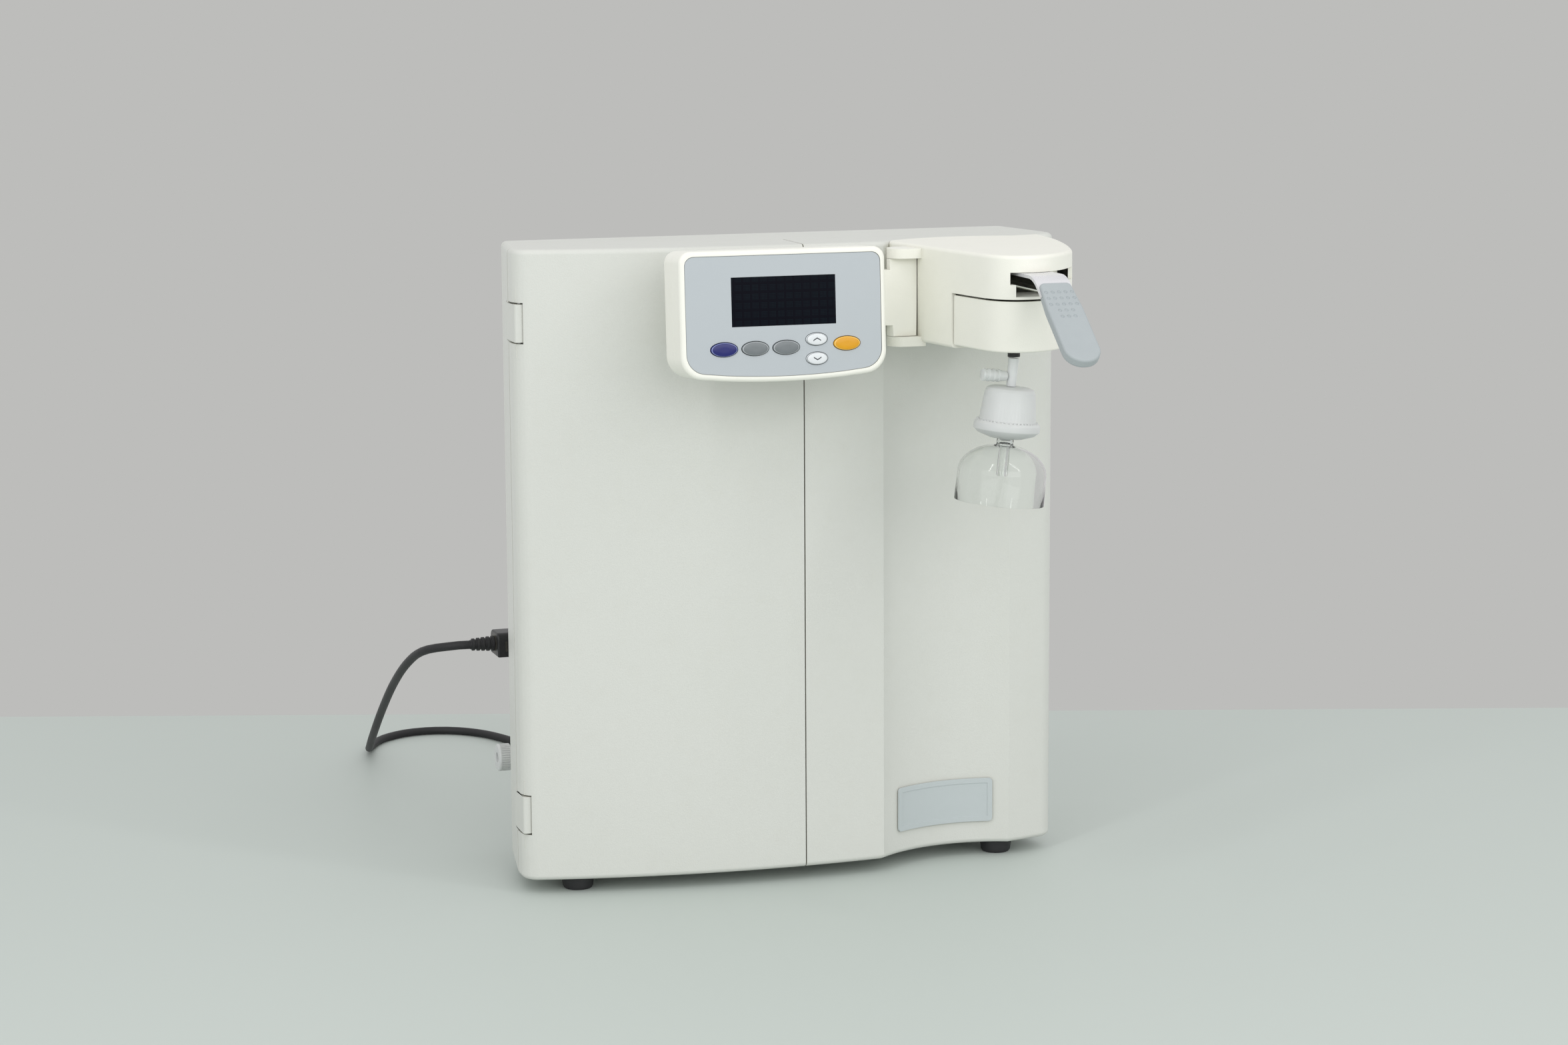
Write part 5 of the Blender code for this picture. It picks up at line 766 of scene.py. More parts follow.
# %% Shells, hinge tabs and the door's inner flange
TAB_THICKNESS = 0.011
TAB_HEIGHT = 0.029
TAB_MIDDLES = (0.445, 0.063)
TAB_NOSE = 0.0085
TAB_CHAMFER = 0.0022
NOTCH_GAP = 0.0012
HEEL_RELIEF = 0.0010
HEEL_WIDTH = 0.004
LUG_HEIGHT = 0.011
FLANGE_DEPTH = 0.014
PIN_RADIUS = 0.002
REAR_SEAM = ((0, SEAM_Y - SEAM / 2, 0), (0, 1, 0))
pin_low, pin_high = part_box("hinge_pin_upper")
HINGE = ((pin_low + pin_high) / 2).to_2d()


def shell(name, planes):
    """A piece of the blank on one side of each plane, with its wall grown inwards."""
    piece = copied(blank, name)
    activate(piece)
    bpy.ops.object.mode_set(mode="EDIT")
    for place, normal in planes:
        bpy.ops.mesh.select_all(action="SELECT")
        bpy.ops.mesh.bisect(plane_co=place, plane_no=normal, clear_outer=True)
    bpy.ops.object.mode_set(mode="OBJECT")
    modify(piece, "SOLIDIFY", thickness=WALL, offset=-1, use_even_offset=True, use_rim=True)
    return piece


def hinge_tab(middle):
    outer = -HALF_WIDTH
    nose = HINGE.y - TAB_NOSE
    root = SEAM_Y + WALL * 4
    route = [
        (outer + WALL / 3, root),
        (outer, SEAM_Y),
        (outer, nose),
        (outer + TAB_THICKNESS, nose),
        (outer + TAB_THICKNESS, root),
    ]
    low = middle - TAB_HEIGHT / 2
    tab = prism("hinge_tab", route, low, low + TAB_HEIGHT)
    round_edges(tab, both(along("Z"), near(y=nose)), TAB_CHAMFER, 4)
    return tab


def make_door():
    door = shell("door_moulding", [((-SEAM / 2, 0, 0), (1, 0, 0)), REAR_SEAM])
    edge = front_y(SEAM) + WALL / 2
    inner = -SEAM / 2 - WALL
    flange_low = (inner, edge, FOOT_Z + WALL / 2)
    join(door, block("flange", flange_low, (-SEAM / 2, edge + FLANGE_DEPTH, TOP_Z - WALL / 2)))
    for middle in TAB_MIDDLES:
        half = TAB_HEIGHT / 2 + NOTCH_GAP
        reach = PIN_RADIUS + WALL
        for start in (middle + half, middle - half - LUG_HEIGHT):
            low = (-HALF_WIDTH + WALL / 2, HINGE.y - reach, start)
            join(door, block("lug", low, (HINGE.x + reach, HINGE.y + reach, start + LUG_HEIGHT)))
        low = (-HALF_WIDTH - OVERRUN, HINGE.y - TAB_NOSE - NOTCH_GAP, middle - half)
        high = (-HALF_WIDTH + TAB_THICKNESS + NOTCH_GAP, SEAM_Y + OVERRUN, middle + half)
        cut(door, block("notch", low, high))
    heel_low = (-HALF_WIDTH - OVERRUN, SEAM_Y - SEAM / 2 - HEEL_RELIEF, 0)
    heel_high = (-HALF_WIDTH + HEEL_WIDTH, SEAM_Y + OVERRUN, TOP_Z + OVERRUN)
    cut(door, block("heel", heel_low, heel_high))
    return finish(door, "door", HOUSING_LOOK, "housing", "door")


def make_right_shell():
    right = shell("right_moulding", [((SEAM / 2, 0, 0), (-1, 0, 0)), REAR_SEAM])
    edge = front_y(SEAM) + WALL / 2
    low = (SEAM / 2, edge, FOOT_Z + WALL / 2)
    rib = block("rib", low, (SEAM / 2 + WALL, SEAM_Y - OVERRUN, TOP_Z - WALL / 2))
    join(right, rib)
    return finish(right, "housing", HOUSING_LOOK, "housing", "right_front_shell")


def make_rear_housing():
    rear = shell("rear_moulding", [((0, SEAM_Y + SEAM / 2, 0), (0, -1, 0))])
    for middle in TAB_MIDDLES:
        join(rear, hinge_tab(middle))
    return finish(rear, "housing", HOUSING_LOOK, "housing", "rear_housing")


make_door()
make_right_shell()
make_rear_housing()
bpy.data.objects.remove(blank, do_unlink=True)

# %% [markdown]
# ## Smooth runs, turned pieces and pegs
# The head's edge and the mains lead follow no simple arc, so both are smooth runs through a
# few chosen points. Round pieces are turned: their half section is drawn from point to point
# and spun once round, as on a lathe, and the doubled points where the spin closes and at
# its poles are merged. A peg is a cylinder between two points, to cut holes or to join on.
# `LYING` lays a turned piece on its side, and `copy_to` sets one down wherever it is needed.

# %% Runs, lathe and pegs
SMOOTH_STEPS = 16
SMALL_STEPS, LATHE_STEPS, FINE_STEPS = 48, 72, 96
MITRE_SHARE = 0.3
LYING = Matrix.Rotation(math.radians(-90), 4, "Y")


def smooth_run(route, spacing):
    """Points about a spacing apart on a smooth curve through the route's points."""
    points = [Vector(point) for point in route]
    ends = [points[0] * 2 - points[1], *points, points[-1] * 2 - points[-2]]
    fine = []
    for a, b, c, d in zip(ends, ends[1:], ends[2:], ends[3:]):
        for step in range(SMOOTH_STEPS):
            t = step / SMOOTH_STEPS
            bent = (b * 3 - a - c * 3 + d) * t**3 + (a * 2 - b * 5 + c * 4 - d) * t**2
            fine.append((bent + (c - a) * t + b * 2) / 2)
    fine.append(points[-1])
    chosen, travelled = [fine[0]], 0.0
    for here, there in zip(fine, fine[1:]):
        travelled += (there - here).length
        if travelled >= spacing:
            chosen.append(there)
            travelled = 0.0
    if (chosen[-1] - fine[-1]).length < spacing / 2:
        chosen.pop()
    return chosen + [fine[-1]]


def drawn_in(outline, distance):
    """An anticlockwise outline moved towards its inside."""
    moved = []
    for i, point in enumerate(outline):
        here, last = Vector(point), Vector(outline[i - 1])
        following = Vector(outline[(i + 1) % len(outline)])
        before, after = (here - last).normalized(), (following - here).normalized()
        inward = Vector((-before.y - after.y, before.x + after.x)).normalized()
        spread = max(inward.dot(Vector((-before.y, before.x))), MITRE_SHARE)
        moved.append(tuple(here + inward * (distance / spread)))
    return moved


def rounded(corners, steps=8):
    """A route round corners given as across, along and radius."""
    route = []
    for i, (x, y, radius) in enumerate(corners):
        here = Vector((x, y))
        if radius == 0:
            route.append((x, y))
            continue
        back = (Vector(corners[i - 1][:2]) - here).normalized()
        ahead = (Vector(corners[(i + 1) % len(corners)][:2]) - here).normalized()
        half = back.angle(ahead) / 2
        centre = here + (back + ahead).normalized() * (radius / math.sin(half))
        tangent = radius / math.tan(half)
        route.append(tuple(here + back * tangent))
        route.append(Arc(tuple(centre), tuple(here + ahead * tangent), steps))
    return route


def turned(name, profile, steps=LATHE_STEPS):
    """A half section of (radius, height) points spun round the Z axis."""
    piece = draw(name, profile, 0, "Y")
    bpy.ops.mesh.select_all(action="SELECT")
    bpy.ops.mesh.spin(steps=steps, angle=2 * math.pi, center=(0, 0, 0), axis=(0, 0, 1))
    bpy.ops.mesh.select_all(action="SELECT")
    bpy.ops.mesh.remove_doubles(threshold=TINY)
    bpy.ops.mesh.normals_make_consistent(inside=False)
    bpy.ops.object.mode_set(mode="OBJECT")
    return piece


def settle(piece, matrix):
    """Move a piece to its place and apply the move."""
    activate(piece)
    piece.matrix_world = matrix @ piece.matrix_world
    bpy.context.view_layer.update()
    bpy.ops.object.transform_apply()
    return piece


def peg(name, start, end, radius, sides=SMALL_STEPS):
    start, end = Vector(start), Vector(end)
    turn = (end - start).to_track_quat("Z", "Y").to_euler()
    bpy.ops.object.select_all(action="DESELECT")
    settings = {"vertices": sides, "radius": radius, "depth": (end - start).length}
    bpy.ops.mesh.primitive_cylinder_add(location=(start + end) / 2, rotation=turn, **settings)
    piece = bpy.context.object
    piece.name = piece.data.name = name
    bpy.ops.object.transform_apply()
    return piece


def copy_to(first, nodes, suffix, rise, look, slot):
    """A copy of a turned piece at each node's place, with a mesh of its own."""
    for node in nodes:
        low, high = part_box(node)
        middle = (low + high) / 2
        piece = copied(first, node + suffix)
        settle(piece, Matrix.Translation((middle.x, middle.y, low.z + rise)))
        dress(piece, "housing", look, slot, node)
    bpy.data.objects.remove(first, do_unlink=True)


def rectangle(left, foot, right, top, low_radius, high_radius):
    """Four corners anticlockwise, with a radius for the low pair and one for the high."""
    low = [(left, foot, low_radius), (right, foot, low_radius)]
    return low + [(right, top, high_radius), (left, top, high_radius)]


print("a lathe of", LATHE_STEPS, "steps")

# %% [markdown]
# ## The dispensing head
# The head is one thick-edged moulding that seats on the bow of the housing. Its outline, from
# above, runs from the front round a blunt nose and back. The lever comes out of a slot that
# goes round the right side, with a shallow notch below for its travel, and the low front
# is a room for a removable block. Everything is cut from the blank in the order in which
# a model maker would work: hollow first, then the seat, the room, the slot and the ears.

# %% The head and its block
HEAD_LEFT, HEAD_RIGHT = 0.072, 0.204
HEAD_REACH = 0.160
HEAD_FILLET = 0.003
HEAD_STEP = 0.004
BLOCK_GAP = 0.0016
BLOCK_INSET = 0.0012
BLOCK_FRONT = 0.0915
BLOCK_RIGHT = 0.158
BLOCK_ARM = 0.048
SLOT_LEFT, SLOT_DEPTH = 0.108, 0.040
SLOT_LOW, SLOT_TOP = 0.4795, 0.4885
NOTCH_DROP = 0.009
LEVER_X = 0.1275
STRIP_WIDTH = 0.0265
STRIP_THICKNESS = 0.0024
NOTCH_HALF = STRIP_WIDTH / 2 + STRIP_THICKNESS
GROOVE_DEPTH = 0.010
PIVOT = (0.068, 0.003)
BARREL_RADIUS = 0.0115
BARREL_HEIGHT = 0.059
BARREL_DROP = 0.0095
EAR_HEIGHT = 0.0075
PIVOT_PIN_RADIUS = 0.003
OUTLET = (0.127, -0.0805)
COLLAR_RADIUS = 0.0047
HEAD_EDGE_SHARES = (
    (0, 0),
    (0.023, 0.084),
    (0.087, 0.419),
    (0.152, 0.753),
    (0.192, 0.895),
    (0.265, 0.973),
    (0.364, 1),
    (0.492, 0.981),
    (0.606, 0.916),
    (0.697, 0.828),
    (0.765, 0.734),
    (0.848, 0.534),
    (0.924, 0.297),
    (0.970, 0.097),
    (1, -0.16),
)
block_low, block_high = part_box("dispense_block")
HEAD_FOOT_Z = TOP_Z - 0.074
STEP_Z = block_high.z + BLOCK_GAP
NOSE_Y = FRONT_Y - HEAD_REACH
BLOCK_FOOT_Z = block_low.z


def head_outline(shrink=0.0):
    width = HEAD_RIGHT - HEAD_LEFT
    route = [
        (HEAD_LEFT + width * across, FRONT_Y - HEAD_REACH * ahead)
        for across, ahead in HEAD_EDGE_SHARES
    ]
    edge = [tuple(point) for point in smooth_run(route, HEAD_STEP)]
    return drawn_in([(HEAD_LEFT, SEAM_Y), *edge, (HEAD_RIGHT, SEAM_Y)], shrink)


def block_room(gap, low, high):
    front = FRONT_Y - BLOCK_FRONT + gap
    arm = BLOCK_RIGHT - BLOCK_ARM - gap
    corners = [
        (0, front),
        (0, NOSE_Y - OVERRUN),
        (BLOCK_RIGHT + gap, NOSE_Y - OVERRUN),
        (BLOCK_RIGHT + gap, SEAM_Y + gap),
        (arm, SEAM_Y + gap),
        (arm, front),
    ]
    return prism("block_room", corners, low, high)


def housing_seat():
    return prism("housing_seat", body_route(CLEAR), FOOT_Z - OVERRUN, TOP_Z + OVERRUN)


def swivel_ear(low):
    x, y = PIVOT
    right = HEAD_LEFT + BARREL_RADIUS
    route = [
        (right, y + BARREL_RADIUS),
        (x, y + BARREL_RADIUS),
        Arc((x, y), (x - BARREL_RADIUS, y), 12),
        Arc((x, y), (x, y - BARREL_RADIUS), 12),
        (right, y - BARREL_RADIUS),
    ]
    return prism("swivel_ear", route, low, low + EAR_HEIGHT)


def hollow_head(head):
    """Two hollows, one above the other, that leave the lever's slot a solid floor and side."""
    upper = prism("upper_hollow", head_outline(WALL), STEP_Z + WALL, TOP_Z - WALL)
    floor = HEAD_FOOT_Z + WALL
    lower = prism("lower_hollow", head_outline(WALL + CLEAR), floor, STEP_Z + WALL * 2)
    keep(lower, block("left_part", (0, NOSE_Y, 0), (BLOCK_RIGHT - WALL, BACK_Y, TOP_Z)))
    front, back = NOSE_Y - OVERRUN, NOSE_Y + SLOT_DEPTH - WALL
    for hollow in (upper, lower):
        cut(hollow, block("slot_floor", (SLOT_LEFT - WALL, front, 0), (BACK_Y, back, SLOT_LOW)))
        cut(hollow, block("slot_side", (LEVER_X + NOTCH_HALF, front, 0), (BACK_Y, back, TOP_Z)))
        cut(head, hollow)


def slot_tool():
    """Deep behind the strip, and only a groove round the nose to the right of it."""
    low = (SLOT_LEFT, NOSE_Y - OVERRUN, SLOT_LOW)
    slot = block("slot", low, (BACK_Y, NOSE_Y + SLOT_DEPTH, SLOT_TOP))
    core = prism("core", head_outline(GROOVE_DEPTH), SLOT_LOW - OVERRUN, SLOT_TOP + OVERRUN)
    keep(core, block("right_part", (LEVER_X + NOTCH_HALF, NOSE_Y, 0), (BACK_Y, BACK_Y, TOP_Z)))
    return cut(slot, core)


def make_head():
    head = prism("head_moulding", head_outline(), HEAD_FOOT_Z, TOP_Z)
    rims = either(at_level("Z", TOP_Z), at_level("Z", HEAD_FOOT_Z))
    round_edges(head, rims, HEAD_FILLET, 5)
    hollow_head(head)
    ear_top = TOP_Z - BARREL_DROP - CLEAR
    ear_foot = ear_top - CLEAR * 2 - BARREL_HEIGHT - EAR_HEIGHT
    for low in (ear_top, ear_foot):
        join(head, swivel_ear(low))
    cut(head, housing_seat())
    below = HEAD_FOOT_Z - OVERRUN
    cut(head, block_room(BLOCK_GAP, below, STEP_Z))
    cut(head, block("right_step", (BLOCK_RIGHT, NOSE_Y - OVERRUN, below), (BACK_Y, BACK_Y, STEP_Z)))
    cut(head, slot_tool())
    notch_low = (LEVER_X - NOTCH_HALF, NOSE_Y - OVERRUN, SLOT_LOW - NOTCH_DROP)
    notch_high = (LEVER_X + NOTCH_HALF, NOSE_Y + SLOT_DEPTH, (SLOT_LOW + SLOT_TOP) / 2)
    cut(head, block("notch", notch_low, notch_high))
    room_low, room_high = (*PIVOT, ear_foot + EAR_HEIGHT), (*PIVOT, ear_top)
    cut(head, peg("room", room_low, room_high, BARREL_RADIUS + CLEAR * 2))
    bore_low, bore_high = (*PIVOT, ear_foot - OVERRUN), (*PIVOT, ear_top + CLEAR + EAR_HEIGHT / 2)
    cut(head, peg("bore", bore_low, bore_high, PIVOT_PIN_RADIUS + CLEAR))
    return finish(head, "housing", IVORY_LOOK, "head", "head_shell", 1.4, 3)


def make_dispense_block():
    piece = prism("block_moulding", head_outline(BLOCK_INSET), BLOCK_FOOT_Z - OVERRUN, STEP_Z)
    keep(piece, block_room(0, BLOCK_FOOT_Z, block_high.z))
    cut(piece, housing_seat())
    round_edges(piece, at_level("Z", BLOCK_FOOT_Z), HEAD_FILLET / 2, 4)
    hollow = prism("hollow", head_outline(BLOCK_INSET + WALL), BLOCK_FOOT_Z, STEP_Z)
    keep(hollow, block_room(-WALL, BLOCK_FOOT_Z + WALL, STEP_Z + OVERRUN))
    cut(piece, hollow)
    low, high = BLOCK_FOOT_Z - OVERRUN, BLOCK_FOOT_Z + OVERRUN
    cut(piece, peg("outlet_hole", (*OUTLET, low), (*OUTLET, high), COLLAR_RADIUS + CLEAR))
    return finish(piece, "housing", IVORY_LOOK, "head", "dispense_block")


make_head()
make_dispense_block()

# %% [markdown]
# ## The lever: a strip and a soft paddle
# A flat lacquered strip comes out of the slot and bends down, and a soft grey-blue tongue is
# moulded over its end. The strip is drawn from the side: along its top, round the bend and
# back along its underside. The tongue is drawn flat with a round tip, and its thick edge is
# rounded. Its dimples are round-bottomed, so they are cut with a ball that is modelled once
# and copied to each place, five, five, five, three and three, on the half that is pressed.

# %% The lever
LEVER_PIVOT = (-0.0685, 0.487)
LEVER_TIP_Y = -0.2215
STRIP_BEND = 0.016
PADDLE_SLOPE = math.radians(39)
PADDLE_LAP = 0.012
PADDLE_WIDTH = 0.028
PADDLE_THICKNESS = 0.008
PADDLE_EDGE = 0.002
EYE_RADIUS = 0.005
LEVER_PIN_RADIUS = 0.0025
DIMPLE_ROWS = (5, 5, 5, 3, 3)
DIMPLE_PITCH = (0.0050, 0.0062)
DIMPLE_START = 0.0105
DIMPLE_RADIUS = 0.0017
DIMPLE_DEPTH = 0.0010
BEND_START = NOSE_Y - STRIP_BEND
BEND_RADIUS = STRIP_BEND / math.sin(PADDLE_SLOPE)
BEND_CENTRE = (BEND_START, LEVER_PIVOT[1] - BEND_RADIUS)
BEND_END = Vector((BEND_START - STRIP_BEND, BEND_CENTRE[1] + BEND_RADIUS * math.cos(PADDLE_SLOPE)))
DOWNWARD = Vector((-math.cos(PADDLE_SLOPE), -math.sin(PADDLE_SLOPE)))
UPWARD = Vector((-math.sin(PADDLE_SLOPE), math.cos(PADDLE_SLOPE)))


def make_strip():
    half = STRIP_THICKNESS / 2
    y, z = LEVER_PIVOT
    lap = BEND_END + DOWNWARD * PADDLE_LAP
    route = [
        (y, z + half),
        (BEND_START, z + half),
        Arc(BEND_CENTRE, tuple(BEND_END + UPWARD * half), 14),
        tuple(lap + UPWARD * half),
        tuple(lap - UPWARD * half),
        tuple(BEND_END - UPWARD * half),
        Arc(BEND_CENTRE, (BEND_START, z - half), 14),
        (y, z - half),
    ]
    left, right = LEVER_X - STRIP_WIDTH / 2, LEVER_X + STRIP_WIDTH / 2
    strip = prism("lever_strip_bent", route, left, right, "X")
    join(strip, peg("eye", (left, y, z), (right, y, z), EYE_RADIUS))
    bore = peg("bore", (left - OVERRUN, y, z), (right + OVERRUN, y, z), LEVER_PIN_RADIUS + CLEAR)
    cut(strip, bore)
    return finish(strip, "lever", STRIP_LOOK, "strip", "lever_strip")


def dimple_places():
    across, down = DIMPLE_PITCH
    for row, count in enumerate(DIMPLE_ROWS):
        for column in range(count):
            yield (column - (count - 1) / 2) * across, -DIMPLE_START - row * down


def dimple_tool():
    """All the dimples' balls as one object."""
    bpy.ops.mesh.primitive_uv_sphere_add(segments=20, ring_count=12, radius=DIMPLE_RADIUS)
    first = bpy.context.object
    level = PADDLE_THICKNESS / 2 + DIMPLE_RADIUS - DIMPLE_DEPTH
    balls = []
    for x, y in dimple_places():
        ball = copied(first, "dimple")
        ball.location = (x, y, level)
        balls.append(ball)
    bpy.data.objects.remove(first, do_unlink=True)
    return joined(balls)


def make_paddle():
    sink = PADDLE_THICKNESS / 2 * math.sin(PADDLE_SLOPE)
    length = (BEND_END.x - LEVER_TIP_Y - sink) / math.cos(PADDLE_SLOPE)
    half, thick = PADDLE_WIDTH / 2, PADDLE_THICKNESS / 2
    neck = half - PADDLE_EDGE
    tip = half - PADDLE_EDGE / 4
    corners = [
        (-neck, 0, PADDLE_EDGE * 2),
        (-half, -length / 3, half),
        (-half, -length, tip),
        (half, -length, tip),
        (half, -length / 3, half),
        (neck, 0, PADDLE_EDGE * 2),
    ]
    paddle = prism("paddle_tongue", rounded(corners, 12), -thick, thick)
    rims = either(at_level("Z", thick), at_level("Z", -thick))
    round_edges(paddle, rims, PADDLE_EDGE, 6)
    cut(paddle, dimple_tool())
    reach, room = STRIP_WIDTH / 2 + CLEAR, STRIP_THICKNESS / 2 + CLEAR
    cut(paddle, block("socket", (-reach, -PADDLE_LAP - CLEAR, -room), (reach, OVERRUN, room)))
    soften(paddle, EDGE_SOFTNESS / 3, 1, TURNED_SOFTEN_DEG)
    place = Matrix.Translation((LEVER_X, BEND_END.x, BEND_END.y))
    settle(paddle, place @ Matrix.Rotation(PADDLE_SLOPE, 4, "X"))
    smooth(paddle, TURNED_SMOOTH_DEG)
    return dress(paddle, "lever", PADDLE_LOOK, "paddle", "lever_paddle")


make_strip()
make_paddle()

# %% [markdown]
# ## The outlet and the final filter
# Under the block hangs a milky filter capsule with a ribbed vent at its side, pushed on the
# black outlet so that it leans a little. All of it is turned work: the nozzle, the vent, the
# capsule with its stepped flange and the bell. The flange carries fine ribs on its top edge.
# They are one small wedge, copied round, because a knurl modelled rib by rib catches light
# as a bump map can't. The clear bell has a real wall and an inner tube, so that it refracts.

# %% The filter
COLLAR_DROP = 0.0075
FILTER_TOP_Z = BLOCK_FOOT_Z - COLLAR_DROP - CLEAR
FILTER_LEAN = math.radians(6)
FILTER_TURN = Matrix.Translation((*OUTLET, FILTER_TOP_Z)) @ Matrix.Rotation(FILTER_LEAN, 4, "Y")
NOZZLE_RADIUS, NOZZLE_FOOT, NOZZLE_LENGTH = 0.0041, 0.0035, 0.022
SPIGOT_RADIUS = 0.0025
CAPSULE_RADIUS, CAPSULE_HEIGHT = 0.0215, 0.026
FLANGE_RADIUS, FLANGE_HEIGHT = 0.025, 0.0095
CONE_HEIGHT = 0.003
STEM_RADIUS, STEM_HEIGHT = 0.0063, 0.0045
BELL_RADIUS, BELL_HEIGHT, BELL_WALL = 0.0335, 0.044, 0.0018
BELL_TUBE_RADIUS, BELL_TUBE_DROP = 0.0042, 0.024
VENT_RADIUS, VENT_LENGTH, VENT_DROP, VENT_RIB = 0.0048, 0.0195, 0.0145, 0.0007
FLANGE_RIBS = 48
LIP_RADIUS = 0.0095


def finish_filter_part(piece, look, slot, node, softness, turn=FILTER_TURN):
    if softness:
        soften(piece, softness, 2, TURNED_SOFTEN_DEG)
    settle(piece, turn)
    smooth(piece, TURNED_SMOOTH_DEG, weighted=False)
    return dress(piece, "final_filter", look, slot, node)


def make_collar():
    lip = BLOCK_FOOT_Z + WALL + CLEAR
    foot = BLOCK_FOOT_Z - COLLAR_DROP
    profile = [(0, lip + WALL), (LIP_RADIUS, lip + WALL), (LIP_RADIUS, lip), (COLLAR_RADIUS, lip)]
    profile += [(COLLAR_RADIUS, foot), (0, foot)]
    collar = turned("outlet_collar_turned", profile)
    settle(collar, Matrix.Translation((*OUTLET, 0)))
    smooth(soften(collar), TURNED_SMOOTH_DEG, weighted=False)
    return dress(collar, "housing", BLACK_LOOK, "black", "outlet_collar")


def make_nozzle():
    top, foot = -CLEAR * 2, -NOZZLE_LENGTH
    profile = [(NOZZLE_RADIUS, top), (NOZZLE_FOOT, foot)]
    profile += [(SPIGOT_RADIUS, foot), (SPIGOT_RADIUS, top), (NOZZLE_RADIUS, top)]
    piece = turned("nozzle_turned", profile)
    return finish_filter_part(piece, TUBE_LOOK, "filter", "outlet_nozzle", EDGE_SOFTNESS)


def make_vent():
    pitch = VENT_LENGTH / 5
    profile = [(0, VENT_LENGTH)]
    for ring in (4, 3, 2, 1):
        start = ring * pitch
        slim = VENT_RADIUS - VENT_RIB
        profile += [(VENT_RADIUS, start + pitch), (VENT_RADIUS, start + pitch / 2)]
        profile += [(slim, start + pitch / 2), (slim, start)]
    profile += [(NOZZLE_FOOT, 0), (0, 0)]
    aside = Matrix.Translation((-NOZZLE_RADIUS - CLEAR, 0, -VENT_DROP))
    turn = FILTER_TURN @ aside @ LYING
    piece = turned("vent_turned", profile, SMALL_STEPS)
    return finish_filter_part(piece, VENT_LOOK, "filter", "filter_vent", EDGE_SOFTNESS / 2, turn)


def flange_ribs(level):
    """Small wedges on the flange's top edge, one modelled and the rest copied."""
    outer = FLANGE_RADIUS - FLANGE_HEIGHT / 6
    width = outer * math.pi / FLANGE_RIBS / 2
    low = (CAPSULE_RADIUS - WALL / 3, -width, level - WALL / 3)
    first = block("flange_rib", low, (outer, width, level + WALL / 4))
    top_outer = both(at_level("Z", level + WALL / 4), at_level("X", outer))
    round_edges(first, top_outer, WALL / 5, 2)
    return ring_of(first, FLANGE_RIBS)


def make_capsule():
    top = -NOZZLE_LENGTH - CLEAR
    crown = CAPSULE_RADIUS / 6
    foot = top - CAPSULE_HEIGHT
    rim = foot - FLANGE_HEIGHT
    end = rim - CONE_HEIGHT
    neck = STEM_RADIUS - CLEAR - BELL_WALL
    profile = [
        (0, top),
        (CAPSULE_RADIUS - crown * 2, top),
        (CAPSULE_RADIUS - crown * 1.1, top - crown * 0.35),
        (CAPSULE_RADIUS - crown * 0.7, top - crown),
        (CAPSULE_RADIUS, foot),
        (FLANGE_RADIUS - FLANGE_HEIGHT / 6, foot),
        (FLANGE_RADIUS, foot - FLANGE_HEIGHT / 5),
        (FLANGE_RADIUS, rim + FLANGE_HEIGHT / 3),
        (CAPSULE_RADIUS, rim),
        (STEM_RADIUS * 2, end),
        (neck, end),
        (neck, end - STEM_HEIGHT / 2),
        (0, end - STEM_HEIGHT / 2),
    ]
    piece = turned("capsule_turned", profile, FINE_STEPS)
    soften(piece, EDGE_SOFTNESS, 2, 25)
    join(piece, flange_ribs(foot))
    return finish_filter_part(piece, MILKY_LOOK, "filter", "filter_capsule", 0)


def dome(radius, base, height, hole, steps=14):
    start = math.asin(hole / radius)
    points = []
    for step in range(steps + 1):
        angle = start + (math.pi / 2 - start) * step / steps
        points.append((radius * math.sin(angle), base + height * math.cos(angle)))
    return points


def make_bell():
    top = -NOZZLE_LENGTH - CAPSULE_HEIGHT - FLANGE_HEIGHT - CONE_HEIGHT - CLEAR * 2
    crown = top - STEM_HEIGHT
    rim = crown - BELL_HEIGHT
    shoulder = rim + BELL_HEIGHT / 2
    bore = STEM_RADIUS - BELL_WALL
    tube_foot = crown - BELL_TUBE_DROP
    inside = dome(BELL_RADIUS - BELL_WALL, shoulder, crown - BELL_WALL - shoulder, BELL_TUBE_RADIUS)
    profile = [
        (bore, top),
        (STEM_RADIUS, top),
        *dome(BELL_RADIUS, shoulder, crown - shoulder, STEM_RADIUS),
        (BELL_RADIUS + BELL_WALL / 4, rim),
        (BELL_RADIUS - BELL_WALL, rim),
        *inside[::-1],
        (BELL_TUBE_RADIUS, tube_foot),
        (SPIGOT_RADIUS, tube_foot),
        (SPIGOT_RADIUS, crown - BELL_WALL),
        (bore, crown),
        (bore, top),
    ]
    piece = turned("bell_turned", profile, FINE_STEPS)
    return finish_filter_part(piece, BELL_LOOK, "bell", "filling_bell", EDGE_SOFTNESS)


make_collar()
make_nozzle()
make_vent()
make_capsule()
make_bell()

# %% [markdown]
# ## The display unit
# The display is a framed keypad on a swivel. Seen from the front it has small corners at the
# top, wide ones at the foot and a slightly bowed foot, so its outline is drawn from corner
# points with a radius each. The frame and the back shell are made from that one outline, and
# a thin dark line is left between them, as where two real mouldings meet. The whole unit
# leans back a little. It is modelled upright, because that is easier to measure, and turned.

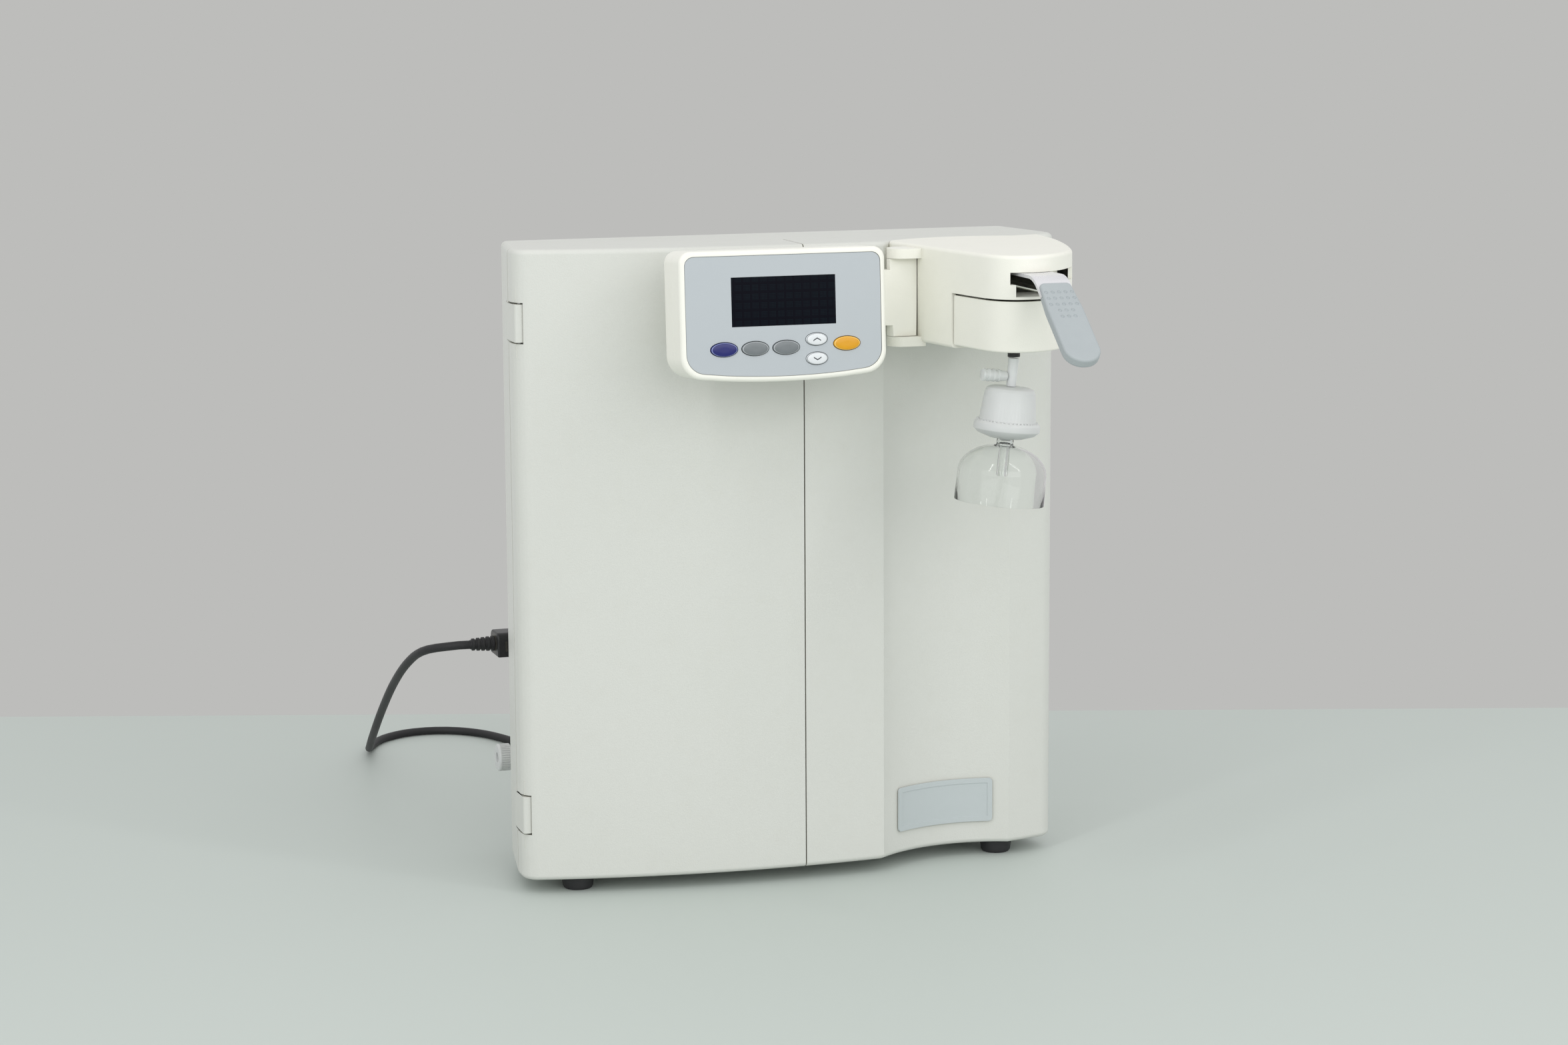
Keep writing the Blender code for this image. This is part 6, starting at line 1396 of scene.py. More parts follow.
# %% The display's frame, back shell and foil
DISPLAY_WIDTH, DISPLAY_HEIGHT = 0.160, 0.098
DISPLAY_X = -0.0425
DISPLAY_TOP_Z = TOP_Z + 0.004
DISPLAY_FOOT_Z = DISPLAY_TOP_Z - DISPLAY_HEIGHT
DISPLAY_FRONT_Y = FRONT_Y - 0.0865
DISPLAY_DEPTH = 0.045
DISPLAY_BACK_Y = DISPLAY_FRONT_Y + DISPLAY_DEPTH
DISPLAY_LEAN = math.radians(-3.5)
DISPLAY_BOW = 0.005
DISPLAY_WALL = 0.0025
TOP_CORNER, FOOT_CORNER = 0.009, 0.017
DISPLAY_FILLET = 0.003
BEZEL_DEPTH = 0.021
BEZEL_RIM = 0.0042
FOIL_THICKNESS = 0.0012
FOIL_SINK = 0.0004
WINDOW_WIDTH, WINDOW_HEIGHT, WINDOW_FOOT = 0.081, 0.0366, 0.0415
FOIL_FRONT_Y = DISPLAY_FRONT_Y + FOIL_SINK
FOIL_BACK_Y = FOIL_FRONT_Y + FOIL_THICKNESS + CLEAR
PARTING_Y = DISPLAY_FRONT_Y + BEZEL_DEPTH
BOW_SHARES = tuple(step / 10 for step in range(-6, 7))
hinge_place = Vector((PIVOT[0], DISPLAY_FRONT_Y, DISPLAY_FOOT_Z))
LEAN_TURN = (
    Matrix.Translation(hinge_place)
    @ Matrix.Rotation(DISPLAY_LEAN, 4, "X")
    @ Matrix.Translation(-hinge_place)
)
KEY_GAP = 0.0004
KEY_PROUD = 0.0016
KEY_BODY = 0.005
KEY_SIZE, ARROW_SIZE = (0.0208, 0.0104), (0.0168, 0.0092)
KEY_ROW, ARROW_ROW, ENTER_ROW = 0.0252, 0.0233, 0.0266
ARROW_PITCH = 0.0143
KEYS = {
    "key_standby": (-0.0470, KEY_ROW, *KEY_SIZE),
    "key_operate": (-0.0230, KEY_ROW, *KEY_SIZE),
    "key_menu": (0.0010, KEY_ROW, *KEY_SIZE),
    "key_up": (0.0248, ARROW_ROW + ARROW_PITCH / 2, *ARROW_SIZE),
    "key_down": (0.0248, ARROW_ROW - ARROW_PITCH / 2, *ARROW_SIZE),
    "key_enter": (0.04848, ENTER_ROW, *KEY_SIZE),
}


def display_route(shrink=0.0):
    half = DISPLAY_WIDTH / 2 - shrink
    top, foot = DISPLAY_TOP_Z - shrink, DISPLAY_FOOT_Z + shrink
    radius = (half**2 + DISPLAY_BOW**2) / (2 * DISPLAY_BOW)
    bow = [
        (DISPLAY_X + half * share, foot + radius - math.sqrt(radius**2 - (half * share) ** 2), 0)
        for share in BOW_SHARES
    ]
    corners = [
        (DISPLAY_X + half, top, TOP_CORNER - shrink / 2),
        (DISPLAY_X - half, top, TOP_CORNER - shrink / 2),
        (DISPLAY_X - half, foot + DISPLAY_BOW, FOOT_CORNER - shrink / 2),
        *bow,
        (DISPLAY_X + half, foot + DISPLAY_BOW, FOOT_CORNER - shrink / 2),
    ]
    return rounded(corners, 10)


def display_block(name, low, high):
    side = Vector((DISPLAY_WIDTH, 0, DISPLAY_HEIGHT))
    middle = Vector((DISPLAY_X, 0, DISPLAY_FOOT_Z + DISPLAY_HEIGHT / 2))
    return block(name, middle - side + Vector((0, low, 0)), middle + side + Vector((0, high, 0)))


def window_block(name, shrink, low, high):
    half = WINDOW_WIDTH / 2 - shrink
    foot = DISPLAY_FOOT_Z + WINDOW_FOOT + shrink
    top = foot + WINDOW_HEIGHT - shrink * 2
    return block(name, (DISPLAY_X - half, low, foot), (DISPLAY_X + half, high, top))


def key_slab(name, key, gap, low, high):
    """An oval block for a key or for its hole."""
    across, row, length, height = KEYS[key]
    place = (DISPLAY_X + across, (low + high) / 2, DISPLAY_FOOT_Z + row)
    size = (length / 2 + gap, height / 2 + gap, high - low)
    bpy.ops.object.select_all(action="DESELECT")
    turn = (math.radians(90), 0, 0)
    settings = {"vertices": 72, "radius": 1, "depth": 1, "rotation": turn}
    bpy.ops.mesh.primitive_cylinder_add(location=place, scale=size, **settings)
    piece = bpy.context.object
    piece.name = piece.data.name = name
    bpy.ops.object.transform_apply()
    return piece


def lean_and_dress(piece, look, slot, node):
    settle(piece, LEAN_TURN)
    smooth(piece, 35)
    return dress(piece, "display", look, slot, node)


def make_bezel():
    bezel = prism("bezel_frame", display_route(), DISPLAY_FRONT_Y, DISPLAY_BACK_Y, "Y")
    round_edges(bezel, at_level("Y", DISPLAY_FRONT_Y), DISPLAY_FILLET, 6)
    keep(bezel, display_block("zone", DISPLAY_FRONT_Y - OVERRUN, PARTING_Y - CLEAR / 2))
    pocket = display_route(BEZEL_RIM - CLEAR)
    cut(bezel, prism("pocket", pocket, DISPLAY_FRONT_Y - OVERRUN, FOIL_BACK_Y, "Y"))
    hollow = display_route(BEZEL_RIM + DISPLAY_WALL)
    cut(bezel, prism("hollow", hollow, FOIL_BACK_Y + DISPLAY_WALL, PARTING_Y + OVERRUN, "Y"))
    cut(bezel, window_block("window_hole", 0, DISPLAY_FRONT_Y - OVERRUN, PARTING_Y))
    for key in KEYS:
        cut(bezel, key_slab("well", key, KEY_GAP, DISPLAY_FRONT_Y - OVERRUN, PARTING_Y))
    soften(bezel)
    return lean_and_dress(bezel, DISPLAY_LOOK, "head", "display_bezel")


def make_back_shell():
    back = prism("display_back_shell", display_route(), DISPLAY_FRONT_Y, DISPLAY_BACK_Y, "Y")
    round_edges(back, at_level("Y", DISPLAY_BACK_Y), DISPLAY_FILLET * 2, 6)
    keep(back, display_block("zone", PARTING_Y + CLEAR / 2, DISPLAY_BACK_Y + OVERRUN))
    hollow = display_route(BEZEL_RIM + DISPLAY_WALL)
    inner = DISPLAY_BACK_Y - DISPLAY_WALL
    cut(back, prism("hollow", hollow, PARTING_Y - OVERRUN, inner, "Y"))
    soften(back, EDGE_SOFTNESS * 1.5, 2)
    return lean_and_dress(back, DISPLAY_LOOK, "head", "display_back")


def make_foil():
    back = FOIL_FRONT_Y + FOIL_THICKNESS
    foil = prism("keypad_foil_sheet", display_route(BEZEL_RIM), FOIL_FRONT_Y, back, "Y")
    low, high = FOIL_FRONT_Y - OVERRUN, FOIL_FRONT_Y + OVERRUN
    cut(foil, window_block("window_hole", 0, low, high))
    for key in KEYS:
        cut(foil, key_slab("hole", key, KEY_GAP, low, high))
    soften(foil, CLEAR / 3, 1)
    return lean_and_dress(foil, FOIL_LOOK, "foil", "keypad_foil")


def make_window():
    back = FOIL_FRONT_Y + FOIL_THICKNESS * 2
    pane = window_block("window_pane", CLEAR, FOIL_FRONT_Y, back)
    soften(pane)
    return lean_and_dress(pane, WINDOW_LOOK, "window", "display_window")


make_bezel()
make_back_shell()
make_foil()
make_window()

# %% [markdown]
# ## The keys
# Each key is an oval cap with a crown. By hand one extrudes the front face of an oval block a
# little and scales it in a little, again and again, so that the crown rises smoothly. A plain
# bevel would leave a flat top, and the arc-shaped highlights that show a dome would be
# missing. The two pale keys carry a printed arrow head, up and down, which belongs
# to the finish and not to the shape: two slanting bands cut out in the shader.

# %% The key caps
CROWN_SHARES = (
    (0.995, 0.25),
    (0.975, 0.50),
    (0.93, 0.70),
    (0.86, 0.82),
    (0.74, 0.91),
    (0.56, 0.97),
    (0.32, 1.0),
)
GREYS = (colour(118, 123, 126), colour(109, 115, 118), colour(186, 190, 193))
WHITES = (colour(226, 229, 231), colour(217, 221, 224), colour(112, 116, 122))
BLUES = (colour(14, 24, 108), colour(10, 18, 94), colour(150, 160, 205))
YELLOWS = (colour(222, 160, 2), colour(214, 150, 2), colour(246, 214, 130))
KEY_PRINTS = {
    "key_standby": ("key_blue", BLUES, 0),
    "key_operate": ("key_grey", GREYS, 0),
    "key_menu": ("key_grey", GREYS, 0),
    "key_up": ("key_white", WHITES, 1),
    "key_down": ("key_white", WHITES, -1),
    "key_enter": ("key_yellow", YELLOWS, 0),
}
RIM_START, RIM_END = 0.80, 0.92
ARROW_TONE = colour(44, 46, 54)
ARROW_REACH, ARROW_STROKE, ARROW_SLOPE = 0.0030, 0.00045, 0.62


def printed_key(key):
    """A glossy domed finish with a fine rim line, and an arrow head on two of the keys."""
    _, (base, tint, rim), direction = KEY_PRINTS[key]
    look = Look(key + "_print", IOR=1.45, Coat_Weight=0.15, Coat_Roughness=0.08)
    aside, row, length, height = KEYS[key]
    middle = LEAN_TURN @ Vector((DISPLAY_X + aside, FOIL_FRONT_Y, DISPLAY_FOOT_Z + row))
    across, _, up = look.parts()
    x, z = across - middle.x, up - middle.z
    ring = (x * x) / (length / 2) ** 2 + (z * z) / (height / 2) ** 2
    line = ring.above(RIM_START) * ring.below(RIM_END) * 0.7
    shade = look.blend(line, look.blend(look.noise(120, 2), base, tint), rim)
    if direction:
        aside = look.math_of("ABSOLUTE", x)
        slope = (z * direction) + aside * ARROW_SLOPE - ARROW_REACH * ARROW_SLOPE / 2
        arrow = look.math_of("ABSOLUTE", slope).below(ARROW_STROKE) * aside.below(ARROW_REACH)
        shade = look.blend(arrow, shade, ARROW_TONE)
    look.set("Base Color", shade)
    look.set("Roughness", 0.30 + (look.noise(400, 3) - 0.5) * 0.10)
    return look.material


def make_key(key):
    """An oval block whose front face is drawn out and drawn in until it is a dome."""
    across, row, _, _ = KEYS[key]
    foot = FOIL_FRONT_Y
    cap = key_slab(key + "_cap", key, 0, foot, foot - KEY_PROUD + KEY_BODY)
    activate(cap)
    bpy.ops.object.mode_set(mode="EDIT")
    pick(cap, "FACE", lambda face: abs(face.calc_center_median().y - foot) < TINY)
    middle = (DISPLAY_X + across, foot, DISPLAY_FOOT_Z + row)
    width, level = 1.0, 0.0
    for share, rise in CROWN_SHARES:
        step = {"value": (0, (level - rise) * KEY_PROUD, 0)}
        bpy.ops.mesh.extrude_region_move(TRANSFORM_OT_translate=step)
        scale = (share / width, 1, share / width)
        bpy.ops.transform.resize(value=scale, center_override=middle)
        width, level = share, rise
    bpy.ops.object.mode_set(mode="OBJECT")
    settle(cap, LEAN_TURN)
    smooth(cap, 50)
    return dress(cap, key, printed_key(key), KEY_PRINTS[key][0], key)


for key in KEYS:
    make_key(key)

# %% [markdown]
# ## Swivel arm, data plate and feet
# A barrel turns between the head's two ears, and a thick arm runs from it behind the display.
# The data plate in the hollow follows its curve exactly, with a raised border round a bare
# field. The feet are turned once and copied, each copy with a mesh of its own.

# %% Arm, plate and feet
ARM_THICKNESS, ARM_HEIGHT, ARM_LAP = 0.014, 0.042, 0.030
PLATE_WIDTH, PLATE_BORDER, PLATE_THICKNESS, PLATE_SINK = 0.088, 0.004, 0.0016, 0.0005
PLATE_CORNER = 0.003
FOOT_RADIUS, FOOT_SOFTEN_DEG = 0.013, 20


def make_arm():
    top = TOP_Z - BARREL_DROP - CLEAR * 2
    low = top - BARREL_HEIGHT
    barrel = peg("swivel_barrel", (*PIVOT, low), (*PIVOT, top), BARREL_RADIUS, 64)
    seat = DISPLAY_BACK_Y - ARM_THICKNESS / 2
    far = DISPLAY_BACK_Y + ARM_THICKNESS
    right = DISPLAY_X + DISPLAY_WIDTH / 2
    corners = [
        (right - ARM_LAP, seat, 0),
        (PIVOT[0], seat, 0),
        (PIVOT[0], far, 0),
        (right - ARM_LAP, far, ARM_THICKNESS / 2),
    ]
    middle = (low + top) / 2
    arm = prism("arm", rounded(corners), middle - ARM_HEIGHT / 2, middle + ARM_HEIGHT / 2)
    join(barrel, arm)
    seat_block = display_block("seat", DISPLAY_FRONT_Y, DISPLAY_BACK_Y + CLEAR)
    cut(barrel, settle(seat_block, LEAN_TURN))
    bore = peg("bore", (*PIVOT, low - OVERRUN), (*PIVOT, top + OVERRUN), PIVOT_PIN_RADIUS + CLEAR)
    cut(barrel, bore)
    return finish(barrel, "display", DISPLAY_LOOK, "head", "display_arm", 2, 3)


def bay_strip(width, gap, thickness):
    """A strip seen from above that follows the hollow, a gap in front of it."""
    centre, radius = bay_circle()
    middle = math.asin(((BAY_LEFT + BAY_RIGHT) / 2 - centre.x) / radius)
    half = width / 2 / radius

    def at(angle, reach):
        return (centre.x + reach * math.sin(angle), centre.y + reach * math.cos(angle))

    back, front = radius - gap, radius - gap - thickness
    return [
        at(middle + half, back),
        Arc(tuple(centre), at(middle - half, back), 24),
        at(middle - half, front),
        Arc(tuple(centre), at(middle + half, front), 24),
    ]


def corner_edge(edge):
    """True for the four short edges through the plate's thickness."""
    level = abs(edge.verts[0].co.z - edge.verts[1].co.z) < TINY
    return level and abs(edge.calc_length() - PLATE_THICKNESS) < CLEAR / 3


def make_plate():
    low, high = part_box("data_plate")
    gap = CLEAR * 2
    plate = prism("data_plate_blank", bay_strip(PLATE_WIDTH, gap, PLATE_THICKNESS), low.z, high.z)
    round_edges(plate, corner_edge, PLATE_CORNER, 5)
    raised = gap + PLATE_THICKNESS - PLATE_SINK
    field = bay_strip(PLATE_WIDTH - PLATE_BORDER * 2, raised, WALL)
    tool = prism("field", field, low.z + PLATE_BORDER, high.z - PLATE_BORDER)
    cut(plate, tool)
    return finish(plate, "housing", PLATE_LOOK, "plate", "data_plate", 0.6)


def make_feet():
    top = FOOT_Z - CLEAR
    waist = FOOT_Z / 5
    profile = [(0, top), (FOOT_RADIUS, top), (FOOT_RADIUS - waist / 2, waist)]
    profile += [(FOOT_RADIUS - waist, 0), (0, 0)]
    first = turned("foot_turned", profile, SMALL_STEPS)
    smooth(soften(first, EDGE_SOFTNESS * 2, 3, FOOT_SOFTEN_DEG), TURNED_SMOOTH_DEG)
    nodes = ("foot_front_left", "foot_front_right", "foot_rear_left", "foot_rear_right")
    copy_to(first, nodes, "_turned", 0, FOOT_LOOK, "foot")


make_arm()
make_plate()
make_feet()

# %% [markdown]
# ## The service cover and what plugs into it
# The back isn't in the photograph, but a reusable model is looked at from every side. The
# cover is a box with rounded edges, a row of vent slots and four small screws. On its left
# side sit the appliance inlet and the feed water fitting. The fitting is turned, with a
# knurled collar, and the connector is a rounded block with grip ribs and the usual ribbed
# strain relief.

# %% Service cover, inlet, connector and fitting
COVER_HALF = 0.173
COVER_CORNER = 0.008
VENTS, VENT_PITCH, VENT_HEIGHT, VENT_WIDTH, VENT_TOP_DROP = 6, 0.012, 0.004, 0.120, 0.141
INLET = (0.2005, 0.1735)
INLET_FLANGE, INLET_HALF = 0.002, (0.017, 0.014)
INLET_WALL, INLET_TUB = 0.0025, 0.019
CONNECTOR_HALF, CONNECTOR_CORNER = (0.01325, 0.00975), 0.0055
CONNECTOR_NOSE, CONNECTOR_LENGTH = 0.016, 0.0345
GRIP_RIBS, GRIP_PITCH, GRIP_DEPTH = 6, 0.0032, 0.0006
FITTING_Z = 0.079
RELIEF_LENGTH, RELIEF_RADIUS, RELIEF_TIP, RELIEF_RIB, RELIEF_RIBS = 0.020, 0.0062, 0.0046, 0.0012, 5
RIB_SHARE = 0.6
SCREW_RADIUS, SCREW_HEAD, SCREW_INSET = 0.0034, 0.0016, 0.012
SLOT_HALF_WIDTH, SLOT_REACH = SCREW_RADIUS / 7, SCREW_RADIUS * 0.75
KNURLS = 36
FITTING_LENGTH, FITTING_NECK_END, FITTING_FLANGE, FITTING_TAIL = 0.036, 0.026, 0.004, 0.012
KNURL_RADIUS, NECK_RADIUS, RIM_RADIUS = 0.011, 0.0075, 0.0125
THREAD_RADIUS, BORE_RADIUS, FITTING_STEP = 0.0085, 0.004, 0.001


def make_cover():
    low, high = cover_low.z, cover_high.z
    front = REAR_Y + CLEAR
    edge = front - OVERRUN
    outer = rectangle(-COVER_HALF, edge, COVER_HALF, BACK_Y, 0, COVER_CORNER)
    cover = prism("cover_moulding", rounded(outer), low, high)
    round_edges(cover, either(at_level("Z", low), at_level("Z", high)), EDGE_FILLET / 2, 4)
    cut(cover, block("face", (-1, front - OVERRUN * 2, 0), (1, front, 1)))
    half = COVER_HALF - WALL
    inner = rectangle(-half, edge, half, BACK_Y - WALL, 0, COVER_CORNER - WALL)
    cut(cover, prism("hollow", rounded(inner), low + WALL, high - WALL))
    y, z = INLET
    reach_y, reach_z = INLET_HALF[0] - INLET_WALL + CLEAR, INLET_HALF[1] - INLET_WALL + CLEAR
    left = -COVER_HALF
    hole_low = (left - OVERRUN, y - reach_y, z - reach_z)
    cut(cover, block("inlet_hole", hole_low, (left + OVERRUN, y + reach_y, z + reach_z)))
    start, end = (left - OVERRUN, y, FITTING_Z), (left + OVERRUN, y, FITTING_Z)
    cut(cover, peg("fitting_hole", start, end, THREAD_RADIUS + CLEAR * 2))
    for row in range(VENTS):
        foot = high - VENT_TOP_DROP + row * VENT_PITCH
        vent_low = (-VENT_WIDTH / 2, BACK_Y - WALL - OVERRUN, foot)
        vent = block("vent", vent_low, (VENT_WIDTH / 2, BACK_Y + OVERRUN, foot + VENT_HEIGHT))
        round_edges(vent, along("Y"), VENT_HEIGHT * 0.45, 4)
        cut(cover, vent)
    return finish(cover, "housing", COVER_LOOK, "housing", "service_cover")


def make_screws():
    """Slotted pan heads at the cover's corners, flush in its back face."""
    head = peg("screw_head", (0, 0, 0), (0, 0, SCREW_HEAD), SCREW_RADIUS, 40)
    round_edges(head, at_level("Z", SCREW_HEAD), SCREW_HEAD / 2, 4)
    for reach in ((SLOT_REACH, SLOT_HALF_WIDTH), (SLOT_HALF_WIDTH, SLOT_REACH)):
        low = (-reach[0], -reach[1], SCREW_HEAD / 2)
        cut(head, block("slot", low, (*reach, SCREW_HEAD * 2)))
    smooth(soften(head, EDGE_SOFTNESS / 4, 1), 35)
    turn = Matrix.Rotation(math.radians(-90), 4, "X")
    for side in (-1, 1):
        for label, z in (("low", cover_low.z + SCREW_INSET), ("high", cover_high.z - SCREW_INSET)):
            name = f"screw_{label}_{'left' if side < 0 else 'right'}"
            place = (side * (COVER_HALF - SCREW_INSET - COVER_CORNER), BACK_Y - SCREW_HEAD, z)
            screw = settle(copied(head, name), Matrix.Translation(place) @ turn)
            dress(screw, "housing", PIN_LOOK, "pin_steel")
    bpy.data.objects.remove(head, do_unlink=True)


def make_inlet():
    face = -COVER_HALF - CLEAR
    y, z = INLET
    half_y, half_z = INLET_HALF
    reach = (y - half_y, z - half_z, y + half_y, z + half_z)
    corners = rectangle(*reach, INLET_FLANGE, INLET_FLANGE)
    inlet = prism("inlet_moulding", rounded(corners, 6), face - INLET_FLANGE, face, "X")
    body_low = (face - INLET_FLANGE / 2, y - half_y + INLET_WALL, z - half_z + INLET_WALL)
    body_high = (face + INLET_TUB, y + half_y - INLET_WALL, z + half_z - INLET_WALL)
    join(inlet, block("body", body_low, body_high))
    well_y, well_z = CONNECTOR_HALF[0] + CLEAR, CONNECTOR_HALF[1] + CLEAR
    well_high = (-COVER_HALF - INLET_FLANGE + CONNECTOR_NOSE + CLEAR, y + well_y, z + well_z)
    cut(inlet, block("well", (face - OVERRUN, y - well_y, z - well_z), well_high))
    return finish(inlet, "housing", BLACK_LOOK, "black", "inlet_socket")


def make_connector():
    """Returns where the strain relief begins."""
    nose = -COVER_HALF - INLET_FLANGE + CONNECTOR_NOSE - CLEAR
    tail = nose - CONNECTOR_NOSE - CONNECTOR_LENGTH
    (y, z), (half_y, half_z) = INLET, CONNECTOR_HALF
    reach = (y - half_y, z - half_z, y + half_y, z + half_z)
    corners = rectangle(*reach, CONNECTOR_CORNER / 4, CONNECTOR_CORNER)
    body = prism("connector_moulding", rounded(corners, 6), tail, nose, "X")
    round_edges(body, at_level("X", tail), WALL, 5)
    for rib in range(GRIP_RIBS):
        start = tail + WALL * 2 + rib * GRIP_PITCH
        for side in (-1, 1):
            floor, outside = y + side * (half_y - GRIP_DEPTH), y + side * (half_y + OVERRUN)
            low = (start, min(floor, outside), z - half_z / 2)
            high = (start + GRIP_PITCH / 2, max(floor, outside), z + half_z / 3)
            cut(body, block("grip", low, high))
    finish(body, "housing", BLACK_LOOK, "black", "mains_connector", 0.7)
    return tail - CLEAR


def make_relief(start):
    pitch = RELIEF_LENGTH / RELIEF_RIBS
    profile = [(0, RELIEF_LENGTH)]
    for rib in reversed(range(RELIEF_RIBS)):
        taper = RELIEF_RADIUS + (RELIEF_TIP - RELIEF_RADIUS) * rib / RELIEF_RIBS
        slim = taper - RELIEF_RIB
        profile += [(slim, (rib + 1) * pitch), (slim, (rib + RIB_SHARE) * pitch)]
        profile += [(taper, (rib + RIB_SHARE) * pitch), (taper, rib * pitch)]
    profile.append((0, 0))
    relief = turned("relief_turned", profile, SMALL_STEPS)
    soften(relief, angle=TURNED_SOFTEN_DEG)
    settle(relief, Matrix.Translation((start, *INLET)) @ LYING)
    smooth(relief, TURNED_SMOOTH_DEG)
    return dress(relief, "housing", CORD_LOOK, "black", "strain_relief")


def make_fitting():
    end, step = FITTING_LENGTH, FITTING_STEP
    profile = [
        (0, FITTING_NECK_END),
        (BORE_RADIUS, FITTING_NECK_END),
        (BORE_RADIUS, end),
        (KNURL_RADIUS - step, end),
        (KNURL_RADIUS, end - step),
        (KNURL_RADIUS, FITTING_NECK_END),
        (NECK_RADIUS, FITTING_NECK_END - step),
        (NECK_RADIUS, FITTING_FLANGE),
        (RIM_RADIUS, FITTING_FLANGE),
        (RIM_RADIUS, 0),
        (THREAD_RADIUS, 0),
        (THREAD_RADIUS, -FITTING_TAIL),
        (0, -FITTING_TAIL),
    ]
    fitting = turned("fitting_turned", profile, KNURLS * 2)
    soften(fitting, angle=TURNED_SOFTEN_DEG)
    groove_low = (KNURL_RADIUS - step / 2, -step / 4, FITTING_NECK_END + step)
    groove = block("groove", groove_low, (KNURL_RADIUS + step, step / 4, end - step * 2))
    cut(fitting, ring_of(groove, KNURLS))
    settle(fitting, Matrix.Translation((-COVER_HALF - CLEAR, INLET[0], FITTING_Z)) @ LYING)
    smooth(fitting, TURNED_SMOOTH_DEG)
    return dress(fitting, "housing", MILKY_LOOK, "filter", "feed_fitting")


make_cover()
make_screws()
make_inlet()
relief_start = make_connector()
make_relief(relief_start)
make_fitting()

# %% [markdown]
# ## The mains lead
# The lead leaves the connector's relief, sinks to the bench in a free curve and ends in a
# loose coil and its plug behind the unit, where a spare length is usually left. It is one
# curve with a round section. The coil's turns are laid two deep and never touch.

# %% The cord and its plug
CORD_RADIUS = 0.0035
CORD_SPACING = 0.009
COIL_TURNS, COIL_RADIUS, COIL_POINTS = 4, 0.040, 48
COIL_CENTRE = (-0.020, 0.345)
PLUG_RADIUS, PLUG_LENGTH, PLUG_EDGE = 0.018, 0.034, 0.0015
PIN_LENGTH, PIN_PITCH, PLUG_PIN_RADIUS = 0.019, 0.019, 0.0024
CORD_ROUTE = (
    (-0.2620, 0.2240, 0.1665),
    (-0.2668, 0.2700, 0.1480),
    (-0.2650, 0.3400, 0.1165),
    (-0.2600, 0.4200, 0.0770),
    (-0.2530, 0.5000, 0.0375),
    (-0.2450, 0.5600, 0.0130),
    (-0.2370, 0.5980, 0.0042),
    (-0.2200, 0.6290, 0.0037),
    (-0.1900, 0.6480, 0.0037),
    (-0.1550, 0.6450, 0.0037),
    (-0.1260, 0.6200, 0.0037),
    (-0.1060, 0.5760, 0.0037),
    (-0.0920, 0.5200, 0.0037),
    (-0.0790, 0.4600, 0.0037),
)


def coil_points():
    """Turns laid from the outside in on the bench, and back out on top of them."""
    pitch = CORD_RADIUS * 2 + CLEAR * 2
    lower = COIL_TURNS // 2
    count, half_turn = COIL_TURNS * COIL_POINTS, COIL_POINTS // 2
    points = []
    for step in range(count + 1):
        turn = step / COIL_POINTS
        spread = turn if turn <= lower else 2 * lower - turn
        radius = COIL_RADIUS + pitch * (lower / 2 - spread)
        climb = min(max((step - lower * COIL_POINTS + half_turn / 2) / half_turn, 0), 1)
        ease = climb * climb * (3 - 2 * climb)
        last = min(max((step - count) / half_turn + 1, 0), 1)
        rise = last * last * (3 - 2 * last)
        lift = rise * (PLUG_RADIUS - CORD_RADIUS - pitch)
        radius += rise * (PLUG_RADIUS + pitch)
        angle = math.pi + 2 * math.pi * turn
        across = COIL_CENTRE[0] + radius * math.cos(angle)
        along_y = COIL_CENTRE[1] + radius * math.sin(angle)
        points.append(Vector((across, along_y, CORD_RADIUS + CLEAR / 2 + pitch * ease + lift)))
    return points


def make_cord(exit_point):
    coil = coil_points()
    ahead = (coil[1] - coil[0]).normalized()
    straight = exit_point - Vector((CORD_RADIUS * 3, 0, 0))
    lead_in = coil[0] - ahead * CORD_RADIUS * 8
    run = smooth_run([exit_point, straight, *CORD_ROUTE, lead_in, coil[0]], CORD_SPACING)
    points = run[:-1] + coil
    curve = bpy.data.curves.new("mains_lead", "CURVE")
    curve.dimensions = "3D"
    curve.bevel_depth = CORD_RADIUS
    curve.bevel_resolution = 6
    curve.use_fill_caps = True
    spline = curve.splines.new("POLY")
    spline.points.add(len(points) - 1)
    for item, point in zip(spline.points, points):
        item.co = (*point, 1)
        item.radius = 1
    spline.use_smooth = True
    lead = bpy.data.objects.new("mains_lead", curve)
    bpy.context.scene.collection.objects.link(lead)
    total = sum((q - p).length for p, q in zip(points, points[1:]))
    print(f"lead: {len(points)} points, {total:.3f} m")
    return lead, points


def make_plug(points):
    profile = [
        (0, PLUG_LENGTH),
        (PLUG_RADIUS, PLUG_LENGTH),
        (PLUG_RADIUS, PLUG_LENGTH / 2),
        (RELIEF_RADIUS, 0),
        (0, 0),
    ]
    plug = turned("plug_turned", profile, 64)
    soften(plug, PLUG_EDGE, 4, TURNED_SOFTEN_DEG)
    for side in (-1, 1):
        x = side * PIN_PITCH / 2
        start = (x, 0, PLUG_LENGTH - WALL)
        pin = peg("plug_pin", start, (x, 0, PLUG_LENGTH + PIN_LENGTH), PLUG_PIN_RADIUS, 24)
        join(plug, pin)
    away = (points[-1] - points[-2]).normalized()
    turn = away.to_track_quat("Z", "Y").to_matrix().to_4x4()
    settle(plug, Matrix.Translation(points[-1] + away * CLEAR) @ turn)
    smooth(soften(plug), TURNED_SMOOTH_DEG)
    return dress(plug, "housing", CORD_LOOK, "black", "mains_plug")


cord_exit = Vector((relief_start - RELIEF_LENGTH - CLEAR, *INLET))
lead, lead_points = make_cord(cord_exit)
dress(lead, "housing", CORD_LOOK, "cord", "mains_cord", "mains_cord_coil")
plug = make_plug(lead_points)

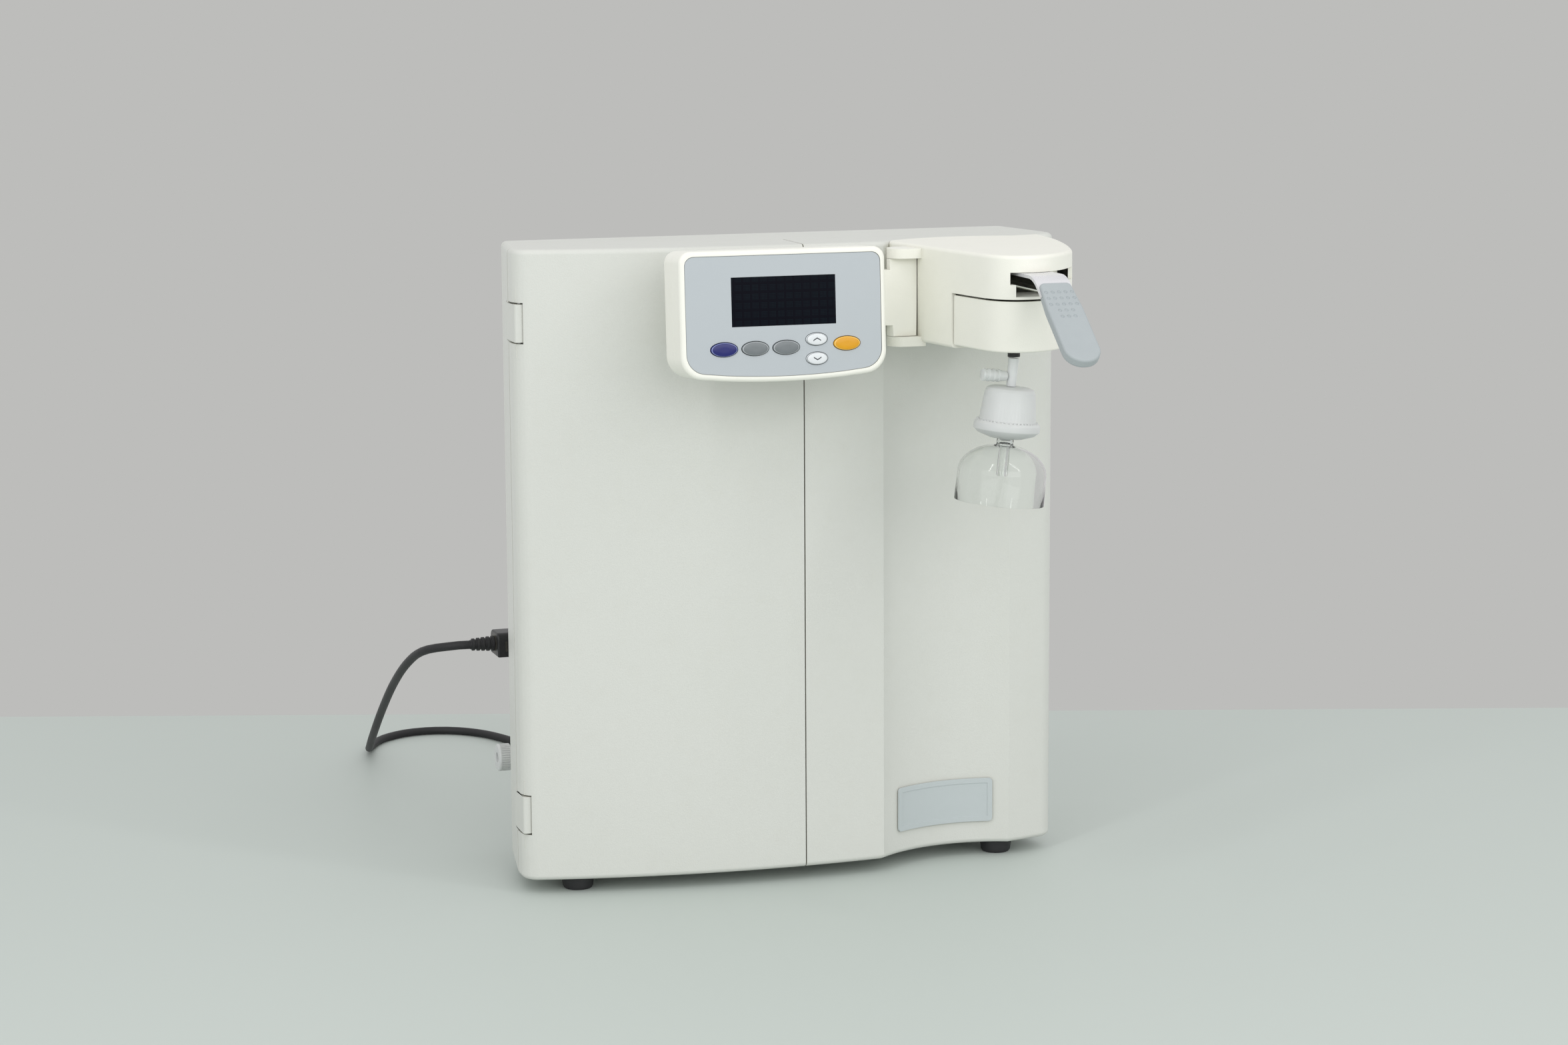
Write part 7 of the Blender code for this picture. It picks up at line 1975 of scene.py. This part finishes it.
# %% [markdown]
# ## Behind the door
# The door opens on two polishing cartridges, so these are modelled as finely as the outside:
# a turned tube with thick end rims, and a blue cap with grip flutes and a port. The flutes
# are one small bar, copied round the cap and cut in. The rest of the inside keeps the
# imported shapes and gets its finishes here: bent steel sheet, black clips, milky tubes.

# %% Cartridges and the finishes inside
CARTRIDGE_RADIUS, CARTRIDGE_RIM, CARTRIDGE_LIP = 0.034, 0.002, 0.016
PORT_RADIUS, PORT_LENGTH = 0.006, 0.012
CAP_HEIGHT = 0.020
FLUTES, FLUTE_RADIUS = 30, 0.0013
INNER_LOOKS = (
    (SHEET_LOOK, ("chassis_plate", "bay_divider", "power_supply", "door_catch")),
    (BLACK_LOOK, ("cartridge_clip_upper", "cartridge_clip_lower", "pump_head", "lever_carrier")),
    (TUBE_LOOK, ("inlet_tube", "feed_tube", "link_tube", "product_tube", "dispense_valve")),
    (BOARD_LOOK, ("main_board", "display_board")),
    (PIN_LOOK, ("pump_motor", "lever_pin", "pivot_pin", "hinge_pin_upper", "hinge_pin_lower")),
)


def make_cartridges():
    low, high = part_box("cartridge_left")
    rim = CARTRIDGE_RADIUS + CARTRIDGE_RIM
    top = high.z - low.z - PORT_LENGTH
    profile = [
        (0, top),
        (CARTRIDGE_RADIUS, top),
        (rim, top - CARTRIDGE_RIM),
        (rim, top - CARTRIDGE_LIP),
        (CARTRIDGE_RADIUS, top - CARTRIDGE_LIP),
        (CARTRIDGE_RADIUS, CARTRIDGE_LIP),
        (rim, CARTRIDGE_LIP),
        (rim, CARTRIDGE_RIM),
        (CARTRIDGE_RADIUS, 0),
        (PORT_RADIUS, 0),
        (PORT_RADIUS, -PORT_LENGTH),
        (0, -PORT_LENGTH),
    ]
    first = turned("cartridge_turned", profile, FINE_STEPS)
    smooth(soften(first, EDGE_SOFTNESS * 2, 3, TURNED_SOFTEN_DEG), TURNED_SMOOTH_DEG)
    nodes = ("cartridge_left", "cartridge_right")
    copy_to(first, nodes, "_turned", PORT_LENGTH, CARTRIDGE_LOOK, "cartridge")


def fluted_cap():
    low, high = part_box("cartridge_cap_left")
    radius = (high.x - low.x) / 2
    top = high.z - low.z
    profile = [(0, top), (PORT_RADIUS, top), (PORT_RADIUS, CAP_HEIGHT), (radius, CAP_HEIGHT)]
    profile += [(radius, 0), (0, 0)]
    cap = turned("cap_turned", profile, 90)
    foot, end = (radius, 0, CAP_HEIGHT / 4), (radius, 0, CAP_HEIGHT * 0.9)
    cut(cap, ring_of(peg("flute", foot, end, FLUTE_RADIUS, 12), FLUTES))
    return smooth(soften(cap, angle=TURNED_SOFTEN_DEG), TURNED_SMOOTH_DEG)


def make_caps():
    nodes = ("cartridge_cap_left", "cartridge_cap_right")
    copy_to(fluted_cap(), nodes, "_fluted", 0, CAP_LOOK, "cap")


def finish_inside():
    for look, names in INNER_LOOKS:
        for name in names:
            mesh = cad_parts[name].data
            mesh.materials.clear()
            mesh.materials.append(look)


make_cartridges()
make_caps()
finish_inside()
